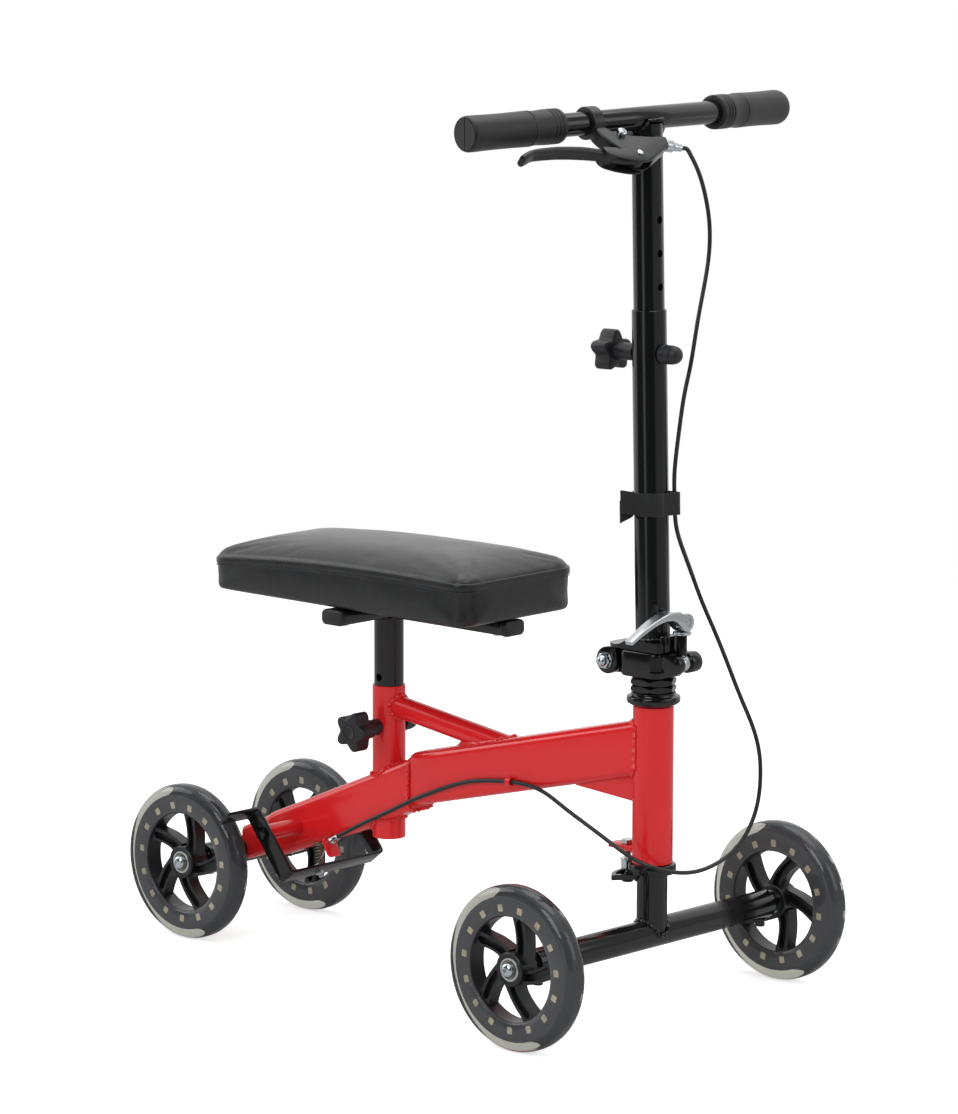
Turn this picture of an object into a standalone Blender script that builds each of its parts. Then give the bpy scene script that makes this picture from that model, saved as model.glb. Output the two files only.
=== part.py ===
"""Folding knee walker: four wheels, a red tube frame, a padded knee rest and a steering mast with a hand brake.

X points forward, Y to the rider's left and Z up. All sizes are in metres.
The origin lies on the floor, midway between the axles and midway between the sides.
"""
import math

import bmesh
import bpy
from mathutils import Matrix, Vector

# Fits
CLEARANCE = 0.0003
TUBE_SIDES = 14
BOLT_SIDES = 12
HOLE_SIDES = 8
POST_HOLE_SIDES = 6
SMOOTH_ANGLE = math.radians(32)
CUT_REACH = 0.03
LONG_CUT_REACH = 0.09

# Wheels and axles
WHEELBASE = 0.6294
FRONT_X = WHEELBASE / 2
REAR_X = -WHEELBASE / 2
FRONT_TRACK = 0.440
REAR_TRACK = 0.199
WHEEL_RADIUS = 0.091
AXLE_Z = WHEEL_RADIUS
TYRE_WIDTH = 0.028
TYRE_DEPTH = 0.0167
TYRE_SHOULDER = 0.012
TYRE_SIDES = 28
RIM_WIDTH = 0.022
RIM_DEPTH = 0.0167
RIM_SIDES = 30
WINDOW_COUNT = 15
WINDOW_SIZE = 0.007
SPOKE_COUNT = 5
SPOKE_WIDTH = 0.0126
SPOKE_DEPTH = 0.015
SPOKE_GROOVE = 0.0052
SPOKE_SWEEP = math.radians(30)
SPOKE_TIP = math.radians(8)
HUB_RADIUS = 0.019
HUB_WIDTH = 0.026
BEARING_RADIUS = 0.013
BEARING_INSET = 0.0005
SPOKE_GROOVE_DEPTH = 0.006
WHEEL_BOLT_RADIUS = 0.005
WHEEL_BOLT_REACH = 0.0267
WHEEL_BOLT_HEAD = 0.0067
WHEEL_BOLT_HEAD_RADIUS = 0.0083
WHEEL_BOLT_DOME = 0.0035
AXLE_RADIUS = 0.016
AXLE_WALL = 0.002
AXLE_NOSE_RADIUS = 0.011
AXLE_NOSE_LENGTH = 0.0105
AXLE_PLUG = 0.020
SET_BOLT_FLATS = 0.010
SET_BOLT_INSET = 0.010
FRONT_SET_BOLT_DROP = 0.008
REAR_SET_BOLT_DROP = 0.0044

# Tubes
MAST_RADIUS = 0.01905
MAST_WALL = 0.00175
POST_RADIUS = 0.017
POST_WALL = 0.0025
BAR_RADIUS = 0.0127
BAR_WALL = 0.002

# Head tube and bearings
HEAD_RADIUS = 0.0225
HEAD_WALL = 0.0028
HEAD_BASE = 0.1708
HEAD_LENGTH = 0.1755
STEM_TOP = 0.3997
LOWER_CUP_RADIUS = 0.02635
LOWER_CUP_HEIGHT = 0.011
UPPER_CUP_RADIUS = 0.0296
UPPER_CUP_HEIGHT = 0.0154
CUP_SPIGOT = 0.0075
CUP_EDGE = 0.0025
CONE_NUT_FLATS = 0.046
CONE_NUT_HEIGHT = 0.0072
LOCK_NUT_HEIGHT = 0.0077
NUT_EDGE = 0.0009

# Steering stop
STEER_LIMIT = math.radians(35)
STOP_OFFSET = 0.0357
STOP_BOLT_RADIUS = 0.004
STOP_PLATE_BASE = 0.151
STOP_PLATE_THICK = 0.006
STOP_PLATE_REACH = 0.045
STOP_PLATE_HALF_ANGLE = math.radians(50)
STOP_TAB_BASE = 0.181
STOP_TAB_THICK = 0.005
STOP_TAB_WIDTH = 0.020
STOP_TAB_REACH = 0.0577
STOP_NUT_FLATS = 0.013
STOP_NUT_HEIGHT = 0.0055
STOP_NUT_DROP = 0.012
STOP_BUFFER_RADIUS = 0.008
STOP_BUFFER_HEIGHT = 0.008

# Folding joint
FOLD_X = FRONT_X - 0.0472
FOLD_Z = 0.3935
FOLD_PIN_RADIUS = 0.005
KNUCKLE_RADIUS = 0.015
KNUCKLE_HALF = 0.012
HINGE_HEAD_RADIUS = 0.009
HINGE_HEAD_HEIGHT = 0.0057
HINGE_NUT_RADIUS = 0.0085
BLOCK_HALF_WIDTH = 0.025
BLOCK_REAR = FRONT_X - 0.0312
BLOCK_FRONT = FRONT_X + 0.0253
BLOCK_BASE = 0.379
BLOCK_TOP = 0.409
BLOCK_CORNER = 0.010
BLOCK_EDGE = 0.0012
PLATE_REAR = FRONT_X - 0.0527
PLATE_FRONT = FRONT_X + 0.0283
PLATE_THICK = 0.0107
SOCKET_DEPTH = 0.0073
LIP_REAR = FRONT_X + 0.0203
LIP_FRONT = FRONT_X + 0.0333
LIP_HALF_WIDTH = 0.016
LIP_HEIGHT = 0.0182
TRUNNION_X = FRONT_X + 0.0403
TRUNNION_Z = 0.3975
TRUNNION_RADIUS = 0.004
EAR_RADIUS = 0.0115
EAR_NEAR = 0.016
EAR_FAR = 0.022
SLOT_HALF = 0.0065
SWING_EYE_RADIUS = 0.009
SWING_SHANK_RADIUS = 0.0045
SLEEVE_RADIUS = 0.0062
WASHER_RADIUS = 0.0104
WASHER_THICK = 0.0038
WASHER_LIFT = 0.0020
CAM_RADIUS = 0.010
CAM_PIN_RADIUS = 0.004
CHEEK_THICK = 0.0045
LEVER_THICK = 0.0045
CAM_LEVER_PATH = ((-0.006, 0.0080), (-0.020, 0.0125), (-0.035, 0.0125), (-0.052, 0.0070), (-0.070, -0.0030),
                  (-0.088, -0.0140))

# Mast, handlebar post and bar
RAKE = math.radians(1.45)
RAKE_START_Z = 0.363
MAST_TOP = 0.7801
POST_BASE = 0.640
KNOB_LEVEL = 0.7325
POST_HOLE_STEP = 0.0363
POST_HOLES = 5
BAR_LEVEL = 0.98685
BAR_SWEEP = math.radians(6.78)
BAR_DROOP = math.radians(1.0)
BAR_BEND = 0.030
BAR_HALF = 0.252
GRIP_END_WALL = 0.0045
GRIP_LENGTH = 0.129
GRIP_END = BAR_HALF + GRIP_END_WALL
GRIP_START = GRIP_END - GRIP_LENGTH
GRIP_RADIUS = 0.0193
GRIP_RIB_STEP = 0.005
GRIP_SEAM = 0.044
KNOB_BOLT_RADIUS = 0.004
KNOB_BOSS_RADIUS = 0.009
STAR_RADIUS = 0.0234
STAR_THICK = 0.022
MAST_BOSS_LENGTH = 0.0255
SEAT_BOSS_LENGTH = 0.0245
CAP_NUT_RADIUS = 0.011
MAST_CAP_LENGTH = 0.0252
SEAT_CAP_NUT_LENGTH = 0.0236
STRAP_BASE = 0.553
STRAP_HEIGHT = 0.032
STRAP_THICK = 0.002
EYE_PLAY = 0.0008
EYE_WALL = 0.0018
EYE_SIDE = (0.845, 0.534)
CABLE_RADIUS = 0.0025
CABLE_GUIDE_X = 0.124
CABLE_GUIDE_Y = -0.0242
CABLE_GUIDE_Z = 0.237

# Hand brake
BRAKE_TILT = math.radians(40)
CLAMP_START = 0.057
CLAMP_WIDTH = 0.0185
CLAMP_RADIUS = 0.0185
BRACKET_HALF = 0.009
LEVER_PIVOT = (0.059, 0.057)
LEVER_PIN_RADIUS = 0.0035
LEVER_HUB_RADIUS = 0.0085
LEVER_HUB_HALF = 0.005
BARREL_SEAT = (0.0425, 0.0042)
BARREL_LEAN = (0.311, -0.951)
BARREL_RADIUS = 0.0065
BARREL_LENGTH = 0.0206
BARREL_SPIGOT_RADIUS = 0.0035
BARREL_SPIGOT_LENGTH = 0.008
BRACKET_EDGE = 0.0018
BRACKET_OUTLINE = ((0.0145, 0.0570), (0.0270, 0.0420), (0.0330, 0.0200), (0.0358, 0.0020), (0.0492, 0.0064),
                   (0.0600, 0.0270), (0.0700, 0.0450), (0.0725, 0.0532), (0.0700, 0.0650), (0.0640, 0.0730),
                   (0.0520, 0.0765), (0.0300, 0.0770), (0.0145, 0.0755))
BRACKET_SLOT = ((0.046, 0.09), (0.043, 0.09))
LEVER_SCREW_RADIUS = 0.0045
LEVER_SCREW_HEAD = 0.0012
CLAMP_SCREW_AT = 0.0165
CLAMP_SCREW_RADIUS = 0.004
LEVER_PATH = ((0.0590, 0.0620), (0.0580, 0.0740), (0.0545, 0.0860), (0.0480, 0.1010), (0.0425, 0.1250),
              (0.0393, 0.1507), (0.0386, 0.1712), (0.0392, 0.1895), (0.0430, 0.2020), (0.0455, 0.2085))
LEVER_HALF_THICK = (0.0058, 0.0050, 0.0044, 0.0038, 0.0033, 0.0032, 0.0032, 0.0032, 0.0034, 0.0020)
LEVER_HALF_WIDTH = (0.0048, 0.0048, 0.0056, 0.0064, 0.0070, 0.0072, 0.0072, 0.0072, 0.0070, 0.0046)

# Frame beams
BEAM_WIDTH = 0.042
BEAM_CORNER = 0.010
BEAM_WALL = 0.002
BEAM_SEAM_X = REAR_X + 0.2807
BEAM_LOW_AT_ZERO = 0.1925
BEAM_HIGH_AT_ZERO = 0.2550
BEAM_SLOPE = 0.2468
REAR_STATIONS = ((BEAM_SEAM_X, 0.1795, 0.2410), (REAR_X + 0.2147, 0.1490, 0.2125), (REAR_X + 0.0527, 0.0880, 0.1431))
REAR_CAP_LENGTH = 0.0045
TAIL_END_LOW = 0.0786
TAIL_END_HIGH = 0.1202
GUSSET_HALF = 0.012
GUSSET_REAR = FRONT_X - 0.0997
GUSSET_TIP = (FRONT_X - 0.0297, 0.239)
GUIDE_WALL = 0.0024
GUIDE_HALF = 0.0035
TAIL_WIDTH = 0.036
TAIL_END_X = REAR_X + 0.0067
PIVOT_TUBE_RADIUS = 0.0095
BRACE_LEVEL = 0.2955
BRACE_SLOPE = -0.138
BRACE_LENGTH = 0.225
SEAT_X = REAR_X + 0.2291
SEAT_TUBE_BASE = 0.1392
SEAT_TUBE_TOP = 0.3171

# Seat
SEAT_POST_BASE = 0.175
SEAT_KNOB_LEVEL = 0.270
SEAT_HOLE_STEP = 0.0285
SEAT_HOLES = 5
SEAT_RAIL_BASE = 0.397
SEAT_RAIL_HEIGHT = 0.018
SEAT_RAIL_WIDTH = 0.032
SEAT_RAIL_FRONT = SEAT_X + 0.1956
SEAT_RAIL_HALF_SPAN = 0.094
SEAT_CAP_LIP = 0.0005
SEAT_CAP_LENGTH = 0.010
BOARD_THICK = 0.0117
BOARD_INSET = 0.0135
CUSHION_REAR = SEAT_X - 0.1964
CUSHION_FRONT = SEAT_X + 0.2036
CUSHION_HALF_WIDTH = 0.095
CUSHION_CORNER = 0.022
CUSHION_BASE = SEAT_RAIL_BASE + SEAT_RAIL_HEIGHT + 0.002
CUSHION_SEAM = CUSHION_BASE + 0.0498
CUSHION_CROWN = 0.019
SEAM_GAP = 0.008

# Rear brake
YOKE_PIVOT = (REAR_X + 0.1017, 0.135)
YOKE_ARM = (0.626, -0.780)
YOKE_ARM_Y = 0.0755
YOKE_LENGTH = 0.0583
YOKE_TOP = 0.028
YOKE_TAB_END = 0.122
YOKE_WIDTH = 0.023
YOKE_THICK = 0.0035
YOKE_PIN_RADIUS = 0.004
YOKE_PIN_HEAD = 0.0055
YOKE_PIN_FLATS = 0.013
WIRE_ANCHOR_FLATS = 0.008
WIRE_ANCHOR_HEIGHT = 0.0085
WIRE_RADIUS = 0.0009
STOP_TAB_AT = (REAR_X + 0.1564, 0.1252)
WIRE_ALONG = (-0.872, -0.490)
FERRULE_LENGTH = 0.0168
FERRULE_RADIUS = 0.0044
SPRING_RADIUS = 0.0039
SPRING_WIRE = 0.0006
SPRING_TURNS = 7
SPRING_POINTS_PER_TURN = 8
SPRING_TOP = (REAR_X + 0.1297, -0.016)
SPRING_FOOT = (REAR_X + 0.1337, -0.016)


def bore(radius, sides=TUBE_SIDES):
    """Corner radius of a faceted hole whose flats stay one clearance off a shaft."""
    return (radius + CLEARANCE) / math.cos(math.pi / sides)


def frame_at(origin, along=(0, 0, 1), across=(1, 0, 0)):
    """Placement whose local Z points along one direction and local X across it."""
    z_axis = Vector(along).normalized()
    x_axis = Vector(across) - z_axis * z_axis.dot(Vector(across))
    x_axis.normalize()
    y_axis = z_axis.cross(x_axis)
    matrix = Matrix((x_axis, y_axis, z_axis)).transposed().to_4x4()
    matrix.translation = Vector(origin)
    return matrix


def side_view(x=0.0, z=0.0, y=0.0):
    """Placement for outlines drawn as (x, z) and extruded towards the near side."""
    return frame_at((x, y, z), (0, -1, 0), (1, 0, 0))


def end_view(x=0.0, y=0.0, z=0.0):
    """Placement for outlines drawn as (y, z) and extruded forward."""
    return frame_at((x, y, z), (1, 0, 0), (0, 1, 0))


def material(name, colour, roughness, metallic=0.0):
    """Principled material, made once for each name."""
    found = bpy.data.materials.get(name)
    if found:
        return found
    made = bpy.data.materials.new(name)
    made.use_nodes = True
    shader = made.node_tree.nodes["Principled BSDF"]
    shader.inputs["Base Color"].default_value = (*colour, 1.0)
    shader.inputs["Roughness"].default_value = roughness
    shader.inputs["Metallic"].default_value = metallic
    return made


def red_paint():
    return material("red gloss paint", (0.52, 0.012, 0.016), 0.28)


def black_paint():
    return material("black gloss paint", (0.012, 0.012, 0.013), 0.30)


def black_plastic():
    return material("black plastic", (0.018, 0.018, 0.019), 0.48)


def grip_rubber():
    return material("grip rubber", (0.020, 0.020, 0.021), 0.72)


def tyre_rubber():
    return material("grey tyre rubber", (0.070, 0.073, 0.078), 0.66)


def seat_vinyl():
    return material("black vinyl", (0.022, 0.022, 0.024), 0.42)


def plywood():
    return material("seat board", (0.045, 0.035, 0.028), 0.80)


def bright_steel():
    return material("bright steel", (0.62, 0.63, 0.64), 0.24, 1.0)


def polished_alloy():
    return material("polished alloy", (0.70, 0.71, 0.72), 0.22, 1.0)


def zinc():
    return material("zinc plate", (0.55, 0.52, 0.44), 0.36, 1.0)


def cable_sheath():
    return material("cable sheath", (0.030, 0.030, 0.032), 0.46)


def circle(radius, sides=TUBE_SIDES, start=0.0):
    steps = [start + math.tau * i / sides for i in range(sides)]
    return [(radius * math.cos(a), radius * math.sin(a)) for a in steps]


def hexagon(flats, sides=BOLT_SIDES):
    """Hexagon drawn with any multiple of six points."""
    outline = []
    for i in range(sides):
        angle = math.tau * i / sides
        off_flat = (angle + math.pi / 6) % (math.pi / 3) - math.pi / 6
        radius = flats / 2 / math.cos(off_flat)
        outline.append((radius * math.cos(angle), radius * math.sin(angle)))
    return outline


def star(radius, depth):
    """Five-lobed knob outline, with two points on each lobe and two in each valley."""
    outline = []
    for lobe in range(5):
        for degrees, reach in ((-11, radius), (11, radius), (27, radius - depth), (45, radius - depth)):
            angle = math.radians(72 * lobe + degrees)
            outline.append((reach * math.cos(angle), reach * math.sin(angle)))
    return outline


def rounded_rect(width, height, corner, steps=2, centre=(0.0, 0.0)):
    outline = []
    for turn, (sx, sy) in enumerate(((1, 1), (-1, 1), (-1, -1), (1, -1))):
        cx = centre[0] + sx * (width / 2 - corner)
        cy = centre[1] + sy * (height / 2 - corner)
        for i in range(steps + 1):
            angle = math.pi / 2 * (turn + i / steps)
            outline.append((cx + corner * math.cos(angle), cy + corner * math.sin(angle)))
    return outline


def hull(circles, sides=14):
    """Convex outline round circles given as (x, y, radius)."""
    points = []
    for cx, cy, radius in circles:
        points += [(cx + x, cy + y) for x, y in circle(radius, sides)]
    points = sorted((round(x, 9), round(y, 9)) for x, y in points)

    def half(run):
        kept = []
        for p in run:
            while len(kept) > 1 and turn_of(kept[-2], kept[-1], p) <= 1e-12:
                kept.pop()
            kept.append(p)
        return kept[:-1]

    return half(points) + half(list(reversed(points)))


def turn_of(a, b, c):
    return (b[0] - a[0]) * (c[1] - a[1]) - (b[1] - a[1]) * (c[0] - a[0])


def offset_outline(outline, distance):
    """Counter-clockwise outline moved outward, with mitred corners."""
    moved = []
    count = len(outline)
    for i in range(count):
        before = Vector(outline[i - 1])
        here = Vector(outline[i])
        after = Vector(outline[(i + 1) % count])
        into = (here - before).normalized()
        out = (after - here).normalized()
        normal = Vector((into.y + out.y, -into.x - out.x)).normalized()
        stretch = max(normal.dot(Vector((out.y, -out.x))), 0.35)
        moved.append(tuple(here + normal * distance / stretch))
    return moved


def ribbon(path, thickness):
    """Outline of a bent strap of even thickness."""
    left = []
    right = []
    for i, point in enumerate(path):
        here = Vector(point)
        into = (here - Vector(path[i - 1])).normalized() if i else None
        out = (Vector(path[i + 1]) - here).normalized() if i + 1 < len(path) else None
        into = into or out
        out = out or into
        normal = Vector((-into.y - out.y, into.x + out.x)).normalized()
        stretch = normal.dot(Vector((-out.y, out.x)))
        left.append(tuple(here + normal * thickness / 2 / stretch))
        right.append(tuple(here - normal * thickness / 2 / stretch))
    return right + list(reversed(left))


def loft(loops, ring=False):
    """Closed body through loops of as many points; a ring also joins the last loop to the first."""
    bm = bmesh.new()
    rows = [[bm.verts.new(point) for point in loop] for loop in loops]
    pairs = list(zip(rows, rows[1:]))
    if ring:
        pairs.append((rows[-1], rows[0]))
    else:
        bm.faces.new(rows[0])
        bm.faces.new(rows[-1])
    for low, high in pairs:
        for i in range(len(low)):
            j = (i + 1) % len(low)
            bm.faces.new((low[i], low[j], high[j], high[i]))
    bmesh.ops.recalc_face_normals(bm, faces=bm.faces)
    return bm


def stack(stations):
    """Solid through flat outlines given as (outline, height)."""
    return loft([[(x, y, height) for x, y in outline] for outline, height in stations])


def slab(outline, low, high, edge=0.0):
    """Extruded outline, with an optional chamfer on both rims."""
    if not edge:
        return stack([(outline, low), (outline, high)])
    drawn_in = offset_outline(outline, -edge)
    return stack([(drawn_in, low), (outline, low + edge), (outline, high - edge), (drawn_in, high)])


def turned(profile, sides=TUBE_SIDES, solid=False, start=0.0):
    """Profile of (radius, height) spun round Z; a solid one begins and ends on the axis."""
    bm = bmesh.new()
    cosine, sine = math.cos(start), math.sin(start)
    verts = [bm.verts.new((radius * cosine, radius * sine, height)) for radius, height in profile]
    edges = [bm.edges.new(pair) for pair in zip(verts, verts[1:])]
    if not solid:
        edges.append(bm.edges.new((verts[-1], verts[0])))
    bmesh.ops.spin(bm, geom=verts + edges, cent=(0, 0, 0), axis=(0, 0, 1),
                   angle=math.tau, steps=sides, use_merge=True)
    bmesh.ops.remove_doubles(bm, verts=bm.verts, dist=1e-6)
    bmesh.ops.recalc_face_normals(bm, faces=bm.faces)
    return bm


def rod(radius, low, high, sides=TUBE_SIDES):
    return slab(circle(radius, sides), low, high)


def pipe(outer, inner, low, high, sides=TUBE_SIDES):
    return turned([(inner, low), (outer, low), (outer, high), (inner, high)], sides)


def box(x_range, y_range, z_range):
    (x0, x1), (y0, y1), (z0, z1) = x_range, y_range, z_range
    return slab([(x0, y0), (x1, y0), (x1, y1), (x0, y1)], z0, z1)


def sweep_flat(path, sections):
    """Loft along a path in the XY plane; section points are (across the path, height)."""
    loops = []
    last = len(path) - 1
    for i, (point, section) in enumerate(zip(path, sections)):
        ahead = Vector(path[min(i + 1, last)]) - Vector(path[max(i - 1, 0)])
        ahead.normalize()
        loops.append([(point[0] - ahead.y * a, point[1] + ahead.x * a, h) for a, h in section])
    return loft(loops)


def joined(bodies):
    """Several separate bodies in one mesh."""
    bm = bmesh.new()
    for body in bodies:
        mesh = bpy.data.meshes.new("joined")
        body.to_mesh(mesh)
        body.free()
        bm.from_mesh(mesh)
        bpy.data.meshes.remove(mesh)
    return bm


def moved(bm, matrix):
    bmesh.ops.transform(bm, matrix=matrix, verts=bm.verts)
    return bm


PIVOTS = {}


def pivot(name, matrix, parent=None):
    """Empty on a joint's axis; everything the joint carries is parented to it."""
    empty = bpy.data.objects.new(name, None)
    empty.empty_display_size = 0.02
    bpy.context.scene.collection.objects.link(empty)
    attach(empty, matrix, parent)
    PIVOTS[name] = (empty, matrix)
    return name


def attach(obj, matrix, parent):
    """Place an object in the world and, if it rides on a joint, parent it there."""
    if parent:
        carrier, carrier_matrix = PIVOTS[parent]
        obj.parent = carrier
        obj.matrix_parent_inverse = carrier_matrix.inverted()
    obj.matrix_basis = matrix


def piece(name, bm, finish, parent=None, matrix=None):
    """One named piece of the product, shaded smooth with its hard edges kept."""
    mesh = bpy.data.meshes.new(name)
    bm.to_mesh(mesh)
    bm.free()
    mesh.materials.append(finish)
    mesh.shade_smooth()
    mesh.set_sharp_from_angle(angle=SMOOTH_ANGLE)
    obj = bpy.data.objects.new(name, mesh)
    bpy.context.scene.collection.objects.link(obj)
    attach(obj, matrix or Matrix(), parent)
    return obj


def apply_tool(target, operation, bm, matrix=None):
    """Cut or weld a hidden helper solid, placed in the world, into a piece."""
    label = f"{target.name}.{operation.lower()}.{len(target.modifiers)}"
    mesh = bpy.data.meshes.new(label)
    bm.to_mesh(mesh)
    bm.free()
    helper = bpy.data.objects.new(label, mesh)
    bpy.context.scene.collection.objects.link(helper)
    helper.matrix_basis = matrix or Matrix()
    helper.hide_render = True
    helper.display_type = "WIRE"
    modifier = target.modifiers.new(label, "BOOLEAN")
    modifier.operation = operation
    modifier.solver = "EXACT"
    modifier.object = helper


def cut(target, bm, matrix=None):
    apply_tool(target, "DIFFERENCE", bm, matrix)


def weld(target, bm, matrix=None):
    apply_tool(target, "UNION", bm, matrix)


def along_route(route, count, lead=0.004):
    """Points spaced evenly along a smooth curve through a route's own points, with short straight ends."""
    points = [Vector(p) for p in route]
    ends = [points[0] * 2 - points[1]] + points + [points[-1] * 2 - points[-2]]
    fine = []
    for before, start, end, after in zip(ends, ends[1:], ends[2:], ends[3:]):
        for i in range(12):
            t = i / 12
            fine.append(0.5 * (2 * start + (end - before) * t
                               + (2 * before - 5 * start + 4 * end - after) * t ** 2
                               + (3 * start - before - 3 * end + after) * t ** 3))
    fine.append(points[-1])
    lengths = [0.0]
    for a, b in zip(fine, fine[1:]):
        lengths.append(lengths[-1] + (b - a).length)
    spaced = []
    index = 0
    inside = [lead + (lengths[-1] - 2 * lead) * i / (count - 3) for i in range(count - 2)]
    for target in [0.0] + inside + [lengths[-1]]:
        while index < len(fine) - 2 and lengths[index + 1] < target:
            index += 1
        share = (target - lengths[index]) / (lengths[index + 1] - lengths[index])
        spaced.append(fine[index].lerp(fine[index + 1], min(max(share, 0.0), 1.0)))
    spaced[1] = points[0] + (points[1] - points[0]).normalized() * lead
    spaced[-2] = points[-1] + (points[-2] - points[-1]).normalized() * lead
    return spaced


def cord(name, points, radius, finish, parent=None, resolution=2):
    """Round cord or wire as a curve with a bevel and filled caps."""
    curve = bpy.data.curves.new(name, "CURVE")
    curve.dimensions = "3D"
    curve.bevel_depth = radius
    curve.bevel_resolution = resolution
    curve.use_fill_caps = True
    spline = curve.splines.new("POLY")
    spline.points.add(len(points) - 1)
    for slot, point in zip(spline.points, points):
        slot.co = (*point, 1.0)
    curve.materials.append(finish)
    obj = bpy.data.objects.new(name, curve)
    bpy.context.scene.collection.objects.link(obj)
    attach(obj, Matrix(), parent)
    return obj


def beam_low(x):
    return BEAM_LOW_AT_ZERO + BEAM_SLOPE * x


def beam_high(x):
    return BEAM_HIGH_AT_ZERO + BEAM_SLOPE * x


def beam_loop(station, width, corner, inset):
    """Upright rounded rectangle at one station (x, low, high), drawn in by an inset."""
    x, low, high = station
    outline = rounded_rect(width - 2 * inset, high - low - 2 * inset, corner - inset,
                           centre=(0.0, (low + high) / 2))
    return [(x, y, z) for y, z in outline]


def hollow_beam(stations, width, corner, wall):
    outer = [beam_loop(s, width, corner, 0.0) for s in stations]
    inner = [beam_loop(s, width, corner, wall) for s in reversed(stations)]
    return loft(outer + inner, ring=True)


def solid_beam(stations, width, corner, grow=0.0):
    return loft([beam_loop(s, width, corner, -grow) for s in stations])


MAST_ALONG = (-math.sin(RAKE), 0.0, math.cos(RAKE))


def mast_point(z):
    """Point of the raked mast axis at a height."""
    return (FRONT_X - math.tan(RAKE) * (z - RAKE_START_Z), 0.0, z)


def mast_frame(z, across=(1, 0, 0)):
    return frame_at(mast_point(z), MAST_ALONG, across)


def bar_along(side):
    """Direction of one half of the handlebar, away from the post; side is -1 on the near side."""
    return Vector((-math.sin(BAR_SWEEP) * math.cos(BAR_DROOP),
                   side * math.cos(BAR_SWEEP) * math.cos(BAR_DROOP),
                   -math.sin(BAR_DROOP)))


def bar_centre():
    return Vector(mast_point(BAR_LEVEL))


def bar_path():
    """Handlebar centreline with its two halves blended by a bend."""
    near = [bar_centre() + bar_along(-1) * s for s in (BAR_HALF, BAR_BEND)]
    far = [bar_centre() + bar_along(1) * s for s in (BAR_BEND, BAR_HALF)]
    middle = near[1] * 0.25 + bar_centre() * 0.5 + far[0] * 0.25
    return near + [middle] + far


def bar_loops(radius):
    path = bar_path()
    loops = []
    last = len(path) - 1
    for i, point in enumerate(path):
        ahead = path[min(i + 1, last)] - path[max(i - 1, 0)]
        place = frame_at(point, ahead, (1, 0, 0))
        loops.append([tuple(place @ Vector((x, y, 0.0))) for x, y in circle(radius)])
    return loops


def wheel_centre(end, side):
    if end == "front":
        return (FRONT_X, side * FRONT_TRACK / 2, AXLE_Z)
    return (REAR_X, side * REAR_TRACK / 2, AXLE_Z)


def tyre_mesh():
    half = TYRE_WIDTH / 2
    inner = WHEEL_RADIUS - TYRE_DEPTH
    shoulder = []
    for degrees in (90, 45, 0):
        angle = math.radians(degrees)
        shoulder.append((WHEEL_RADIUS - TYRE_SHOULDER * (1 - math.cos(angle)),
                         half - TYRE_SHOULDER * (1 - math.sin(angle))))
    side = [(inner, half)] + shoulder
    profile = side + [(radius, -height) for radius, height in reversed(side)]
    swell = 1 / math.cos(math.pi / TYRE_SIDES)
    return turned([(radius * swell, height) for radius, height in profile], TYRE_SIDES,
                  start=math.pi / TYRE_SIDES)


def rim_outer():
    return WHEEL_RADIUS - TYRE_DEPTH - CLEARANCE


def rim_mesh():
    half = RIM_WIDTH / 2
    outer = rim_outer()
    inner = outer - RIM_DEPTH
    return turned([(inner, -half), (outer, -half), (outer, half), (inner, half)], RIM_SIDES)


def spoke_meshes():
    """Curved channel spokes from the hub wall to the rim, open on the outer side."""
    half = SPOKE_WIDTH / 2
    groove = SPOKE_GROOVE / 2
    depth = SPOKE_DEPTH / 2
    section = [(-half, -depth), (half, -depth), (half, depth), (groove, depth),
               (groove * 0.85, depth - SPOKE_GROOVE_DEPTH), (-groove * 0.85, depth - SPOKE_GROOVE_DEPTH),
               (-groove, depth), (-half, depth)]
    root = (HUB_RADIUS + BEARING_RADIUS) / 2 + 0.0008
    tip = rim_outer() - RIM_DEPTH + 0.0025
    spokes = []
    for number in range(SPOKE_COUNT):
        end = SPOKE_TIP + math.tau * number / SPOKE_COUNT
        path = []
        for i in range(3):
            share = i / 2
            radius = root + (tip - root) * share
            angle = end - SPOKE_SWEEP * (1 - share) ** 1.5
            path.append((radius * math.cos(angle), radius * math.sin(angle)))
        spokes.append(sweep_flat(path, [section] * len(path)))
    return spokes


def window_meshes():
    half = WINDOW_SIZE / 2
    middle = rim_outer() - RIM_DEPTH * 0.4
    windows = []
    for number in range(WINDOW_COUNT):
        angle = math.tau * (number + 0.5 / 2) / WINDOW_COUNT
        cutter = box((middle - half, middle + half), (-half, half), (-RIM_WIDTH, RIM_WIDTH))
        windows.append(moved(cutter, Matrix.Rotation(angle, 4, "Z")))
    return windows


def hub_mesh():
    half = HUB_WIDTH / 2
    inner = bore(BEARING_RADIUS)
    return turned([(inner, -half), (HUB_RADIUS, -half), (HUB_RADIUS, half), (inner, half)])


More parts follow.
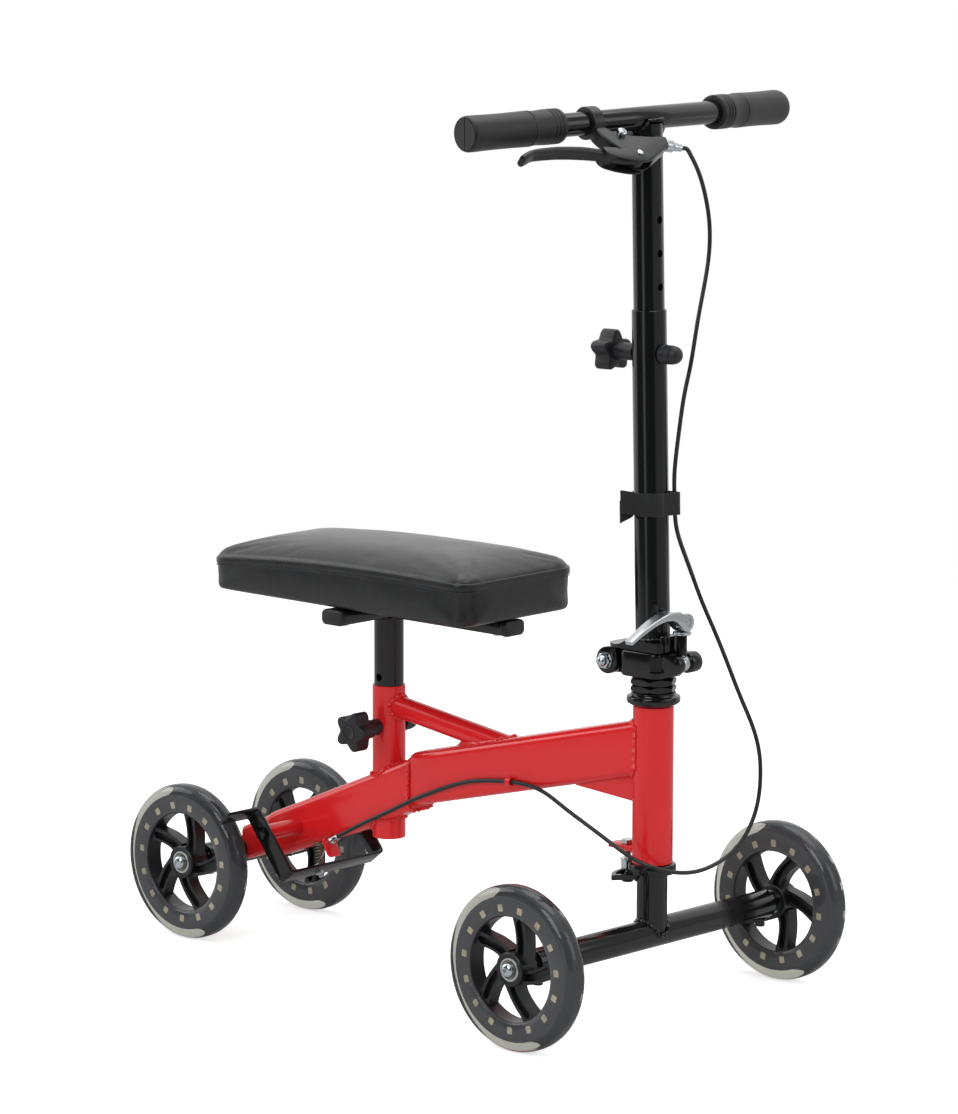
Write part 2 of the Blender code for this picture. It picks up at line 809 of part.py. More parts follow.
def wheel(end, side, carrier):
    """Tyre, moulded rim with its spokes, bearing and the bolt that holds the wheel on."""
    label = f"{end}_{'left' if side > 0 else 'right'}"
    place = frame_at(wheel_centre(end, side), (0, side, 0), (1, 0, 0))
    axis = pivot(f"wheel_axis_{label}", place, carrier)
    piece(f"tyre_{label}", tyre_mesh(), tyre_rubber(), axis, place)
    rim = piece(f"rim_{label}", rim_mesh(), black_plastic(), axis, place)
    cut(rim, joined(window_meshes()), place)
    weld(rim, joined(spoke_meshes()), place)
    weld(rim, hub_mesh(), place)
    half = HUB_WIDTH / 2 - BEARING_INSET
    inner = bore(WHEEL_BOLT_RADIUS, BOLT_SIDES)
    bearing = [(inner, -half), (BEARING_RADIUS, -half), (BEARING_RADIUS, half), (inner, half)]
    piece(f"bearing_{label}", turned(bearing, BOLT_SIDES), bright_steel(), axis, place)
    seat = half + CLEARANCE
    shank = circle(WHEEL_BOLT_RADIUS, BOLT_SIDES)
    head = circle(WHEEL_BOLT_HEAD_RADIUS, BOLT_SIDES)
    top = seat + WHEEL_BOLT_HEAD
    bolt = stack([(shank, -WHEEL_BOLT_REACH - HUB_WIDTH / 2), (shank, seat), (head, seat),
                  (head, top - WHEEL_BOLT_DOME), (circle(WHEEL_BOLT_HEAD_RADIUS * 0.82, BOLT_SIDES), top - WHEEL_BOLT_DOME * 0.3),
                  (circle(WHEEL_BOLT_HEAD_RADIUS * 0.5, BOLT_SIDES), top)])
    piece(f"wheel_bolt_{label}", bolt, bright_steel(), carrier, place)


def axle(name, x, track, set_bolt_drop, finish, carrier):
    """Turned axle with a plugged, drilled nose at each end and hexagon set bolts below."""
    half = track / 2 - HUB_WIDTH / 2 - CLEARANCE
    shoulder = half - AXLE_NOSE_LENGTH
    plug = shoulder - AXLE_PLUG
    hole = bore(WHEEL_BOLT_RADIUS)
    cavity = AXLE_RADIUS - AXLE_WALL
    near = [(hole, -half), (AXLE_NOSE_RADIUS, -half), (AXLE_NOSE_RADIUS, -shoulder),
            (AXLE_RADIUS, -shoulder + 0.002)]
    far = [(radius, -height) for radius, height in reversed(near)]
    inside = [(hole, plug), (cavity, plug - 0.004), (cavity, -plug + 0.004), (hole, -plug)]
    place = frame_at((x, 0.0, AXLE_Z), (0, 1, 0), (1, 0, 0))
    tube = piece(name, turned(near + far + inside), finish, carrier, place)
    for side in (-1, 1):
        bolt = slab(hexagon(SET_BOLT_FLATS, 6), -AXLE_RADIUS - set_bolt_drop, -AXLE_RADIUS + 0.004, 0.0008)
        weld(tube, bolt, Matrix.Translation((x, side * (shoulder - SET_BOLT_INSET), AXLE_Z)))


def stop_sector():
    """Sector plate drawn round the steering axis."""
    outer = []
    for i in range(9):
        angle = math.pi - STOP_PLATE_HALF_ANGLE + STOP_PLATE_HALF_ANGLE * i / 4
        outer.append((STOP_PLATE_REACH * math.cos(angle), STOP_PLATE_REACH * math.sin(angle)))
    inner = []
    mid_wall = POST_RADIUS - POST_WALL / 2
    for i in range(5):
        angle = math.pi + STOP_PLATE_HALF_ANGLE - STOP_PLATE_HALF_ANGLE * i / 2
        inner.append((mid_wall * math.cos(angle), mid_wall * math.sin(angle)))
    return slab(outer + inner, STOP_PLATE_BASE, STOP_PLATE_BASE + STOP_PLATE_THICK)


def stop_slot():
    """Arc slot that lets the stop bolt travel the steering range."""
    half_width = STOP_BOLT_RADIUS + CLEARANCE * 1.6
    half_angle = STEER_LIMIT + math.asin((STOP_BOLT_RADIUS + CLEARANCE) / STOP_OFFSET)
    steps = 8
    outer = []
    inner = []
    for i in range(steps + 1):
        angle = math.pi - half_angle + 2 * half_angle * i / steps
        swell = 1 / math.cos(half_angle / steps)
        outer.append(((STOP_OFFSET + half_width) * math.cos(angle) * swell,
                      (STOP_OFFSET + half_width) * math.sin(angle) * swell))
        inner.append(((STOP_OFFSET - half_width) * math.cos(angle), (STOP_OFFSET - half_width) * math.sin(angle)))
    return slab(outer + list(reversed(inner)), STOP_PLATE_BASE - 0.002, STOP_PLATE_BASE + STOP_PLATE_THICK + 0.002)


def steering():
    """Front axle, stem with the stop sector, and the nuts that hold the stem in the head tube."""
    axis = pivot("steering_axis", Matrix.Translation((FRONT_X, 0.0, HEAD_BASE)))
    place = Matrix.Translation((FRONT_X, 0.0, 0.0))
    axle("front_axle", FRONT_X, FRONT_TRACK, FRONT_SET_BOLT_DROP, black_paint(), axis)
    inner = POST_RADIUS - POST_WALL
    stem = piece("steering_stem", pipe(POST_RADIUS, inner, AXLE_Z + 0.006, STEM_TOP), black_paint(), axis, place)
    weld(stem, stop_sector(), place)
    cut(stem, stop_slot(), place)
    cut(stem, rod(bore(AXLE_RADIUS), -LONG_CUT_REACH, LONG_CUT_REACH), frame_at((FRONT_X, 0.0, AXLE_Z), (0, 1, 0), (1, 0, 0)))
    cup_top = HEAD_BASE + HEAD_LENGTH + CLEARANCE + UPPER_CUP_HEIGHT
    cone_base = cup_top + CLEARANCE
    hole = bore(POST_RADIUS, BOLT_SIDES)
    for name, base, height in (("bearing_cone_nut", cone_base, CONE_NUT_HEIGHT),
                               ("headset_lock_nut", cone_base + CONE_NUT_HEIGHT + CLEARANCE, LOCK_NUT_HEIGHT)):
        outline = hexagon(CONE_NUT_FLATS)
        worn = [(x * 0.955, y * 0.955) for x, y in outline]
        nut = loft([[(x, y, base) for x, y in circle(hole, BOLT_SIDES)],
                    [(x, y, base) for x, y in worn],
                    [(x, y, base + NUT_EDGE) for x, y in outline],
                    [(x, y, base + height - NUT_EDGE) for x, y in outline],
                    [(x, y, base + height) for x, y in worn],
                    [(x, y, base + height) for x, y in circle(hole, BOLT_SIDES)]], ring=True)
        piece(name, nut, black_paint(), axis, place)
    for side in (-1, 1):
        wheel("front", side, axis)
    return axis


def head_tube():
    """Head tube with the tab that carries the stop bolt, and its two bearing cups."""
    place = Matrix.Translation((FRONT_X, 0.0, 0.0))
    top = HEAD_BASE + HEAD_LENGTH
    inner = HEAD_RADIUS - HEAD_WALL
    tube = piece("head_tube", pipe(HEAD_RADIUS, inner, HEAD_BASE, top), red_paint(), None, place)
    tab = hull([(-STOP_OFFSET, 0.0, STOP_TAB_WIDTH / 2), (-STOP_TAB_REACH + 0.004, 0.006, 0.004),
                (-STOP_TAB_REACH + 0.004, -0.006, 0.004), (-inner - 0.003, 0.008, 0.0015),
                (-inner - 0.003, -0.008, 0.0015)])
    weld(tube, slab(tab, STOP_TAB_BASE, STOP_TAB_BASE + STOP_TAB_THICK), place)
    bolt_at = Matrix.Translation((FRONT_X - STOP_OFFSET, 0.0, 0.0))
    cut(tube, rod(bore(STOP_BOLT_RADIUS, HOLE_SIDES), STOP_TAB_BASE - 0.003,
                  STOP_TAB_BASE + STOP_TAB_THICK + 0.003, HOLE_SIDES), bolt_at)
    hole = bore(POST_RADIUS)
    spigot = inner * math.cos(math.pi / TUBE_SIDES) - CLEARANCE
    base = HEAD_BASE - CLEARANCE
    low = base - LOWER_CUP_HEIGHT
    lower = [(hole, low), (LOWER_CUP_RADIUS - CUP_EDGE * 0.6, low), (LOWER_CUP_RADIUS, low + CUP_EDGE * 0.6),
             (LOWER_CUP_RADIUS, base - CUP_EDGE), (LOWER_CUP_RADIUS - CUP_EDGE, base), (spigot, base),
             (spigot, base + CUP_SPIGOT), (hole, base + CUP_SPIGOT)]
    piece("lower_bearing_cup", turned(lower), black_paint(), None, place)
    seat = top + CLEARANCE
    crown = seat + UPPER_CUP_HEIGHT
    upper = [(hole, seat - CUP_SPIGOT), (spigot, seat - CUP_SPIGOT), (spigot, seat), (HEAD_RADIUS, seat),
             (UPPER_CUP_RADIUS, seat + CUP_EDGE), (UPPER_CUP_RADIUS, crown - CUP_EDGE * 1.6),
             (UPPER_CUP_RADIUS - CUP_EDGE, crown), (hole, crown)]
    piece("upper_bearing_cup", turned(upper), black_paint(), None, place)


def stop_bolt():
    """Bolt through the tab, with a nut above the sector plate and a rubber dish below it."""
    plate_top = STOP_PLATE_BASE + STOP_PLATE_THICK
    tab_top = STOP_TAB_BASE + STOP_TAB_THICK
    shank = circle(STOP_BOLT_RADIUS, BOLT_SIDES)
    nut = hexagon(STOP_NUT_FLATS, BOLT_SIDES)
    dish = circle(STOP_BUFFER_RADIUS, BOLT_SIDES)
    stations = [(circle(STOP_BUFFER_RADIUS * 0.625, BOLT_SIDES), STOP_PLATE_BASE - STOP_BUFFER_HEIGHT),
                (dish, STOP_PLATE_BASE - STOP_BUFFER_HEIGHT / 2),
                (dish, STOP_PLATE_BASE - CLEARANCE),
                (shank, STOP_PLATE_BASE - CLEARANCE),
                (shank, plate_top + CLEARANCE),
                (nut, plate_top + CLEARANCE),
                (nut, STOP_TAB_BASE - STOP_NUT_DROP),
                (shank, STOP_TAB_BASE - STOP_NUT_DROP),
                (shank, tab_top + CLEARANCE),
                (nut, tab_top + CLEARANCE),
                (nut, tab_top + CLEARANCE + STOP_NUT_HEIGHT)]
    piece("steering_stop_bolt", stack(stations), bright_steel(), None,
          Matrix.Translation((FRONT_X - STOP_OFFSET, 0.0, 0.0)))


def fold_block_lower(axis):
    """Clamp block on top of the stem: hinge knuckle behind, slotted ears for the swing bolt in front."""
    middle = (BLOCK_REAR + BLOCK_FRONT) / 2
    outline = rounded_rect(BLOCK_FRONT - BLOCK_REAR, 2 * BLOCK_HALF_WIDTH, BLOCK_CORNER, centre=(middle, 0.0))
    block = piece("fold_block_lower", slab(outline, BLOCK_BASE, BLOCK_TOP, BLOCK_EDGE), black_paint(), axis)
    web_high = BLOCK_TOP - 0.002
    knuckle = hull([(FOLD_X, FOLD_Z, KNUCKLE_RADIUS), (BLOCK_REAR + 0.012, BLOCK_BASE + 0.003, 0.001),
                    (BLOCK_REAR + 0.012, web_high - 0.001, 0.001)])
    weld(block, slab(knuckle, -KNUCKLE_HALF, KNUCKLE_HALF), side_view())
    ear = hull([(TRUNNION_X, TRUNNION_Z, EAR_RADIUS), (BLOCK_FRONT - 0.004, BLOCK_BASE + 0.009, 0.001),
                (BLOCK_FRONT - 0.004, web_high - 0.001, 0.001)])
    weld(block, slab(ear, SLOT_HALF, EAR_NEAR), side_view())
    weld(block, slab(ear, -EAR_FAR, -SLOT_HALF), side_view())
    weld(block, rod(TRUNNION_RADIUS, -EAR_FAR + 0.001, EAR_NEAR - 0.001, BOLT_SIDES),
         side_view(TRUNNION_X, TRUNNION_Z))
    cut(block, rod(bore(FOLD_PIN_RADIUS, HOLE_SIDES), -CUT_REACH, CUT_REACH, HOLE_SIDES), side_view(FOLD_X, FOLD_Z))
    cut(block, rod(bore(POST_RADIUS), BLOCK_BASE - 0.01, STEM_TOP + CLEARANCE),
        Matrix.Translation((FRONT_X, 0.0, 0.0)))
    for side in (-1, 1):
        corner = (BLOCK_FRONT - BLOCK_CORNER * 0.4, side * (BLOCK_HALF_WIDTH - BLOCK_CORNER * 0.4), 0.0)
        place = frame_at(corner, (0, 0, 1), (1, side, 0))
        cut(block, box((-0.0035, 0.01), (-0.0065, 0.0065), (BLOCK_BASE + 0.008, BLOCK_TOP - 0.005)), place)


def fold_hinge(axis):
    """Hinge bolt with its head on the far side and a domed nut on the near side."""
    seat = BLOCK_HALF_WIDTH + CLEARANCE
    place = side_view(FOLD_X, FOLD_Z)
    shank = circle(FOLD_PIN_RADIUS, BOLT_SIDES)
    head = circle(HINGE_HEAD_RADIUS, BOLT_SIDES)
    bolt = stack([(circle(HINGE_HEAD_RADIUS * 0.6, BOLT_SIDES), -seat - HINGE_HEAD_HEIGHT),
                  (head, -seat - HINGE_HEAD_HEIGHT * 0.6), (head, -seat), (shank, -seat), (shank, seat + 0.0017)])
    piece("fold_hinge_bolt", bolt, bright_steel(), axis, place)
    hole = bore(FOLD_PIN_RADIUS, BOLT_SIDES)
    nut = turned([(0.0, seat + 0.0024), (hole, seat + 0.0024), (hole, seat), (HINGE_NUT_RADIUS, seat),
                  (HINGE_NUT_RADIUS, seat + 0.0045), (HINGE_NUT_RADIUS * 0.76, seat + 0.0085),
                  (HINGE_NUT_RADIUS * 0.35, seat + 0.0105),
                  (0.0, seat + 0.0109)], BOLT_SIDES, solid=True)
    piece("fold_hinge_nut", nut, bright_steel(), axis, place)


def cam_level():
    return plate_base() + LIP_HEIGHT + WASHER_LIFT + WASHER_THICK + CLEARANCE + CAM_RADIUS


def plate_base():
    return BLOCK_TOP + CLEARANCE


def swing_bolt(steering_axis):
    """Eye bolt on the trunnion, with its sleeve, washer and the cross pin of the cam lever."""
    origin = (TRUNNION_X, 0.0, TRUNNION_Z)
    axis = pivot("clamp_swing_axis", Matrix.Translation(origin), steering_axis)
    half = SLOT_HALF - CLEARANCE
    bolt = piece("swing_bolt", slab(circle(SWING_EYE_RADIUS), -half, half), bright_steel(), axis,
                 side_view(TRUNNION_X, TRUNNION_Z))
    washer = plate_base() + LIP_HEIGHT + WASHER_LIFT
    sleeve_low = TRUNNION_Z + 0.0095
    ribs = []
    rib_count = 4
    for i in range(rib_count):
        step = (washer - sleeve_low) / rib_count
        ribs.append((SLEEVE_RADIUS, sleeve_low + step * i))
        ribs.append((SLEEVE_RADIUS - 0.0010, sleeve_low + step * (i + 0.5)))
    shaft = [(0.0, TRUNNION_Z + 0.0055), (SWING_SHANK_RADIUS, TRUNNION_Z + 0.0055),
             (SWING_SHANK_RADIUS, sleeve_low)] + ribs
    shaft += [(SLEEVE_RADIUS, washer), (WASHER_RADIUS, washer), (WASHER_RADIUS, washer + WASHER_THICK),
              (SWING_SHANK_RADIUS, washer + WASHER_THICK), (SWING_SHANK_RADIUS, cam_level() + 0.004),
              (0.0, cam_level() + 0.004)]
    weld(bolt, turned(shaft, 10, solid=True), Matrix.Translation((TRUNNION_X, 0.0, 0.0)))
    reach = SWING_SHANK_RADIUS + CHEEK_THICK
    weld(bolt, rod(CAM_PIN_RADIUS, -reach, reach, BOLT_SIDES), end_view(TRUNNION_X, 0.0, cam_level()))
    cut(bolt, rod(bore(TRUNNION_RADIUS, HOLE_SIDES), -CUT_REACH, CUT_REACH, HOLE_SIDES), side_view(TRUNNION_X, TRUNNION_Z))
    return axis


def clamp_lever(swing_axis):
    """Cam lever: two round cheeks on the cross pin and a bent flat handle."""
    origin = (TRUNNION_X, 0.0, cam_level())
    place = end_view(*origin)
    axis = pivot("clamp_lever_axis", Matrix.Translation(origin), swing_axis)
    inner = SWING_SHANK_RADIUS + CLEARANCE
    outer = inner + CHEEK_THICK
    half = LEVER_THICK / 2
    sections = []
    for i in range(len(CAM_LEVER_PATH)):
        width = outer - 0.0008 * max(i - 3, 0)
        sections.append([(-half, -width), (half, -width), (half, width), (-half, width)])
    lever = piece("clamp_lever", sweep_flat(CAM_LEVER_PATH, sections), polished_alloy(), axis, place)
    cheek = hull([(0.0, 0.0, CAM_RADIUS), (-0.019, 0.0122, half * 0.8)])
    weld(lever, slab(cheek, inner, outer), place)
    weld(lever, slab(cheek, -outer, -inner), place)
    cut(lever, rod(bore(CAM_PIN_RADIUS, HOLE_SIDES), -CUT_REACH, CUT_REACH, HOLE_SIDES), place)


def fold_block_upper(axis):
    """Plate under the mast, with two hinge knuckles behind and the clamp lip in front."""
    middle = (PLATE_REAR + PLATE_FRONT) / 2
    outline = rounded_rect(PLATE_FRONT - PLATE_REAR, 2 * BLOCK_HALF_WIDTH, BLOCK_CORNER * 0.7, centre=(middle, 0.0))
    base = plate_base()
    top = base + PLATE_THICK
    block = piece("fold_block_upper", slab(outline, base, top), black_paint(), axis)
    knuckle = hull([(FOLD_X, FOLD_Z, KNUCKLE_RADIUS), (FOLD_X - 0.010, top - 0.003, 0.0015),
                    (FOLD_X + 0.011, top - 0.003, 0.0015)])
    inner = KNUCKLE_HALF + CLEARANCE
    weld(block, slab(knuckle, inner, BLOCK_HALF_WIDTH), side_view())
    weld(block, slab(knuckle, -BLOCK_HALF_WIDTH, -inner), side_view())
    lip = rounded_rect(LIP_FRONT - LIP_REAR, 2 * LIP_HALF_WIDTH, 0.004, centre=((LIP_FRONT + LIP_REAR) / 2, 0.0))
    weld(block, slab(lip, base + CLEARANCE, base + LIP_HEIGHT), Matrix())
    cut(block, rod(SLEEVE_RADIUS + 0.0020, base - 0.01, base + LIP_HEIGHT + 0.01),
        Matrix.Translation((TRUNNION_X, 0.0, 0.0)))
    cut(block, rod(bore(FOLD_PIN_RADIUS, HOLE_SIDES), -CUT_REACH, CUT_REACH, HOLE_SIDES), side_view(FOLD_X, FOLD_Z))
    cut(block, rod(bore(MAST_RADIUS), 0.0, 0.05), mast_frame(top - SOCKET_DEPTH))


def mast(steering_axis):
    """Folding mast with its upper block, cap nut and the strap that holds the cable."""
    axis = pivot("fold_axis", Matrix.Translation((FOLD_X, 0.0, FOLD_Z)), steering_axis)
    fold_block_upper(axis)
    foot = plate_base() + PLATE_THICK - SOCKET_DEPTH + CLEARANCE
    length = (MAST_TOP - foot) / math.cos(RAKE)
    tube = piece("mast_tube", pipe(MAST_RADIUS, bore(POST_RADIUS), 0.0, length), black_paint(), axis,
                 mast_frame(foot))
    level = mast_point(KNOB_LEVEL)
    through = frame_at(level, mast_across(), MAST_ALONG)
    cut(tube, rod(bore(KNOB_BOLT_RADIUS, HOLE_SIDES), -CUT_REACH, CUT_REACH, HOLE_SIDES), through)
    piece("mast_cap_nut", cap_nut(MAST_CAP_LENGTH), black_plastic(), axis, through)
    cable_strap(axis)
    return axis


def mast_across():
    """Forward direction square to the raked mast."""
    return (math.cos(RAKE), 0.0, math.sin(RAKE))


def cap_nut(length):
    """Ribbed cap on the far end of a knob's bolt, measured from the tube's axis."""
    seat = MAST_RADIUS + CLEARANCE
    radius = CAP_NUT_RADIUS
    spigot = circle(KNOB_BOLT_RADIUS, BOLT_SIDES)
    collar = circle(radius, BOLT_SIDES)
    return stack([(spigot, bore(POST_RADIUS)), (spigot, seat), (collar, seat), (collar, seat + 0.004),
                  (fluted(radius * 0.92), seat + 0.005), (fluted(radius * 0.90), seat + length - 0.008),
                  (circle(radius * 0.4, BOLT_SIDES), seat + length)])


def fluted(radius, sides=BOLT_SIDES):
    """Circle with every other point drawn in, for a ribbed cap."""
    return [(x * (1 - 0.06 * (i % 2)), y * (1 - 0.06 * (i % 2))) for i, (x, y) in enumerate(circle(radius, sides))]


def cable_strap(axis):
    """Clip round the mast with a round eye for the cable."""
    inner = bore(MAST_RADIUS)
    outer = MAST_RADIUS + CLEARANCE + STRAP_THICK
    ring = piece("cable_strap", pipe(outer, inner, 0.0, STRAP_HEIGHT), black_plastic(), axis, mast_frame(STRAP_BASE))
    eye_inner = (CABLE_RADIUS + EYE_PLAY) / math.cos(math.pi / HOLE_SIDES)
    eye_outer = eye_inner + EYE_WALL
    offset = eye_offset()
    eye = moved(pipe(eye_outer, eye_inner, 0.0, STRAP_HEIGHT, HOLE_SIDES),
                Matrix.Translation((offset * EYE_SIDE[0], offset * EYE_SIDE[1], 0.0)))
    weld(ring, eye, mast_frame(STRAP_BASE))


def knob(name, boss_length, place, carrier):
    """Five-lobed clamping knob with its bolt."""
    sides = 20
    axis = pivot(f"{name}_axis", place, carrier)
    seat = MAST_RADIUS + CLEARANCE
    face = seat + boss_length
    depth = STAR_RADIUS * 0.28
    stations = [(circle(KNOB_BOLT_RADIUS, sides), bore(POST_RADIUS)), (circle(KNOB_BOLT_RADIUS, sides), seat),
                (circle(KNOB_BOSS_RADIUS, sides), seat), (circle(KNOB_BOSS_RADIUS * 1.12, sides), face),
                (star(STAR_RADIUS * 0.90, depth), face + 0.0015),
                (star(STAR_RADIUS, depth), face + 0.005),
                (star(STAR_RADIUS, depth), face + STAR_THICK - 0.005),
                (star(STAR_RADIUS * 0.84, depth * 0.9), face + STAR_THICK)]
    piece(name, stack(stations), black_plastic(), axis, place)


def post_holes(post, count, step, along, first, across):
    """Row of adjusting holes through both walls of a sliding post."""
    for i in range(count):
        centre = Vector(first) + Vector(along) * step * i
        hole = rod(bore(KNOB_BOLT_RADIUS, POST_HOLE_SIDES), -CUT_REACH, CUT_REACH, POST_HOLE_SIDES)
        cut(post, hole, frame_at(centre, across, along))


def handlebar(mast_axis):
    """Sliding post with the swept handlebar and its two grips."""
    axis = pivot("bar_height_axis", mast_frame(POST_BASE), mast_axis)
    length = (BAR_LEVEL - POST_BASE) / math.cos(RAKE)
    post = piece("handlebar_post", pipe(POST_RADIUS, POST_RADIUS - POST_WALL, 0.0, length), black_paint(), axis,
                 mast_frame(POST_BASE))
    cut(post, loft(bar_loops(bore(BAR_RADIUS))))
    post_holes(post, POST_HOLES, POST_HOLE_STEP, MAST_ALONG, mast_point(KNOB_LEVEL), mast_across())
    bar = bar_loops(BAR_RADIUS) + list(reversed(bar_loops(BAR_RADIUS - BAR_WALL)))
    piece("handlebar", loft(bar, ring=True), black_paint(), axis)
    for side, label in ((-1, "right"), (1, "left")):
        piece(f"grip_{label}", turned(grip_profile(), solid=True), grip_rubber(), axis,
              frame_at(bar_centre(), bar_along(side), (1, 0, 0)))
    return axis


def grip_profile():
    """Moulded grip: blind bore, inner flange, ribs, a seam and a rounded end."""
    hole = bore(BAR_RADIUS)
    start, end, radius = GRIP_START, GRIP_END, GRIP_RADIUS
    profile = [(0.0, BAR_HALF + CLEARANCE), (hole, BAR_HALF + CLEARANCE), (hole, start),
               (radius, start)]
    for i in range(3):
        rib = start + GRIP_RIB_STEP * (i + 0.9)
        profile += [(radius, rib), (radius * 0.94, rib + GRIP_RIB_STEP / 2)]
    profile += [(radius, start + GRIP_SEAM), (radius * 0.95, start + GRIP_SEAM + 0.0015),
                (radius, start + GRIP_SEAM + 0.0030),
                (radius, end - 0.006), (radius * 0.80, end), (0.0, end)]
    return profile


def brake_axes():
    """Directions of the hand brake's plane: away from the bar, outward along it, and square to both."""
    outward = bar_along(-1)
    forward = Vector((math.cos(BAR_SWEEP), -math.sin(BAR_SWEEP), 0.0))
    away = forward * math.cos(BRAKE_TILT) - Vector((0.0, 0.0, math.sin(BRAKE_TILT)))
    away -= outward * away.dot(outward)
    away.normalize()
    return away, outward, away.cross(outward)


def brake_frame(away=0.0, along=0.0):
    """Placement in the hand brake's plane at a distance from the bar and along it."""
    out, outward, square = brake_axes()
    return frame_at(bar_centre() + out * away + outward * along, square, out)


def hand_brake(carrier):
    """Bracket clamped on the bar, its cable adjuster and the finger lever."""
    out, outward, square = brake_axes()
    place = brake_frame()
    outline = list(BRACKET_OUTLINE) if area(BRACKET_OUTLINE) > 0 else list(reversed(BRACKET_OUTLINE))
    bracket = piece("brake_bracket", slab(outline, -BRACKET_HALF, BRACKET_HALF, BRACKET_EDGE), black_plastic(),
                    carrier, place)
    slot_half = LEVER_HUB_HALF + CLEARANCE
    cut(bracket, box(*BRACKET_SLOT, (-slot_half, slot_half)), place)
    ring_place = frame_at(bar_centre() + outward * CLAMP_START, outward, out)
    weld(bracket, pipe(CLAMP_RADIUS, bore(BAR_RADIUS), 0.0, CLAMP_WIDTH), ring_place)
    head = circle(LEVER_SCREW_RADIUS, BOLT_SIDES)
    shank = circle(LEVER_PIN_RADIUS, BOLT_SIDES)
    pin = stack([(head, -BRACKET_HALF - LEVER_SCREW_HEAD), (head, -BRACKET_HALF), (shank, -BRACKET_HALF + 0.001),
                 (shank, BRACKET_HALF - 0.001), (head, BRACKET_HALF), (head, BRACKET_HALF + LEVER_SCREW_HEAD)])
    weld(bracket, pin, brake_frame(*LEVER_PIVOT))
    screw = slab(circle(CLAMP_SCREW_RADIUS, BOLT_SIDES), -0.0045, 0.003)
    weld(bracket, screw, frame_at(bar_centre() + out * CLAMP_SCREW_AT + outward * CLAMP_START, outward, out))
    barrel_along = (out * BARREL_LEAN[0] + outward * BARREL_LEAN[1]).normalized()
    barrel_at = bar_centre() + out * BARREL_SEAT[0] + outward * BARREL_SEAT[1]
    barrel_place = frame_at(barrel_at, barrel_along, square)
    cut(bracket, rod(bore(BARREL_SPIGOT_RADIUS, HOLE_SIDES), -BARREL_SPIGOT_LENGTH - 0.001, 0.01, HOLE_SIDES), barrel_place)
    barrel_adjuster(barrel_place, carrier)
    brake_lever(carrier)


def area(outline):
    return sum(turn_of((0.0, 0.0), a, b) for a, b in zip(outline, outline[1:] + outline[:1])) / 2


def barrel_adjuster(place, carrier):
    """Knurled adjuster that the cable housing seats in."""
    tip = BARREL_SPIGOT_RADIUS
    face = CLEARANCE * 3
    spigot = circle(tip, BOLT_SIDES)
    profile = [(spigot, -BARREL_SPIGOT_LENGTH), (spigot, face), (circle(BARREL_RADIUS, BOLT_SIDES), face)]
    profile += [(fluted(BARREL_RADIUS * 1.03), face + BARREL_LENGTH * 0.06),
                (fluted(BARREL_RADIUS * 1.03), face + BARREL_LENGTH * 0.39)]
    profile += [(circle(BARREL_RADIUS * 0.65, BOLT_SIDES), face + BARREL_LENGTH * 0.56),
                (circle(BARREL_RADIUS * 0.55, BOLT_SIDES), BARREL_LENGTH)]
    piece("barrel_adjuster", stack(profile), bright_steel(), carrier, place)


def brake_lever(carrier):
    """Finger lever on the bracket's pivot pin."""
    axis = pivot("brake_lever_axis", brake_frame(*LEVER_PIVOT), carrier)
    sections = []
    for t, w in zip(LEVER_HALF_THICK, LEVER_HALF_WIDTH):
        sections.append([(-t, -w * 0.6), (-t * 0.5, -w), (t * 0.5, -w), (t, -w * 0.6),
                         (t, w * 0.6), (t * 0.5, w), (-t * 0.5, w), (-t, w * 0.6)])
    lever = piece("brake_lever", sweep_flat(LEVER_PATH, sections), black_paint(), axis, brake_frame())
    weld(lever, slab(circle(LEVER_HUB_RADIUS), -LEVER_HUB_HALF, LEVER_HUB_HALF), brake_frame(*LEVER_PIVOT))
    cut(lever, rod(bore(LEVER_PIN_RADIUS, HOLE_SIDES), -CUT_REACH, CUT_REACH, HOLE_SIDES), brake_frame(*LEVER_PIVOT))


def main_beam():
    """Sloping box beam from the seat end to the head tube, with its gusset and the cable guide."""
    stations = [(x, beam_low(x), beam_high(x)) for x in (BEAM_SEAM_X + CLEARANCE, FRONT_X)]
    beam = piece("main_beam", hollow_beam(stations, BEAM_WIDTH, BEAM_CORNER, BEAM_WALL), red_paint())
    foot = FRONT_X - 0.010
    behind = GUSSET_REAR + 0.025
    gusset = [(GUSSET_REAR, beam_low(GUSSET_REAR) + CLEARANCE), GUSSET_TIP, (foot, GUSSET_TIP[1] - 0.0015),
              (foot, beam_low(foot) + 0.001), (behind, beam_low(behind) + 0.001)]
    weld(beam, slab(gusset, -GUSSET_HALF, GUSSET_HALF), side_view())
    cut(beam, rod(bore(HEAD_RADIUS), HEAD_BASE - CUT_REACH, HEAD_BASE + HEAD_LENGTH + CUT_REACH),
        Matrix.Translation((FRONT_X, 0.0, 0.0)))
    eye_inner = bore(CABLE_RADIUS, HOLE_SIDES)
    eye = pipe(eye_inner + GUIDE_WALL, eye_inner, -GUIDE_HALF, GUIDE_HALF, HOLE_SIDES)
    weld(beam, eye, frame_at((CABLE_GUIDE_X, CABLE_GUIDE_Y, CABLE_GUIDE_Z), (1, 0, 0), (0, 1, 0)))


def rear_beam_low(x):
    """Underside of the rear beam behind the seat tube."""
    (x0, low0, _), (x1, low1, _) = REAR_STATIONS[1:]
    return low0 + (low1 - low0) * (x - x0) / (x1 - x0)


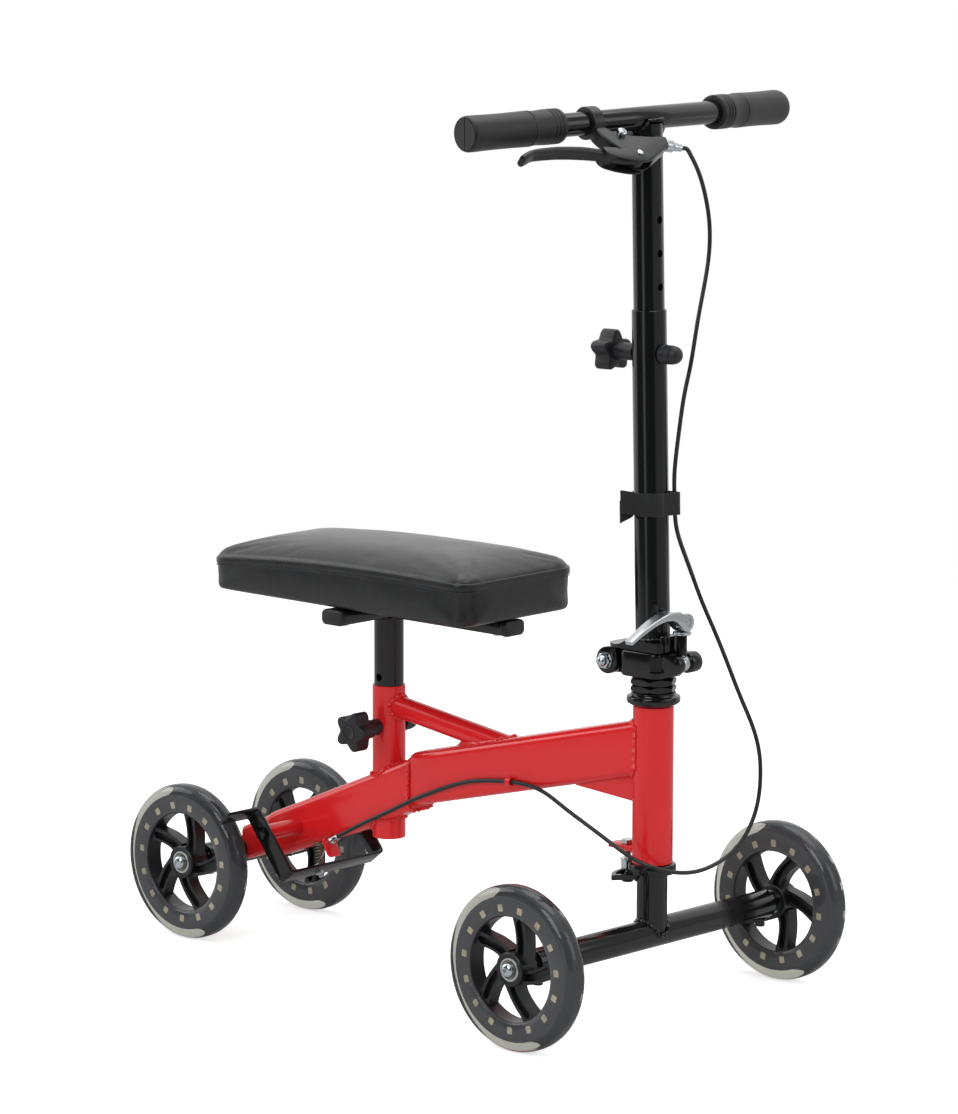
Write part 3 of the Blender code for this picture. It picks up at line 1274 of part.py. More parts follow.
def rear_beam():
    """Rear box beam with its tail on the axle, the brake pivot tube and the cable stop."""
    beam = piece("rear_beam", hollow_beam(REAR_STATIONS, BEAM_WIDTH, BEAM_CORNER, BEAM_WALL), red_paint())
    end_x, end_low, end_high = REAR_STATIONS[-1]
    cap = [(end_x + REAR_CAP_LENGTH, end_low + 0.0017, end_high + 0.0019),
           (end_x + 0.0005, end_low + 0.0002, end_high + 0.0002)]
    weld(beam, solid_beam(cap, BEAM_WIDTH, BEAM_CORNER, -0.0005))
    tail = [(end_x + 0.002, end_low + 0.0072, end_high - 0.0020), (TAIL_END_X, TAIL_END_LOW, TAIL_END_HIGH)]
    weld(beam, solid_beam(tail, TAIL_WIDTH, 0.006))
    reach = YOKE_ARM_Y - YOKE_THICK / 2 - CLEARANCE
    weld(beam, rod(PIVOT_TUBE_RADIUS, -reach, reach, BOLT_SIDES), side_view(*YOKE_PIVOT))
    stop = frame_at((STOP_TAB_AT[0], 0.0, STOP_TAB_AT[1]), (WIRE_ALONG[0], 0, WIRE_ALONG[1]), (0, 1, 0))
    weld(beam, box((-0.032, -0.014), (-0.0055, 0.0185), (-0.0015, 0.0015)), stop)
    neck = FERRULE_RADIUS - 0.0008
    ferrule = turned([(0.0, -FERRULE_LENGTH), (neck, -FERRULE_LENGTH), (neck, -0.0060), (FERRULE_RADIUS, -0.0050),
                      (FERRULE_RADIUS, 0.0), (0.0, 0.0)], HOLE_SIDES, solid=True)
    weld(beam, ferrule, stop @ Matrix.Translation((CABLE_GUIDE_Y, 0.0, 0.0)))
    cut(beam, rod(bore(YOKE_PIN_RADIUS, HOLE_SIDES), -LONG_CUT_REACH, LONG_CUT_REACH, HOLE_SIDES), side_view(*YOKE_PIVOT))
    cut(beam, rod(bore(MAST_RADIUS), SEAT_TUBE_BASE - CUT_REACH, SEAT_TUBE_TOP), Matrix.Translation((SEAT_X, 0.0, 0.0)))
    cut(beam, rod(bore(AXLE_RADIUS), -LONG_CUT_REACH, LONG_CUT_REACH), frame_at((REAR_X, 0.0, AXLE_Z), (0, 1, 0), (1, 0, 0)))


def seat_tube_and_brace():
    """Upright seat tube and the brace that ties it to the main beam."""
    place = Matrix.Translation((SEAT_X, 0.0, 0.0))
    tube = piece("seat_tube", pipe(MAST_RADIUS, bore(POST_RADIUS), SEAT_TUBE_BASE, SEAT_TUBE_TOP), red_paint(),
                 None, place)
    cut(tube, rod(bore(KNOB_BOLT_RADIUS, HOLE_SIDES), -CUT_REACH, CUT_REACH, HOLE_SIDES), side_view(SEAT_X, SEAT_KNOB_LEVEL))
    along = Vector((1.0, 0.0, BRACE_SLOPE)).normalized()
    start = (SEAT_X, 0.0, BRACE_LEVEL)
    brace = piece("brace_tube", pipe(BAR_RADIUS, BAR_RADIUS - BAR_WALL, 0.0, BRACE_LENGTH), red_paint(), None,
                  frame_at(start, along, (0, 1, 0)))
    cut(brace, rod(bore(MAST_RADIUS), SEAT_TUBE_BASE, SEAT_TUBE_TOP + 0.02), place)
    stations = [(x, beam_low(x), beam_high(x)) for x in (BEAM_SEAM_X, FRONT_X)]
    cut(brace, solid_beam(stations, BEAM_WIDTH, BEAM_CORNER, CLEARANCE))


def seat_height():
    """Sliding seat post, its bracket, board and cushion, with the knob and cap nut that lock it."""
    axis = pivot("seat_height_axis", Matrix.Translation((SEAT_X, 0.0, SEAT_KNOB_LEVEL)))
    place = Matrix.Translation((SEAT_X, 0.0, 0.0))
    top = SEAT_RAIL_BASE + SEAT_CAP_LIP - CLEARANCE
    post = piece("seat_post", pipe(POST_RADIUS, POST_RADIUS - POST_WALL, SEAT_POST_BASE, top), black_paint(), axis,
                 place)
    lowest = SEAT_KNOB_LEVEL - SEAT_HOLE_STEP * (SEAT_HOLES // 2)
    post_holes(post, SEAT_HOLES, SEAT_HOLE_STEP, (0, 0, 1), (SEAT_X, 0.0, lowest), (0, -1, 0))
    seat_bracket(axis)
    seat_board(axis)
    seat_cushion(axis)
    through = side_view(SEAT_X, SEAT_KNOB_LEVEL)
    knob("seat_knob", SEAT_BOSS_LENGTH, through, None)
    piece("seat_cap_nut", cap_nut(SEAT_CAP_NUT_LENGTH), black_plastic(), None,
          frame_at((SEAT_X, 0.0, SEAT_KNOB_LEVEL), (0, 1, 0), (1, 0, 0)))


def seat_bracket(axis):
    """Two crossing rails with end caps, and the bolts that hold the board."""
    base = SEAT_RAIL_BASE
    top = base + SEAT_RAIL_HEIGHT
    middle = (base + top) / 2
    outline = rounded_rect(SEAT_RAIL_WIDTH, SEAT_RAIL_HEIGHT - 2 * SEAT_CAP_LIP, 0.004, 1)
    lower = rounded_rect(SEAT_RAIL_WIDTH, SEAT_RAIL_HEIGHT - 3 * SEAT_CAP_LIP, 0.004, 1)
    cap = rounded_rect(SEAT_RAIL_WIDTH + 2 * SEAT_CAP_LIP, SEAT_RAIL_HEIGHT, 0.0045, 1)
    span = SEAT_RAIL_HALF_SPAN
    lip = SEAT_CAP_LENGTH
    across = [(cap, -span), (cap, -span + lip), (outline, -span + lip), (outline, span - lip), (cap, span - lip),
              (cap, span)]
    bracket = piece("seat_bracket", stack(across), black_paint(), axis,
                    frame_at((SEAT_X, 0.0, middle), (0, 1, 0), (1, 0, 0)))
    length = SEAT_RAIL_FRONT - SEAT_X
    forward = [(lower, 0.0), (lower, length - lip), (cap, length - lip), (cap, length)]
    weld(bracket, stack(forward), frame_at((SEAT_X, 0.0, middle), (1, 0, 0), (0, 1, 0)))
    heads = [(SEAT_RAIL_FRONT - 0.028, 0.0), (SEAT_X, -span + 0.022), (SEAT_X, span - 0.022)]
    for x, y in heads:
        weld(bracket, rod(0.0045, base - 0.0025, base + 0.003, BOLT_SIDES), Matrix.Translation((x, y, 0.0)))


def seat_outline(inset=0.0):
    """Cushion outline with extra points along its straight sides."""
    length = CUSHION_FRONT - CUSHION_REAR - 2 * inset
    width = 2 * (CUSHION_HALF_WIDTH - inset)
    centre_x = (CUSHION_FRONT + CUSHION_REAR) / 2
    corner = max(CUSHION_CORNER - inset, 0.006)
    ring = rounded_rect(length, width, corner, 3)
    outline = []
    extra = (2, 6, 2, 6)
    for quarter in range(4):
        arc = ring[quarter * 4:quarter * 4 + 4]
        nxt = ring[(quarter * 4 + 4) % len(ring)]
        outline += arc
        count = extra[(quarter + 1) % 4]
        for i in range(1, count + 1):
            share = i / (count + 1)
            outline.append((arc[-1][0] + (nxt[0] - arc[-1][0]) * share, arc[-1][1] + (nxt[1] - arc[-1][1]) * share))
    return [(x + centre_x, y) for x, y in outline]


def seam_height(x):
    """Height of the top seam, which bows slightly over the length of the cushion."""
    t = (x - (CUSHION_FRONT + CUSHION_REAR) / 2) / 0.2
    return CUSHION_SEAM + 0.006 * t - 0.0065 * t ** 2


def seat_board(axis):
    outline = rounded_rect(CUSHION_FRONT - CUSHION_REAR - 2 * BOARD_INSET, 2 * (CUSHION_HALF_WIDTH - BOARD_INSET),
                           CUSHION_CORNER - BOARD_INSET, centre=((CUSHION_FRONT + CUSHION_REAR) / 2, 0.0))
    base = SEAT_RAIL_BASE + SEAT_RAIL_HEIGHT + CLEARANCE
    piece("seat_board", slab(outline, base, base + BOARD_THICK), plywood(), axis)


def seat_cushion(axis):
    """Padded cushion: recess for the board, drawn-in sides, two seams and a crowned top."""
    board_top = SEAT_RAIL_BASE + SEAT_RAIL_HEIGHT + CLEARANCE + BOARD_THICK + CLEARANCE
    recess = BOARD_INSET - CLEARANCE
    loops = [[(x, y, board_top) for x, y in seat_outline(recess)],
             [(x, y, CUSHION_BASE) for x, y in seat_outline(recess)],
             [(x, y, CUSHION_BASE) for x, y in seat_outline(0.005)],
             [(x, y, CUSHION_BASE + 0.004) for x, y in seat_outline(0.001)]]
    for share, inset in ((0.35, 0.0030), (0.75, 0.0022)):
        level = CUSHION_BASE + (CUSHION_SEAM - SEAM_GAP - CUSHION_BASE) * share
        loops.append([(x, y, level) for x, y in seat_outline(inset)])
    for drop, inset in ((SEAM_GAP, 0.0), (SEAM_GAP - 0.0012, 0.0014), (0.0012, 0.0010), (0.0, 0.0)):
        loops.append([(x, y, seam_height(x) - drop) for x, y in seat_outline(inset)])
    for inset, share in ((0.0016, 0.02), (0.006, 0.30), (0.016, 0.58), (0.034, 0.82), (0.058, 0.95), (0.080, 1.0)):
        loops.append([(x, y, seam_height(x) + CUSHION_CROWN * share) for x, y in seat_outline(inset)])
    piece("seat_cushion", loft(loops), seat_vinyl(), axis)


def yoke_frame(origin_along=0.0, y=0.0):
    """Placement in the brake yoke: X across the walker, Y down the arm, Z over the strap's width."""
    x, z = YOKE_PIVOT
    down = Vector((YOKE_ARM[0], 0.0, YOKE_ARM[1])).normalized()
    over = Vector((0.0, 1.0, 0.0)).cross(down)
    return frame_at(Vector((x, y, z)) + down * origin_along, over, (0, 1, 0))


def brake_yoke():
    """Bent strap that swings on the pivot tube and presses its ears on the rear tyres."""
    axis = pivot("brake_yoke_axis", side_view(*YOKE_PIVOT))
    path = [(-YOKE_TAB_END, -YOKE_TOP), (-YOKE_ARM_Y, -YOKE_TOP), (-YOKE_ARM_Y, YOKE_LENGTH),
            (YOKE_ARM_Y, YOKE_LENGTH), (YOKE_ARM_Y, -YOKE_TOP), (YOKE_TAB_END, -YOKE_TOP)]
    half = YOKE_WIDTH / 2
    yoke = piece("brake_yoke", slab(ribbon(path, YOKE_THICK), -half, half), black_paint(), axis, yoke_frame())
    flats = hexagon(WIRE_ANCHOR_FLATS)
    end = circle(WIRE_ANCHOR_FLATS * 0.375, BOLT_SIDES)
    anchor = stack([(flats, 0.0), (flats, WIRE_ANCHOR_HEIGHT * 0.41), (end, WIRE_ANCHOR_HEIGHT * 0.41),
                    (end, WIRE_ANCHOR_HEIGHT)])
    down = Vector((YOKE_ARM[0], 0.0, YOKE_ARM[1])).normalized()
    foot = Vector((YOKE_PIVOT[0], CABLE_GUIDE_Y, YOKE_PIVOT[1])) + down * YOKE_LENGTH
    weld(yoke, anchor, frame_at(foot, down, (0, 1, 0)))
    cut(yoke, rod(bore(YOKE_PIN_RADIUS, HOLE_SIDES), -LONG_CUT_REACH, LONG_CUT_REACH, HOLE_SIDES), side_view(*YOKE_PIVOT))
    seat = YOKE_ARM_Y + YOKE_THICK / 2 + CLEARANCE
    shank = circle(YOKE_PIN_RADIUS, BOLT_SIDES)
    head = hexagon(YOKE_PIN_FLATS)
    pin = stack([(head, -seat - YOKE_PIN_HEAD), (head, -seat), (shank, -seat), (shank, seat), (head, seat),
                 (head, seat + YOKE_PIN_HEAD)])
    piece("brake_pivot_bolt", pin, bright_steel(), None, side_view(*YOKE_PIVOT))
    top = down * (YOKE_LENGTH - YOKE_THICK / 2 - WIRE_RADIUS - CLEARANCE)
    wire_end = Vector((YOKE_PIVOT[0], CABLE_GUIDE_Y, YOKE_PIVOT[1])) + top
    stop_along = Vector((WIRE_ALONG[0], 0.0, WIRE_ALONG[1])).normalized()
    wire_start = Vector((STOP_TAB_AT[0], CABLE_GUIDE_Y, STOP_TAB_AT[1])) + stop_along * (0.0015 + WIRE_RADIUS)
    cord("brake_wire", [wire_start, wire_end], WIRE_RADIUS, bright_steel(), axis)
    return_spring()


def return_spring():
    """Compression spring between the rear beam and the yoke's cross strap."""
    down = Vector((YOKE_ARM[0], 0.0, YOKE_ARM[1])).normalized()
    strap = Vector((YOKE_PIVOT[0], 0.0, YOKE_PIVOT[1])) + down * (YOKE_LENGTH - YOKE_THICK / 2)
    slope = -down.x / down.z
    foot_x, foot_y = SPRING_FOOT
    lift = (CLEARANCE + 1.5 * SPRING_WIRE + SPRING_RADIUS * down.x) / -down.z
    foot = Vector((foot_x, foot_y, strap.z + (foot_x - strap.x) * slope + lift))
    top_x, top_y = SPRING_TOP
    over_corner = BEAM_CORNER - math.sqrt(BEAM_CORNER ** 2 - (abs(top_y) - BEAM_WIDTH / 2 + BEAM_CORNER) ** 2)
    top = Vector((top_x, top_y, rear_beam_low(top_x + SPRING_RADIUS) + over_corner - CLEARANCE))
    ahead = (foot - top).normalized()
    place = frame_at(top, ahead, (1, 0, 0))
    lead = 2 * SPRING_WIRE
    top_lead = 2 * lead
    wound = (foot - top).length - lead - top_lead
    steps = SPRING_TURNS * SPRING_POINTS_PER_TURN
    points = [place @ Vector((SPRING_RADIUS, 0.0, 0.0))]
    for i in range(steps + 1):
        angle = math.tau * i / SPRING_POINTS_PER_TURN
        points.append(place @ Vector((SPRING_RADIUS * math.cos(angle), SPRING_RADIUS * math.sin(angle),
                                      top_lead + wound * i / steps)))
    points.append(place @ Vector((SPRING_RADIUS, 0.0, top_lead + wound + lead)))
    cord("return_spring", points, SPRING_WIRE, zinc(), None, resolution=1)


# Cable points as (distance ahead of the nearer axle, y, z)
CABLE_UPPER = [(0.0243, 0.0290, 0.9440), (0.0228, 0.0390, 0.9330), (0.0211, 0.0480, 0.9200),
               (0.0208, 0.0570, 0.8965), (0.0218, 0.0620, 0.8697), (0.0213, 0.0610, 0.8310),
               (0.0213, 0.0440, 0.7680), (0.0193, 0.0340, 0.7140), (0.0178, 0.0260, 0.6870)]

CABLE_MIDDLE = [(0.0178, 0.0230, 0.5230), (0.0193, 0.0300, 0.5080), (0.0253, 0.0500, 0.4580),
                (0.0293, 0.0610, 0.4340), (0.0343, 0.0750, 0.4020), (0.0433, 0.0980, 0.3440),
                (0.0483, 0.1090, 0.3190), (0.0533, 0.1170, 0.2890)]

CABLE_TURN = (0.0553, 0.1180, 0.2630)

CABLE_LOWER = [(0.0553, 0.1150, 0.2300), (0.0533, 0.1050, 0.2040), (0.0503, 0.0850, 0.1800),
               (0.0443, 0.0520, 0.1650), (0.0423, 0.0200, 0.1620), (0.0413, 0.0000, 0.1650),
               (0.0393, -0.0180, 0.1685), (0.0323, -0.0330, 0.1735), (0.0193, -0.0390, 0.1780),
               (0.0053, -0.0410, 0.1825), (-0.0157, -0.0380, 0.1890), (-0.0447, -0.0340, 0.1990),
               (-0.0797, -0.0300, 0.2110), (-0.1107, -0.0270, 0.2220), (-0.1257, -0.0255, 0.2290),
               (-0.1407, -0.0245, 0.2340), (-0.1557, -0.0243, 0.2370), (-0.1737, -0.0242, 0.2376)]

CABLE_REAR = [(0.4089, -0.0242, 0.2339), (0.3783, -0.0242, 0.2289), (0.3475, -0.0242, 0.2187),
              (0.3165, -0.0242, 0.2061), (0.2852, -0.0242, 0.1922), (0.2536, -0.0242, 0.1759),
              (0.2218, -0.0242, 0.1606), (0.1897, -0.0242, 0.1440)]


def ahead_of(axle_x, points):
    """Cable points moved to the axle that they are measured from."""
    return [(axle_x + x, y, z) for x, y, z in points]


def eye_offset():
    """Distance of the strap's eye from the mast axis."""
    return MAST_RADIUS + CLEARANCE + STRAP_THICK + CABLE_RADIUS + EYE_PLAY + EYE_WALL / 2


def strap_eye(z):
    """Centre of the strap's eye at a height."""
    x, _, _ = mast_point(z)
    return Vector((x + eye_offset() * EYE_SIDE[0], eye_offset() * EYE_SIDE[1], z))


def split_at(point, before, after):
    """End of one stretch and start of the next, square to the cord where they meet."""
    point = Vector(point)
    along = (Vector(after) - Vector(before)).normalized()
    return ([point - along * 0.006, point - along * CLEARANCE / 2],
            [point + along * CLEARANCE / 2, point + along * 0.006])


def cables(frame_axis, steering_axis, mast_axis, bar_axis):
    """Brake cable from the adjuster, through the strap's eye, round the stem and along the beam to its stop."""
    out, outward, _ = brake_axes()
    along = (out * BARREL_LEAN[0] + outward * BARREL_LEAN[1]).normalized()
    seat = bar_centre() + out * BARREL_SEAT[0] + outward * BARREL_SEAT[1]
    start = seat + along * (BARREL_LENGTH + CLEARANCE)
    eye_top = strap_eye(STRAP_BASE + STRAP_HEIGHT)
    eye_base = strap_eye(STRAP_BASE)
    in_eye, from_eye = split_at(strap_eye(STRAP_BASE + STRAP_HEIGHT / 2), eye_top, eye_base)
    enter = strap_eye(STRAP_BASE + STRAP_HEIGHT + 0.020)
    leave = strap_eye(STRAP_BASE - 0.008)
    upper = [start, start + along * 0.007] + ahead_of(FRONT_X, CABLE_UPPER) + [enter, eye_top] + in_eye
    between = ahead_of(FRONT_X, CABLE_MIDDLE)
    below = ahead_of(FRONT_X, CABLE_LOWER)
    behind = ahead_of(REAR_X, CABLE_REAR)
    into_turn, from_turn = split_at(*ahead_of(FRONT_X, [CABLE_TURN]), between[-1], below[0])
    middle = from_eye + [eye_base, leave] + between + into_turn
    guide = (CABLE_GUIDE_X, CABLE_GUIDE_Y, CABLE_GUIDE_Z)
    into_guide, from_guide = split_at(guide, below[-1], behind[0])
    lower = from_turn + below + into_guide
    stop_along = Vector((WIRE_ALONG[0], 0.0, WIRE_ALONG[1])).normalized()
    end = Vector((STOP_TAB_AT[0], CABLE_GUIDE_Y, STOP_TAB_AT[1])) - stop_along * (FERRULE_LENGTH + CLEARANCE)
    rear = from_guide + behind + [end - stop_along * 0.004, end]
    for name, route, count, axis in (("cable_upper", upper, 24, bar_axis), ("cable_middle", middle, 17, mast_axis),
                                     ("cable_lower", lower, 25, steering_axis), ("cable_rear", rear, 14, frame_axis)):
        cord(name, along_route(route, count), CABLE_RADIUS, cable_sheath(), axis)


def main():
    for obj in list(bpy.data.objects):
        bpy.data.objects.remove(obj, do_unlink=True)
    main_beam()
    rear_beam()
    seat_tube_and_brace()
    head_tube()
    stop_bolt()
    axle("rear_axle", REAR_X, REAR_TRACK, REAR_SET_BOLT_DROP, black_paint(), None)
    for side in (-1, 1):
        wheel("rear", side, None)
    steering_axis = steering()
    fold_block_lower(steering_axis)
    fold_hinge(steering_axis)
    swing_axis = swing_bolt(steering_axis)
    clamp_lever(swing_axis)
    mast_axis = mast(steering_axis)
    knob("mast_knob", MAST_BOSS_LENGTH, frame_at(mast_point(KNOB_LEVEL), [-v for v in mast_across()], MAST_ALONG),
         mast_axis)
    bar_axis = handlebar(mast_axis)
    hand_brake(bar_axis)
    seat_height()
    brake_yoke()
    cables(None, steering_axis, mast_axis, bar_axis)


main()
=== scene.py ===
from math import atan2, cos, dist, exp, hypot, pi, radians, sin, sqrt, tan, tau

import bmesh
import bpy
from mathutils import Matrix, Vector, noise


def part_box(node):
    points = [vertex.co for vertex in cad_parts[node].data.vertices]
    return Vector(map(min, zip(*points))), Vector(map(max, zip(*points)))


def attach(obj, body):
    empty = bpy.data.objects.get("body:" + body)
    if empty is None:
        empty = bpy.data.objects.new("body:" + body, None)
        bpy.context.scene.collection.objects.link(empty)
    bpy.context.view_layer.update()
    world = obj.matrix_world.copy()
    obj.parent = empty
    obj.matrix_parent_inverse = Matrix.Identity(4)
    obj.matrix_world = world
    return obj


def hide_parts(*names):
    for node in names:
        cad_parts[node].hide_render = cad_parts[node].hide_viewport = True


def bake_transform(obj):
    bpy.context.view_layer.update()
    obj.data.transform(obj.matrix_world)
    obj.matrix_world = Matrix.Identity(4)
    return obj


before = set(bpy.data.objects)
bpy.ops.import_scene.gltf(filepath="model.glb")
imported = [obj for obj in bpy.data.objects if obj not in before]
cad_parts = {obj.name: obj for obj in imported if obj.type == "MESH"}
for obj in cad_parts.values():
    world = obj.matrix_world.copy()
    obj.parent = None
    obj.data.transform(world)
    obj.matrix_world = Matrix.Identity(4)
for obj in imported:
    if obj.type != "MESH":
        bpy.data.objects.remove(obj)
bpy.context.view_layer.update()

bl_info = {
    "name": "Folding knee walker",
    "version": (1, 0, 0),
    "blender": (4, 5, 0),
    "location": "View3D > Sidebar > Knee walker",
    "description": "Builds the looks of a folding knee walker round its packed frame",
    "category": "Add Mesh",
}

ROUND = 56              # sides of a large turned piece
PIN_ROUND = 28          # sides of a bolt, pin or bore
SHARP = radians(34)     # steeper edges between faces stay sharp

# Places and sizes in metres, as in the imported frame: X ahead, Y to the left, Z up.
FRONT_X = 0.3147
REAR_X = -0.3147
AXLE_Z = 0.091
RAKE = radians(1.45)
RAKE_START_Z = 0.363
BAR_LEVEL = 0.98685
BAR_SWEEP = radians(6.78)
BAR_DROOP = radians(1.0)
BRAKE_TILT = radians(40)
SEAT_X = -0.0856
SEAT_KNOB_Z = 0.270
MAST_KNOB_Z = 0.7325
FOLD_X, FOLD_Z = 0.2675, 0.3935
CLAMP_X, CLAMP_Z = 0.355, 0.3975
CAM_Z = 0.4436
MAST_RADIUS = 0.01905
POST_RADIUS = 0.017
BAR_RADIUS = 0.0127
TUBE_BORE, POST_BORE = 0.01735, 0.0145      # inner radii of the mast and seat tube, and of the posts and stem
BOLT_HOLE = 0.0043      # radius of a hole for an 8 mm bolt
SEAT_DRILL = 0.0186     # radius of the opening behind the seat tube's wall
KNOB_SEAT = MAST_RADIUS + 0.0003    # where a knob or cap nut rests, from its tube's axis
AXLE_NOSE = 0.0105      # length of an axle's thinner end
CABLE_Y = -0.0242       # the cable's plane beside the beams
BEAM_SLOPE = 0.2468
YOKE_X, YOKE_Z = -0.213, 0.135
YOKE_DOWN = Vector((0.626, 0.0, -0.780)).normalized()
STOP_AT = Vector((-0.1583, CABLE_Y, 0.1252))
STOP_ALONG = Vector((-0.872, 0.0, -0.490)).normalized()
BRACE_ALONG = Vector((1, 0, -0.138)).normalized()
BEAD_STEP = 0.0022      # spacing of a bead's points along a beam
SIDES = ((-1, "right"), (1, "left"))
ENDS = (("front", FRONT_X, "steering", 0.220, 0.2067), ("rear", REAR_X, "frame", 0.0995, 0.0862))


def linear(code):
    """Linear colour of an sRGB hex code."""
    values = [int(code[i:i + 2], 16) / 255 for i in (1, 3, 5)]
    return [v / 12.92 if v <= 0.04045 else ((v + 0.055) / 1.055) ** 2.4 for v in values]


class WalkerColours(bpy.types.PropertyGroup):
    """Colours of the walker's finishes"""
    frame_red: bpy.props.FloatVectorProperty(name="Frame red", description="Powder coat on the beams and tubes",
                                             subtype="COLOR", size=3, min=0, max=1, default=linear("#DC2124"))
    gloss_black: bpy.props.FloatVectorProperty(name="Gloss black", description="Paint on the mast, axles and posts",
                                               subtype="COLOR", size=3, min=0, max=1, default=linear("#121314"))
    vinyl: bpy.props.FloatVectorProperty(name="Vinyl", description="Cover of the knee cushion",
                                         subtype="COLOR", size=3, min=0, max=1, default=linear("#1E1F21"))
    tyre_smoke: bpy.props.FloatVectorProperty(name="Tyre smoke", description="Tint of the clear tyres",
                                              subtype="COLOR", size=3, min=0, max=1, default=linear("#75838E"))


class WalkerSizes(bpy.types.PropertyGroup):
    """Sizes of the walker's fine detail"""
    cable: bpy.props.FloatProperty(name="Cable", description="Diameter of the brake cable's sheath",
                                   unit="LENGTH", default=0.005, min=0.002, max=0.01)
    bead: bpy.props.FloatProperty(name="Weld bead", description="Radius of the weld beads",
                                  unit="LENGTH", default=0.0021, min=0.0005, max=0.005)
    stitch: bpy.props.FloatProperty(name="Stitch", description="Pitch of the cushion's stitches",
                                    unit="LENGTH", default=0.0046, min=0.002, max=0.02)
    fullness: bpy.props.FloatProperty(name="Fullness", description="How far the cushion's cover may swell",
                                      unit="LENGTH", default=0.004, min=0.0, max=0.02)
    spokes: bpy.props.IntProperty(name="Spokes", description="Spokes in each wheel", default=5, min=3, max=9)
    windows: bpy.props.IntProperty(name="Windows", description="Windows in each rim", default=15, min=0, max=30)


def add_node(tree, kind, inputs=None, **settings):
    """Adds a shader node with its settings, and fills or links its inputs."""
    made = tree.nodes.new("ShaderNode" + kind)
    for name, value in settings.items():
        setattr(made, name, value)
    for key, value in (inputs or {}).items():
        if isinstance(value, bpy.types.NodeSocket):
            tree.links.new(value, made.inputs[key])
        else:
            made.inputs[key].default_value = value
    return made


def rgba(colour, gain=1.0):
    return (*[min(c * gain, 1.0) for c in colour], 1.0)


def blank_material(name):
    """New material with an empty node tree."""
    made = bpy.data.materials.new(name)
    made.use_nodes = True
    made.node_tree.nodes.clear()
    return made


def clouds(tree, place, size, detail, rough=0.5):
    """Noise whose spots have a size in metres."""
    return add_node(tree, "TexNoise", {"Vector": place, "Scale": 1 / size, "Detail": detail,
            "Roughness": rough})


def surface(name, colour, rough, metallic=0.0, mottle=0.12, mottle_size=0.02, rough_swing=0.06, grain=0.0008,
        grain_height=0.00002, stretch=None, ior=1.5, sheen=0.0, transmission=0.0):
    """Principled finish with mottled colour, uneven gloss and a fine grain, all at real sizes in metres."""
    made = blank_material(name)
    tree = made.node_tree
    place = add_node(tree, "TexCoord").outputs["Object"]
    if stretch:
        place = add_node(tree, "Mapping", {"Vector": place, "Scale": stretch}).outputs[0]
    cloud = clouds(tree, place, mottle_size, 4.0, 0.6)
    tone = add_node(tree, "Mix", {"Factor": cloud.outputs["Fac"], "A": rgba(colour, 1 - mottle),
            "B": rgba(colour, 1 + mottle)}, data_type="RGBA")
    gloss = add_node(tree, "MapRange", {"Value": cloud.outputs["Fac"], "To Min": max(rough - rough_swing, 0.02),
            "To Max": min(rough + rough_swing, 1.0)})
    fine = clouds(tree, place, grain, 3.0)
    bump = add_node(tree, "Bump", {"Height": fine.outputs["Fac"], "Strength": 1.0, "Distance": grain_height})
    shader = add_node(tree, "BsdfPrincipled",
            {"Base Color": tone.outputs["Result"], "Roughness": gloss.outputs[0], "Metallic": metallic,
            "Normal": bump.outputs[0], "IOR": ior, "Sheen Weight": sheen, "Transmission Weight": transmission})
    add_node(tree, "OutputMaterial", {"Surface": shader.outputs[0]})
    return made


def smoke_urethane(name, colour, rough, **settings):
    """Clear plastic whose smoke tint lies in its depth, so thick parts are dark and thin edges pale."""
    made = surface(name, colour, rough, **settings)
    tree = made.node_tree
    depth = add_node(tree, "VolumeAbsorption", {"Color": rgba(bpy.context.scene.walker_colours.tyre_smoke),
            "Density": 34.0})
    tree.links.new(depth.outputs[0], tree.nodes["Material Output"].inputs["Volume"])
    return made


def vinyl_cover(name, colour, rough):
    """Pebbled leathercloth with creases, painted shade in the grooves between its pebbles, and worn gloss in
    patches.
    """
    made = blank_material(name)
    tree = made.node_tree
    place = add_node(tree, "TexCoord").outputs["Object"]
    warp = clouds(tree, place, 0.006, 2.0)
    shifted = add_node(tree, "MixRGB", {"Fac": 0.003, "Color1": place, "Color2": warp.outputs["Color"]},
            blend_type="ADD")
    cells = add_node(tree, "TexVoronoi", {"Vector": shifted.outputs[0], "Scale": 1 / 0.0015},
            feature="DISTANCE_TO_EDGE")
    pebble = add_node(tree, "MapRange", {"Value": cells.outputs["Distance"], "From Max": 0.25})
    creases = clouds(tree, place, 0.018, 6.0, 0.65)
    cloud = clouds(tree, place, 0.07, 3.0)
    tone = add_node(tree, "MixRGB", {"Fac": cloud.outputs["Fac"], "Color1": rgba(colour, 0.86),
            "Color2": rgba(colour, 1.18)})
    # The grooves between the pebbles are darkened here: painted shade.
    dark = add_node(tree, "MixRGB", {"Fac": 0.35, "Color1": tone.outputs[0], "Color2": pebble.outputs[0]},
            blend_type="MULTIPLY")
    gloss = add_node(tree, "MapRange", {"Value": cloud.outputs["Fac"], "To Min": rough - 0.05,
            "To Max": rough + 0.05})
    first = add_node(tree, "Bump", {"Height": creases.outputs["Fac"], "Strength": 1.0, "Distance": 0.00035})
    second = add_node(tree, "Bump", {"Height": pebble.outputs[0], "Strength": 1.0, "Distance": 0.00005,
            "Normal": first.outputs[0]})
    shader = add_node(tree, "BsdfPrincipled", {"Base Color": dark.outputs[0], "Roughness": gloss.outputs[0],
            "Normal": second.outputs[0], "IOR": 1.5})
    add_node(tree, "OutputMaterial", {"Surface": shader.outputs[0]})
    return made


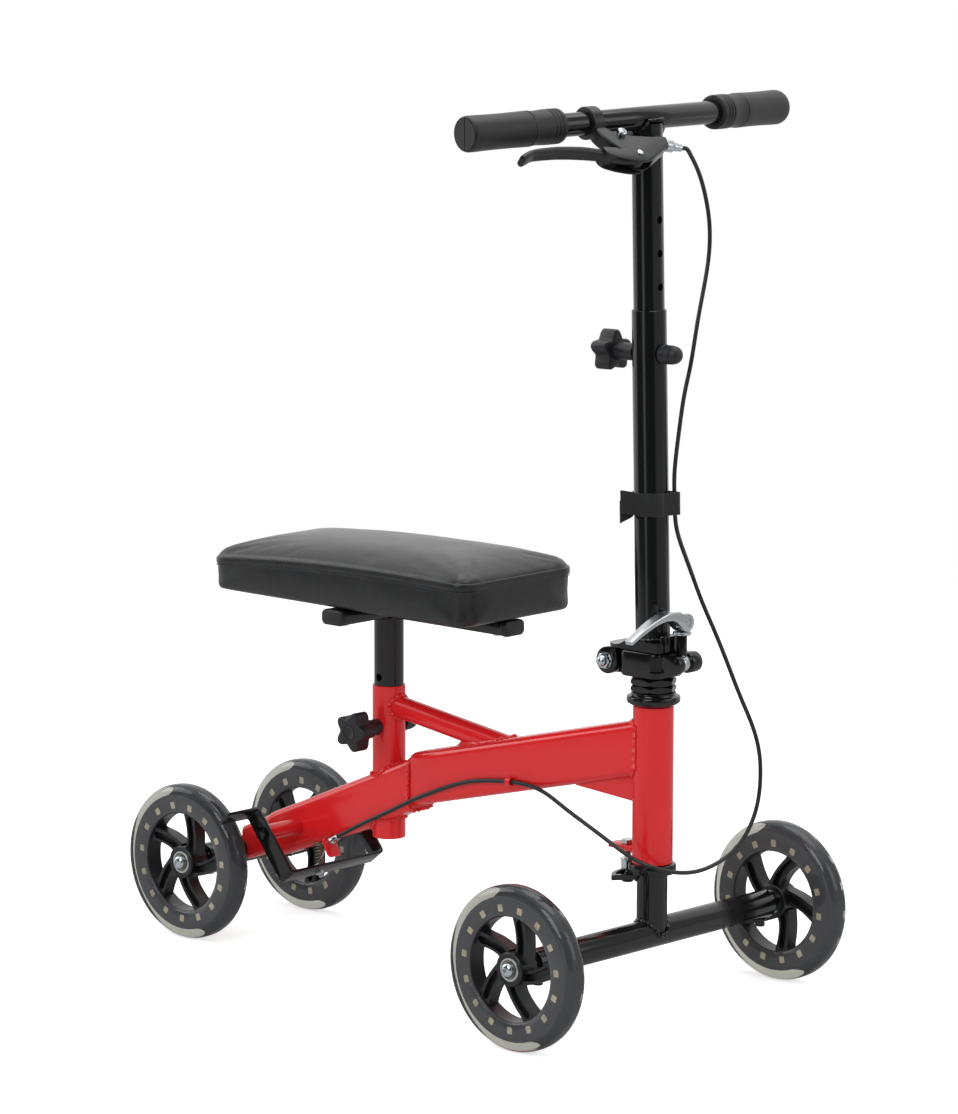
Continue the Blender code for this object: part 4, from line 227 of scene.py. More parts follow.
# Each finish has the frame's slot, the material's name, its colour (a hex code or one of WalkerColours), its
# roughness, and what differs from surface's own values.
FINISHES = {
    # Baked powder coat: deep even colour under a clear gloss, with orange peel about 1.5 mm across.
    "red": ("red_paint", "powder_coat_red", "frame_red", 0.17, dict(
        mottle=0.05, mottle_size=0.03, rough_swing=0.03, grain=0.0016, grain_height=0.000012)),
    # Sprayed enamel on steel: black with a wet gloss, orange peel drawn at 1.4 mm.
    "black": ("black_paint", "enamel_black", "gloss_black", 0.13, dict(
        mottle=0.10, mottle_size=0.03, rough_swing=0.03, grain=0.0014, grain_height=0.000008)),
    # Painted die casting: black with the casting's pebbled skin, 1.8 mm across.
    "cast": ("black_paint", "cast_alloy_black", "#0E0E0F", 0.14, dict(
        mottle=0.15, mottle_size=0.012, grain=0.0018, grain_height=0.00004)),
    # Painted alloy of the hand brake: satin, handled smooth.
    "satin": ("black_paint", "paint_satin_black", "#131416", 0.33, dict(rough_swing=0.05, grain=0.0012)),
    # Injection moulded nylon: satin with a faint spark-eroded texture, drawn at 0.6 mm so that it shows.
    "nylon": ("black_plastic", "nylon_black", "#161719", 0.36, dict(
        mottle=0.10, rough_swing=0.05, grain=0.0006)),
    # Moulded polypropylene: matt charcoal with a coarse texture, drawn at 0.6 mm.
    "knob": ("black_plastic", "polypropylene_charcoal", "#1C1D20", 0.46, dict(
        mottle=0.10, mottle_size=0.015, rough_swing=0.05, grain=0.0006, grain_height=0.00003)),
    # Moulded thermoplastic rubber: soft black with little gloss, texture drawn at 0.5 mm.
    "rubber": ("grip_rubber", "rubber_black", "#131416", 0.50, dict(
        grain=0.0005, grain_height=0.00003, sheen=0.08)),
    # Bright zinc plated steel: pale and bluish, with faint drawing marks.
    "steel": ("bright_steel", "zinc_bright", "#C9D0D4", 0.24, dict(
        metallic=1.0, mottle=0.08, mottle_size=0.006, grain=0.0016, grain_height=0.000004)),
    # Polished aluminium casting: bright, with polishing marks that run along the lever.
    "alloy": ("polished_alloy", "aluminium_polished", "#C9CCCE", 0.26, dict(
        metallic=1.0, mottle=0.05, mottle_size=0.006, rough_swing=0.05, grain=0.0016, grain_height=0.000004,
        stretch=(1.0, 0.15, 1.0))),
    # Yellow passivated spring wire: dull straw with greenish patches.
    "spring": ("zinc_plate", "zinc_yellow", "#9C9674", 0.34, dict(
        metallic=1.0, mottle=0.25, mottle_size=0.004, rough_swing=0.08, grain_height=0.00001)),
    # Extruded PVC over a wound liner: dark grey and smooth with a soft shine.
    "sheath": ("cable_sheath", "pvc_dark_grey", "#1D1E20", 0.34, dict(
        mottle=0.08, mottle_size=0.03, rough_swing=0.04, grain=0.0012)),
    # Pressed steel shield of the bearing: dull straw grey.
    "seal": (None, "bearing_shield", "#8C8676", 0.4, dict(
        metallic=1.0, mottle=0.10, mottle_size=0.004, rough_swing=0.05)),
    # Plywood dipped in dark stain: the grain runs along the walker, about 3 mm wide.
    "board": ("seat_board", "plywood_stained", "#2A2420", 0.7, dict(
        mottle=0.35, mottle_size=0.003, rough_swing=0.08, grain=0.0010, grain_height=0.00006,
        stretch=(0.08, 1.0, 1.0))),
    # Bonded nylon thread: dark grey with a slight shine.
    "thread": (None, "nylon_thread", "#3A3B3E", 0.5, dict(
        mottle=0.15, mottle_size=0.001, rough_swing=0.05, grain=0.0004, grain_height=0.00006)),
    # The black core seen through the tyre: bonded to it, so it has no gloss of its own. It is drawn mid grey, not
    # black, as painted light for the light that the tyre spreads over it.
    "bonded": (None, "nylon_bonded", "#575A64", 0.9, dict(mottle=0.10, rough_swing=0.05)),
    # Clear urethane that fills the core's windows: its cream tint, drawn as a pale block whose brightness is
    # painted light for the light that shines through it.
    "pale": (None, "urethane_cream", "#F4EEDA", 0.5, dict(mottle=0.6, mottle_size=0.012, rough_swing=0.05)),
    # Hook and loop tape: napped nylon, with a weave of 0.9 mm and a soft sheen at grazing angles.
    "tape": (None, "hook_loop_tape", "#141516", 0.85, dict(
        mottle=0.25, mottle_size=0.004, rough_swing=0.05, grain=0.0009, grain_height=0.00020, sheen=0.25)),
    # Cast polyurethane tyre: clear, with its smoke tint in the volume.
    "tyre": ("tyre", "urethane_smoke", "#F3EEDF", 0.06, dict(
        mottle=0.02, mottle_size=0.03, rough_swing=0.02, grain=0.006, grain_height=0.000012, transmission=1.0,
        ior=1.46)),
    # Embossed PVC leathercloth: charcoal, pebbled grain of 1.5 mm cells with painted shade between them, creases
    # and worn gloss on its crown.
    "vinyl": ("seat_vinyl", "vinyl_black", "vinyl", 0.29, {}),
}
MAKERS = {"tyre": smoke_urethane, "vinyl": vinyl_cover}
MADE = {}


def finish_of(name):
    """Material of a finish, made when it is first asked for."""
    if name not in MADE:
        _, material, colour, rough, settings = FINISHES[name]
        tint = linear(colour) if colour[0] == "#" else getattr(bpy.context.scene.walker_colours, colour)
        MADE[name] = MAKERS.get(name, surface)(material, tint, rough, **settings)
    return MADE[name]


def frame_at(origin, along=(0, 0, 1), across=(1, 0, 0)):
    """Placement whose local Z points along one direction and local X across it."""
    z_axis = Vector(along).normalized()
    x_axis = Vector(across) - z_axis * z_axis.dot(Vector(across))
    x_axis.normalize()
    matrix = Matrix((x_axis, z_axis.cross(x_axis), z_axis)).transposed().to_4x4()
    matrix.translation = Vector(origin)
    return matrix


def side_view(x=0.0, z=0.0, y=0.0):
    return frame_at((x, y, z), (0, -1, 0), (1, 0, 0))


def end_view(x=0.0, y=0.0, z=0.0):
    return frame_at((x, y, z), (1, 0, 0), (0, 1, 0))


def mm(*points):
    """Points given in millimetres, in metres."""
    return [tuple(v / 1000 for v in point) for point in points]


def at(x=0.0, y=0.0, z=0.0):
    return Matrix.Translation((x, y, z))


def polar(radius, angle, centre=(0.0, 0.0)):
    return centre[0] + radius * cos(angle), centre[1] + radius * sin(angle)


def moved(bm, place):
    if place:
        bmesh.ops.transform(bm, matrix=place, verts=bm.verts)
    return bm


def tidy(bm):
    """Welds points that meet and turns the faces outward."""
    bmesh.ops.remove_doubles(bm, verts=bm.verts, dist=1e-6)
    bmesh.ops.recalc_face_normals(bm, faces=bm.faces)
    return bm


def spun(profile, sides=ROUND, place=None):
    """Spins a profile of (radius, height) round Z; it is closed unless both its ends lie on the axis."""
    bm = bmesh.new()
    verts = [bm.verts.new((r, 0.0, h)) for r, h in profile]
    edges = [bm.edges.new(pair) for pair in zip(verts, verts[1:])]
    if max(profile[0][0], profile[-1][0]) > 1e-6:
        edges.append(bm.edges.new((verts[-1], verts[0])))
    bmesh.ops.spin(bm, geom=verts + edges, cent=(0, 0, 0), axis=(0, 0, 1), angle=tau, steps=sides,
            use_merge=True)
    return moved(tidy(bm), place)


def raised(outline, low, high, edge=0.0, segments=3, place=None):
    """Pulls a flat outline up along Z and rounds its rims."""
    bm = bmesh.new()
    face = bm.faces.new([bm.verts.new((x, y, low)) for x, y in outline])
    grown = bmesh.ops.extrude_face_region(bm, geom=[face])["geom"]
    lifted = [g for g in grown if isinstance(g, bmesh.types.BMVert)]
    bmesh.ops.translate(bm, verts=lifted, vec=(0, 0, high - low))
    bmesh.ops.recalc_face_normals(bm, faces=bm.faces)
    if edge:
        rims = [e for e in bm.edges if abs(e.verts[0].co.z - e.verts[1].co.z) < 1e-9]
        bmesh.ops.bevel(bm, geom=rims, offset=edge, segments=segments, profile=0.5, affect="EDGES", material=-1,
                clamp_overlap=True)
    return moved(bm, place)


def bridged(loops, ring=False):
    """Skin over loops of as many points; an open one is capped at both ends."""
    bm = bmesh.new()
    rows = []
    for loop in loops:
        verts = [bm.verts.new(p) for p in loop]
        rows.append([bm.edges.new((a, b)) for a, b in zip(verts, verts[1:] + verts[:1])])
    if not ring:
        bmesh.ops.edgeloop_fill(bm, edges=rows[0])
        bmesh.ops.edgeloop_fill(bm, edges=rows[-1])
    for low, high in zip(rows, rows[1:] + (rows[:1] if ring else [])):
        bmesh.ops.bridge_loops(bm, edges=low + high)
    return tidy(bm)


def tube_along(path, radii, sides=16, closed=False):
    """Round tube through points, of one radius or of one at each point."""
    bm = bmesh.new()
    radii = radii if isinstance(radii, (list, tuple)) else [radii] * len(path)
    across = Vector((0.31, 0.23, 0.92))
    rows = []
    for i, point in enumerate(path):
        before = path[i - 1] if closed or i else path[i]
        after = path[(i + 1) % len(path)] if closed or i + 1 < len(path) else path[i]
        place = frame_at(point, Vector(after) - Vector(before), across)
        across = place.to_3x3() @ Vector((1, 0, 0))
        made = bmesh.ops.create_circle(bm, segments=sides, radius=radii[i], matrix=place)["verts"]
        rows.append(list({e for v in made for e in v.link_edges}))
    if not closed:
        bmesh.ops.edgeloop_fill(bm, edges=rows[0])
        bmesh.ops.edgeloop_fill(bm, edges=rows[-1])
    for low, high in zip(rows, rows[1:] + (rows[:1] if closed else [])):
        bmesh.ops.bridge_loops(bm, edges=low + high)
    return tidy(bm)


def circle(radius, sides=ROUND, centre=(0.0, 0.0)):
    return [polar(radius, tau * i / sides, centre) for i in range(sides)]


def arc(radius, start, end, steps, centre=(0.0, 0.0)):
    """Points from one angle to another, in degrees."""
    return [polar(radius, radians(start + (end - start) * i / steps), centre) for i in range(steps + 1)]


def rod(radius, low, high, place=None, sides=PIN_ROUND):
    return raised(circle(radius, sides), low, high, place=place)


def rounded_rect(width, height, corner, steps=7, centre=(0.0, 0.0)):
    outline = []
    for turn, (sx, sy) in enumerate(((1, 1), (-1, 1), (-1, -1), (1, -1))):
        middle = (centre[0] + sx * (width / 2 - corner), centre[1] + sy * (height / 2 - corner))
        outline += [polar(corner, pi / 2 * (turn + i / steps), middle) for i in range(steps + 1)]
    return outline


def round_corners(points, radii, steps=6):
    """Outline with each corner drawn as an arc-like curve."""
    outline = []
    count = len(points)
    for i, point in enumerate(points):
        radius = radii[i] if isinstance(radii, (list, tuple)) else radii
        here = Vector(point)
        back = Vector(points[i - 1]) - here
        ahead = Vector(points[(i + 1) % count]) - here
        reach = min(radius, back.length * 0.49, ahead.length * 0.49)
        start = here + back.normalized() * reach
        end = here + ahead.normalized() * reach
        for k in range(steps + 1):
            t = k / steps
            outline.append(tuple(start * (1 - t) ** 2 + here * 2 * t * (1 - t) + end * t ** 2))
    return outline


def hull(circles, sides=40):
    """Convex outline round circles given as (x, y, radius)."""
    points = sorted((round(x, 8), round(y, 8))
            for cx, cy, radius in circles for x, y in circle(radius, sides, (cx, cy)))

    def half(run):
        kept = []
        for p in run:
            while len(kept) > 1 and ((kept[-1][0] - kept[-2][0]) * (p[1] - kept[-2][1]) -
                    (kept[-1][1] - kept[-2][1]) * (p[0] - kept[-2][0])) <= 1e-12:
                kept.pop()
            kept.append(p)
        return kept[:-1]

    return half(points) + half(list(reversed(points)))


def smooth_path(points, per_span=8):
    """Points of a smooth curve through the given ones."""
    points = [Vector(p) for p in points]
    ends = [points[0] * 2 - points[1]] + points + [points[-1] * 2 - points[-2]]
    fine = []
    for a, b, c, d in zip(ends, ends[1:], ends[2:], ends[3:]):
        for i in range(per_span):
            t = i / per_span
            fine.append(0.5 * (2 * b + (c - a) * t + (2 * a - 5 * b + 4 * c - d) * t ** 2 +
                    (3 * b - a - 3 * c + d) * t ** 3))
    return fine + [points[-1]]


def even_path(points, spacing):
    """Curve through points, cut into even steps of about the given length."""
    fine = smooth_path(points, 24)
    lengths = [0.0]
    for a, b in zip(fine, fine[1:]):
        lengths.append(lengths[-1] + (b - a).length)
    count = max(int(round(lengths[-1] / spacing)), 4)
    out = []
    k = 0
    for i in range(count + 1):
        target = lengths[-1] * i / count
        while k < len(fine) - 2 and lengths[k + 1] < target:
            k += 1
        out.append(fine[k].lerp(fine[k + 1], min(max((target - lengths[k]) / (lengths[k + 1] - lengths[k]), 0),
                1)))
    return out


def bent(path, thickness):
    """Outline of a bent strap of even thickness."""
    left, right = [], []
    for i, point in enumerate(path):
        here = Vector(point)
        into = (here - Vector(path[i - 1])).normalized() if i else None
        out = (Vector(path[i + 1]) - here).normalized() if i + 1 < len(path) else None
        into, out = into or out, out or into
        normal = Vector((-into.y - out.y, into.x + out.x)).normalized()
        stretch = normal.dot(Vector((-out.y, out.x)))
        left.append(tuple(here + normal * thickness / 2 / stretch))
        right.append(tuple(here - normal * thickness / 2 / stretch))
    return right + list(reversed(left))


def together(*bodies):
    """Several bodies in one mesh."""
    bm = bmesh.new()
    for body in bodies:
        mesh = bpy.data.meshes.new("together")
        body.to_mesh(mesh)
        body.free()
        bm.from_mesh(mesh)
        bpy.data.meshes.remove(mesh)
    return bm


def loose_object(name, bm):
    mesh = bpy.data.meshes.new(name)
    bm.to_mesh(mesh)
    bm.free()
    obj = bpy.data.objects.new(name, mesh)
    bpy.context.scene.collection.objects.link(obj)
    return obj


def carved(bm, *steps):
    """Exact booleans: each step is (operation, solid)."""
    target = loose_object("carving", bm)
    tools = []
    for operation, solid in steps:
        tool = loose_object("carving_tool", solid)
        tools.append(tool)
        modifier = target.modifiers.new("carve", "BOOLEAN")
        modifier.operation = operation
        modifier.solver = "EXACT"
        modifier.object = tool
    bpy.context.view_layer.update()
    graph = bpy.context.evaluated_depsgraph_get()
    mesh = bpy.data.meshes.new_from_object(target.evaluated_get(graph))
    out = bmesh.new()
    out.from_mesh(mesh)
    bpy.data.meshes.remove(mesh)
    for obj in [target] + tools:
        bpy.data.objects.remove(obj, do_unlink=True)
    bmesh.ops.remove_doubles(out, verts=out.verts, dist=2e-6)
    return out


def cut(bm, *tools):
    return carved(bm, *[("DIFFERENCE", tool) for tool in tools])


def swept(path, section_at):
    """Skin along a flat curve; section_at gives a point's section as (sideways, upward) pairs."""
    loops = []
    for i, p in enumerate(path):
        ahead = path[min(i + 1, len(path) - 1)] - path[max(i - 1, 0)]
        side = Vector((-ahead.y, ahead.x, 0.0)).normalized()
        loops.append([tuple(p + side * a + Vector((0, 0, b))) for a, b in section_at(i)])
    return loops


def along_outline(points, step):
    """Closed outline cut into steps of at most the given length."""
    out = []
    for a, b in zip(points, points[1:] + points[:1]):
        count = max(int((Vector(b) - Vector(a)).length / step), 1)
        out += [tuple(Vector(a).lerp(Vector(b), k / count)) for k in range(count)]
    return out


def rim_points(outline):
    """Each point of a closed outline, with the ones before and after it and the direction outward."""
    for i, here in enumerate(outline):
        before, after = outline[i - 1], outline[(i + 1) % len(outline)]
        yield here, before, after, Vector((after[1] - before[1], before[0] - after[0], 0.0)).normalized()


def keep(name, bm, finish, body, stands_for=(), place=None, edge=0.0, inlay=None):
    """Turns a mesh into a finished piece on a body; an inlay is (finish, test of a face's centre)."""
    mesh = bpy.data.meshes.new(name)
    if inlay:
        for face in bm.faces:
            if inlay[1](face.calc_center_median()):
                face.material_index = 1
    moved(bm, place).to_mesh(mesh)
    bm.free()
    mesh.materials.append(finish_of(finish))
    if inlay:
        mesh.materials.append(finish_of(inlay[0]))
    mesh.shade_smooth()
    mesh.set_sharp_from_angle(angle=SHARP)
    obj = bpy.data.objects.new(name, mesh)
    bpy.context.scene.collection.objects.link(obj)
    if edge:
        rounding = obj.modifiers.new("rounding", "BEVEL")
        rounding.limit_method = "ANGLE"
        rounding.angle_limit = SHARP
        rounding.width = edge
        rounding.segments = 2
        rounding.harden_normals = True
    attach(obj, body)
    if stands_for:
        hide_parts(*stands_for)
    return obj


def bead(name, path, body, finish, radius=None, drop=2):
    """Weld bead along a closed curve: a rope of overlapping drops, each as many points long as said."""
    radius = radius or bpy.context.scene.walker_sizes.bead
    path = [Vector(p) for p in path]
    radii = [radius * (1.0 + (0.18 + 0.03 * drop) * cos(tau * i / drop) + 0.25 * noise.noise(p * 250))
            for i, p in enumerate(path)]
    return keep(name, tube_along(path, radii, 10, closed=True), finish, body)


def ring_points(count, point_at):
    return [point_at(tau * i / count) for i in range(count)]


def mast_point(z):
    """Point of the raked mast's axis at a height."""
    return Vector((FRONT_X - tan(RAKE) * (z - RAKE_START_Z), 0.0, z))


MAST_ALONG = Vector((-sin(RAKE), 0.0, cos(RAKE)))
MAST_ACROSS = Vector((cos(RAKE), 0.0, sin(RAKE)))


def bar_along(side):
    """Direction of one half of the handlebar, outward."""
    return Vector((-sin(BAR_SWEEP) * cos(BAR_DROOP), side * cos(BAR_SWEEP) * cos(BAR_DROOP), -sin(BAR_DROOP)))


def brake_axes():
    """Directions away from the bar, outward along it, and square to both."""
    outward = bar_along(-1)
    forward = Vector((cos(BAR_SWEEP), -sin(BAR_SWEEP), 0.0))
    away = forward * cos(BRAKE_TILT) - Vector((0.0, 0.0, sin(BRAKE_TILT)))
    away -= outward * away.dot(outward)
    away.normalize()
    return away, outward, away.cross(outward)


def brake_place(away=0.0, along=0.0, lift=0.0):
    out, outward, square = brake_axes()
    return frame_at(mast_point(BAR_LEVEL) + out * away + outward * along + square * lift, square, out)


def barrel_axis():
    """Middle of the cable adjuster's base, and its direction."""
    out, outward, _ = brake_axes()
    return mast_point(BAR_LEVEL) + out * 0.0425 + outward * 0.0042, (out * 0.311 - outward * 0.951).normalized()


def beam_low(x):
    return 0.1925 + BEAM_SLOPE * x


def beam_high(x):
    return 0.2550 + BEAM_SLOPE * x


BRACE_PLACE = frame_at((SEAT_X, 0, 0.2955), BRACE_ALONG, (0, 1, 0))
REAR_STATIONS = mm((-34, 179.5, 241), (-100, 149, 212.5), (-262, 88, 143.1))


def rear_edges(x):
    """Underside and top of the rear beam, with its bend smoothed out."""
    def straight(where):
        for (x0, l0, h0), (x1, l1, h1) in zip(REAR_STATIONS, REAR_STATIONS[1:]):
            if where >= x1 or x1 == REAR_STATIONS[-1][0]:
                share = (where - x0) / (x1 - x0)
                return l0 + (l1 - l0) * share, h0 + (h1 - h0) * share
    spread = min(0.016, abs(x + 0.034), abs(x + 0.262))
    samples = [straight(x + spread * k / 3) for k in range(-3, 4)]
    return sum(s[0] for s in samples) / 7, sum(s[1] for s in samples) / 7


def beam_loop(x, low, high, width, corner, inset=0.0):
    outline = rounded_rect(width - 2 * inset, high - low - 2 * inset, max(corner - inset, 0.001),
            centre=(0.0, (low + high) / 2))
    return [(x, y, z) for y, z in outline]


def roof(y, high, width=0.042, corner=0.010):
    """Height of a beam's top at a distance from its middle."""
    over = abs(y) - (width / 2 - corner)
    return high - (corner - sqrt(max(corner ** 2 - over ** 2, 0.0))) if over > 0 else high


def build_frame():
    """Beams, tubes, tabs and beads of the red frame."""
    build_main_beam()
    build_rear_beam()
    build_cable_stop()
    build_seat_tube()
    build_head_tube()
    weld_beads()


def build_main_beam():
    """Main beam with its gusset and cable guide."""
    stations = mm((-33.9, 1.6), (-32.6, 0.4), (-31, 0))
    stations += [(x, 0.0) for x in (0.0, 0.06, 0.12, 0.18, 0.24, 0.29, FRONT_X)]
    loops = [beam_loop(x, beam_low(x), beam_high(x), 0.042, 0.010, inset) for x, inset in stations]
    drill = rod(0.0222, 0.15, 0.36, at(FRONT_X), ROUND)
    keep("main_beam_skin", cut(bridged(loops), drill), "red", "frame", ["main_beam"])
    gusset = round_corners([(0.205, beam_low(0.205) + 0.0012), (0.285, 0.2388), (0.3035, 0.2372),
            (0.3035, beam_low(0.3035) + 0.002)], [0.012, 0.006, 0.001, 0.001])
    keep("head_gusset", raised(gusset, -0.012, 0.012, 0.0022, place=side_view()), "red", "frame")
    guide, eye = [tube_along([Vector((x, CABLE_Y, 0.237)) for x in ends], radius, 20)
            for ends, radius in (((0.1205, 0.1275), 0.0052), ((0.11, 0.14), 0.0028))]
    keep("cable_guide", cut(guide, eye), "red", "frame", edge=0.0005)


def build_rear_beam():
    """Rear beam with its narrower tail, and the brake's pivot tube."""
    xs = [-0.0335 - 0.0066 * i for i in range(35)]
    loops = [beam_loop(x, *rear_edges(x), 0.042, 0.010, 0.0006 if x == xs[0] else 0.0) for x in xs]
    for tail in mm((-262.5, 89.5, 142.5, 41, 9.5), (-265.5, 93, 140.5, 38.5, 8.5),
            (-270, 92.5, 137.5, 36.2, 6.5), (-308, 78.6, 120.2, 36, 6)):
        loops.append(beam_loop(*tail))
    keep("rear_beam_skin", cut(bridged(loops), rod(SEAT_DRILL, 0.10, 0.33, at(SEAT_X), ROUND)), "red", "frame",
            ["rear_beam"])
    reach = 0.0734
    pivot_tube = spun([(0.0042, -reach), (0.0091, -reach), (0.0095, -reach + 0.0004), (0.0095, reach - 0.0004),
            (0.0091, reach), (0.0042, reach)], 36, side_view(YOKE_X, YOKE_Z))
    keep("brake_pivot_tube", pivot_tube, "red", "frame")


def build_cable_stop():
    """Tab, threaded barrel and nut where the cable's sheath ends."""
    stop = frame_at((STOP_AT.x, 0, STOP_AT.z), STOP_ALONG, (0, 1, 0))
    tab = raised(round_corners(mm((-34, -5.5), (-15, -5.5), (-15, 18.5), (-34, 18.5)),
            [0.006, 0.001, 0.001, 0.006]), -0.0015, 0.0015, 0.0005, 2, stop)
    keep("cable_stop_tab", tab, "red", "frame")
    barrel = mm((0, -16.8), (3, -16.8), (3.6, -16), (3.6, -8.6))
    barrel += [(0.0036 + 0.0005 * (k % 2), -0.0086 + 0.0005 * k) for k in range(1, 8)]
    barrel += mm((4.4, -4.8), (4.4, -1.6), (2.2, -1.2), (0, -1.2))
    keep("cable_stop_barrel", spun(barrel, 24, stop @ at(CABLE_Y)), "steel", "frame")
    keep("cable_stop_nut", hex_nut(0.0088, 0.0030, 0.0018), "steel", "frame",
            place=stop @ at(CABLE_Y, 0, 0.0016))


def build_seat_tube():
    """Seat tube and its brace with a small web."""
    tube = [(TUBE_BORE, 0.1392), (0.0186, 0.1392), (MAST_RADIUS, 0.1397), (MAST_RADIUS, 0.3166),
            (0.0186, 0.3171), (TUBE_BORE, 0.3171)]
    keep("seat_tube_skin", spun(tube), "red", "frame", ["seat_tube"], at(SEAT_X))
    brace = rod(BAR_RADIUS, 0.0, 0.209, BRACE_PLACE, 44)
    keep("brace_tube_skin", cut(brace, rod(SEAT_DRILL, 0.13, 0.34, at(SEAT_X), ROUND)), "red", "frame",
            ["brace_tube"])
    web = mm((29, 280.8), (33.5, 276), (34.5, 271.8), (31.5, 267.2), (24, 260), (96, 276), (96, 279))
    keep("brace_web", raised(web, -0.0062, 0.0062, 0.0012, place=side_view()), "red", "frame")


def build_head_tube():
    """Head tube with the tab of the steering stop."""
    tube = mm((19.7, 170.8), (22.1, 170.8), (22.5, 171.2), (22.5, 345.9), (22.1, 346.3), (19.7, 346.3))
    keep("head_tube_skin", spun(tube), "red", "frame", ["head_tube"], at(FRONT_X))
    tab = hull(mm((-35.7, 0, 9.8), (-53.7, 6, 4), (-53.7, -6, 4), (-21.5, 11.5, 1), (-21.5, -11.5, 1)))
    keep("stop_tab", raised(tab, 0.181, 0.186, 0.0007, 2, at(FRONT_X)), "red", "frame")


def arc_bead(name, radius, half_angle, step, count, heights, size, finish, body):
    """Bead that runs along one side of a plate on a tube in front, and back along its other side."""
    turns = [(pi - half_angle + k * step, heights[0]) for k in range(count)]
    turns += [(pi + half_angle - k * step, heights[1]) for k in range(count)]
    bead(name, [(*polar(radius, a, (FRONT_X, 0.0)), z) for a, z in turns], body, finish, size)


def weld_beads():
    """Beads where the frame's tubes meet."""
    r = MAST_RADIUS

    def seat_end(a, top):
        x, y = polar(r + 0.0006, a, (SEAT_X, 0.0))
        low, high = rear_edges(x)
        return (x, y, roof(y, high) + 0.0004) if top else (x, y, low + (high - roof(y, high)) - 0.0004)

    for label, top, size in (("top", True, 0.0023), ("base", False, 0.0019)):
        bead(f"bead_seat_tube_{label}", ring_points(64, lambda a: seat_end(a, top)), "frame", "red", size)

    low, high = rear_edges(-0.036)
    seam = along_outline(rounded_rect(0.0426, high - low + 0.0006, 0.0103, 8, (0.0, (low + high) / 2)),
            BEAD_STEP)
    bead("bead_beam_seam", [(-0.0352 + 0.0007 * sin(9 * i), y, z) for i, (y, z) in enumerate(seam)], "frame",
            "red", 0.0023, 3)

    def brace_ray(a, radius):
        return BRACE_PLACE @ Vector((*polar(radius, a), 0.0))

    def on_seat_tube(a):
        p = brace_ray(a, BAR_RADIUS + 0.0005)
        reach = (sqrt(max(r ** 2 - p.y ** 2, 0)) - (p.x - SEAT_X)) / BRACE_ALONG.x
        return p + BRACE_ALONG * (reach + 0.0003)

    def on_beam(a):
        p = brace_ray(a, BAR_RADIUS + 0.0003)
        top = 0.2550 - (0.0010 if abs(p.y) > 0.011 else 0.0)
        reach = (top + BEAM_SLOPE * p.x - p.z) / (BRACE_ALONG.z - BEAM_SLOPE * BRACE_ALONG.x)
        return p + BRACE_ALONG * (reach - 0.0003)

    bead("bead_brace_rear", ring_points(56, on_seat_tube), "frame", "red", 0.0025, 3)
    bead("bead_brace_front", ring_points(72, on_beam), "frame", "red", 0.0025, 3)

    low, high = beam_low(0.292), beam_high(0.292)
    gap = 0.0227
    ring = [(-sqrt(gap ** 2 - y ** 2), y, z)
            for y, z in along_outline(rounded_rect(0.0424, high - low, 0.0102, 8, (0.0, (high + low) / 2)),
            BEAD_STEP)]
    bead("bead_head_tube", [(FRONT_X + x, y, z + BEAM_SLOPE * (x + gap)) for x, y, z in ring], "frame", "red",
            0.0028, 4)
    arc_bead("bead_stop_tab", 0.0229, 0.5, 0.07, 15, (0.1865, 0.1805), 0.0013, "red", "frame")


def hex_nut(flats, height, hole=0.0):
    """Hexagon with chamfered corners, bored unless the hole is nought."""
    reach = flats / 2 / cos(pi / 6)
    chamfer = reach - flats / 2
    barrel = [(0.0, -chamfer * 0.1), (flats / 2 * 0.98, 0.0), (reach, chamfer * 0.62),
            (reach, height - chamfer * 0.62), (flats / 2 * 0.98, height), (0.0, height + chamfer * 0.1)]
    steps = [("INTERSECT", spun(barrel, 48))]
    if hole:
        steps.append(("DIFFERENCE", rod(hole, -0.01, height + 0.01)))
    return carved(rod(reach, 0.0, height, sides=6), *steps)


def thread(radius, low, high, pitch=0.0011, depth=0.0004):
    """Profile points of a threaded shank."""
    points = []
    count = max(int((high - low) / pitch), 1)
    for i in range(count):
        z = low + (high - low) * i / count
        points += [(radius, z), (radius - depth, z + pitch / 2)]
    return points + [(radius, high)]


def axle_mesh(half):
    """Axle with its two thinner ends."""
    shoulder = half - AXLE_NOSE
    r, nose = 0.016, 0.011
    near = [(0.0055, -half), (nose - 0.0006, -half), (nose, -half + 0.0006), (nose, -shoulder - 0.0012),
            (nose + 0.0012, -shoulder), (r - 0.0012, -shoulder + 0.0002), (r - 0.0003, -shoulder + 0.0008),
            (r, -shoulder + 0.0020)]
    return spun(near + [(radius, -h) for radius, h in reversed(near)])


def build_steering():
    """Axles, stem with its stop sector, bearing cups and nuts, and the stop bolt."""
    build_axles()
    build_stem()
    build_headset()
    build_stop_bolt()


def build_axles():
    """Both axles with the bolts that hold their ends."""
    for end, x, body, _, half in ENDS:
        keep(f"{end}_axle_skin", axle_mesh(half), "black", body, [f"{end}_axle"],
                frame_at((x, 0, AXLE_Z), (0, 1, 0)))
    for end, x, body, _, half in ENDS:
        for side, label in SIDES:
            place = frame_at((x, side * (half - AXLE_NOSE - 0.010), AXLE_Z - 0.0155), (0, 0, -1))
            keep(f"axle_set_bolt_{end}_{label}", hex_nut(0.0104, 0.009 if end == "front" else 0.0054), "cast",
                    body, place=place)
            boss = spun(mm((0, 0), (7.2, 0), (6.4, 1.6), (0, 1.6)), PIN_ROUND, place)
            keep(f"axle_set_boss_{end}_{label}", boss, "black", body)


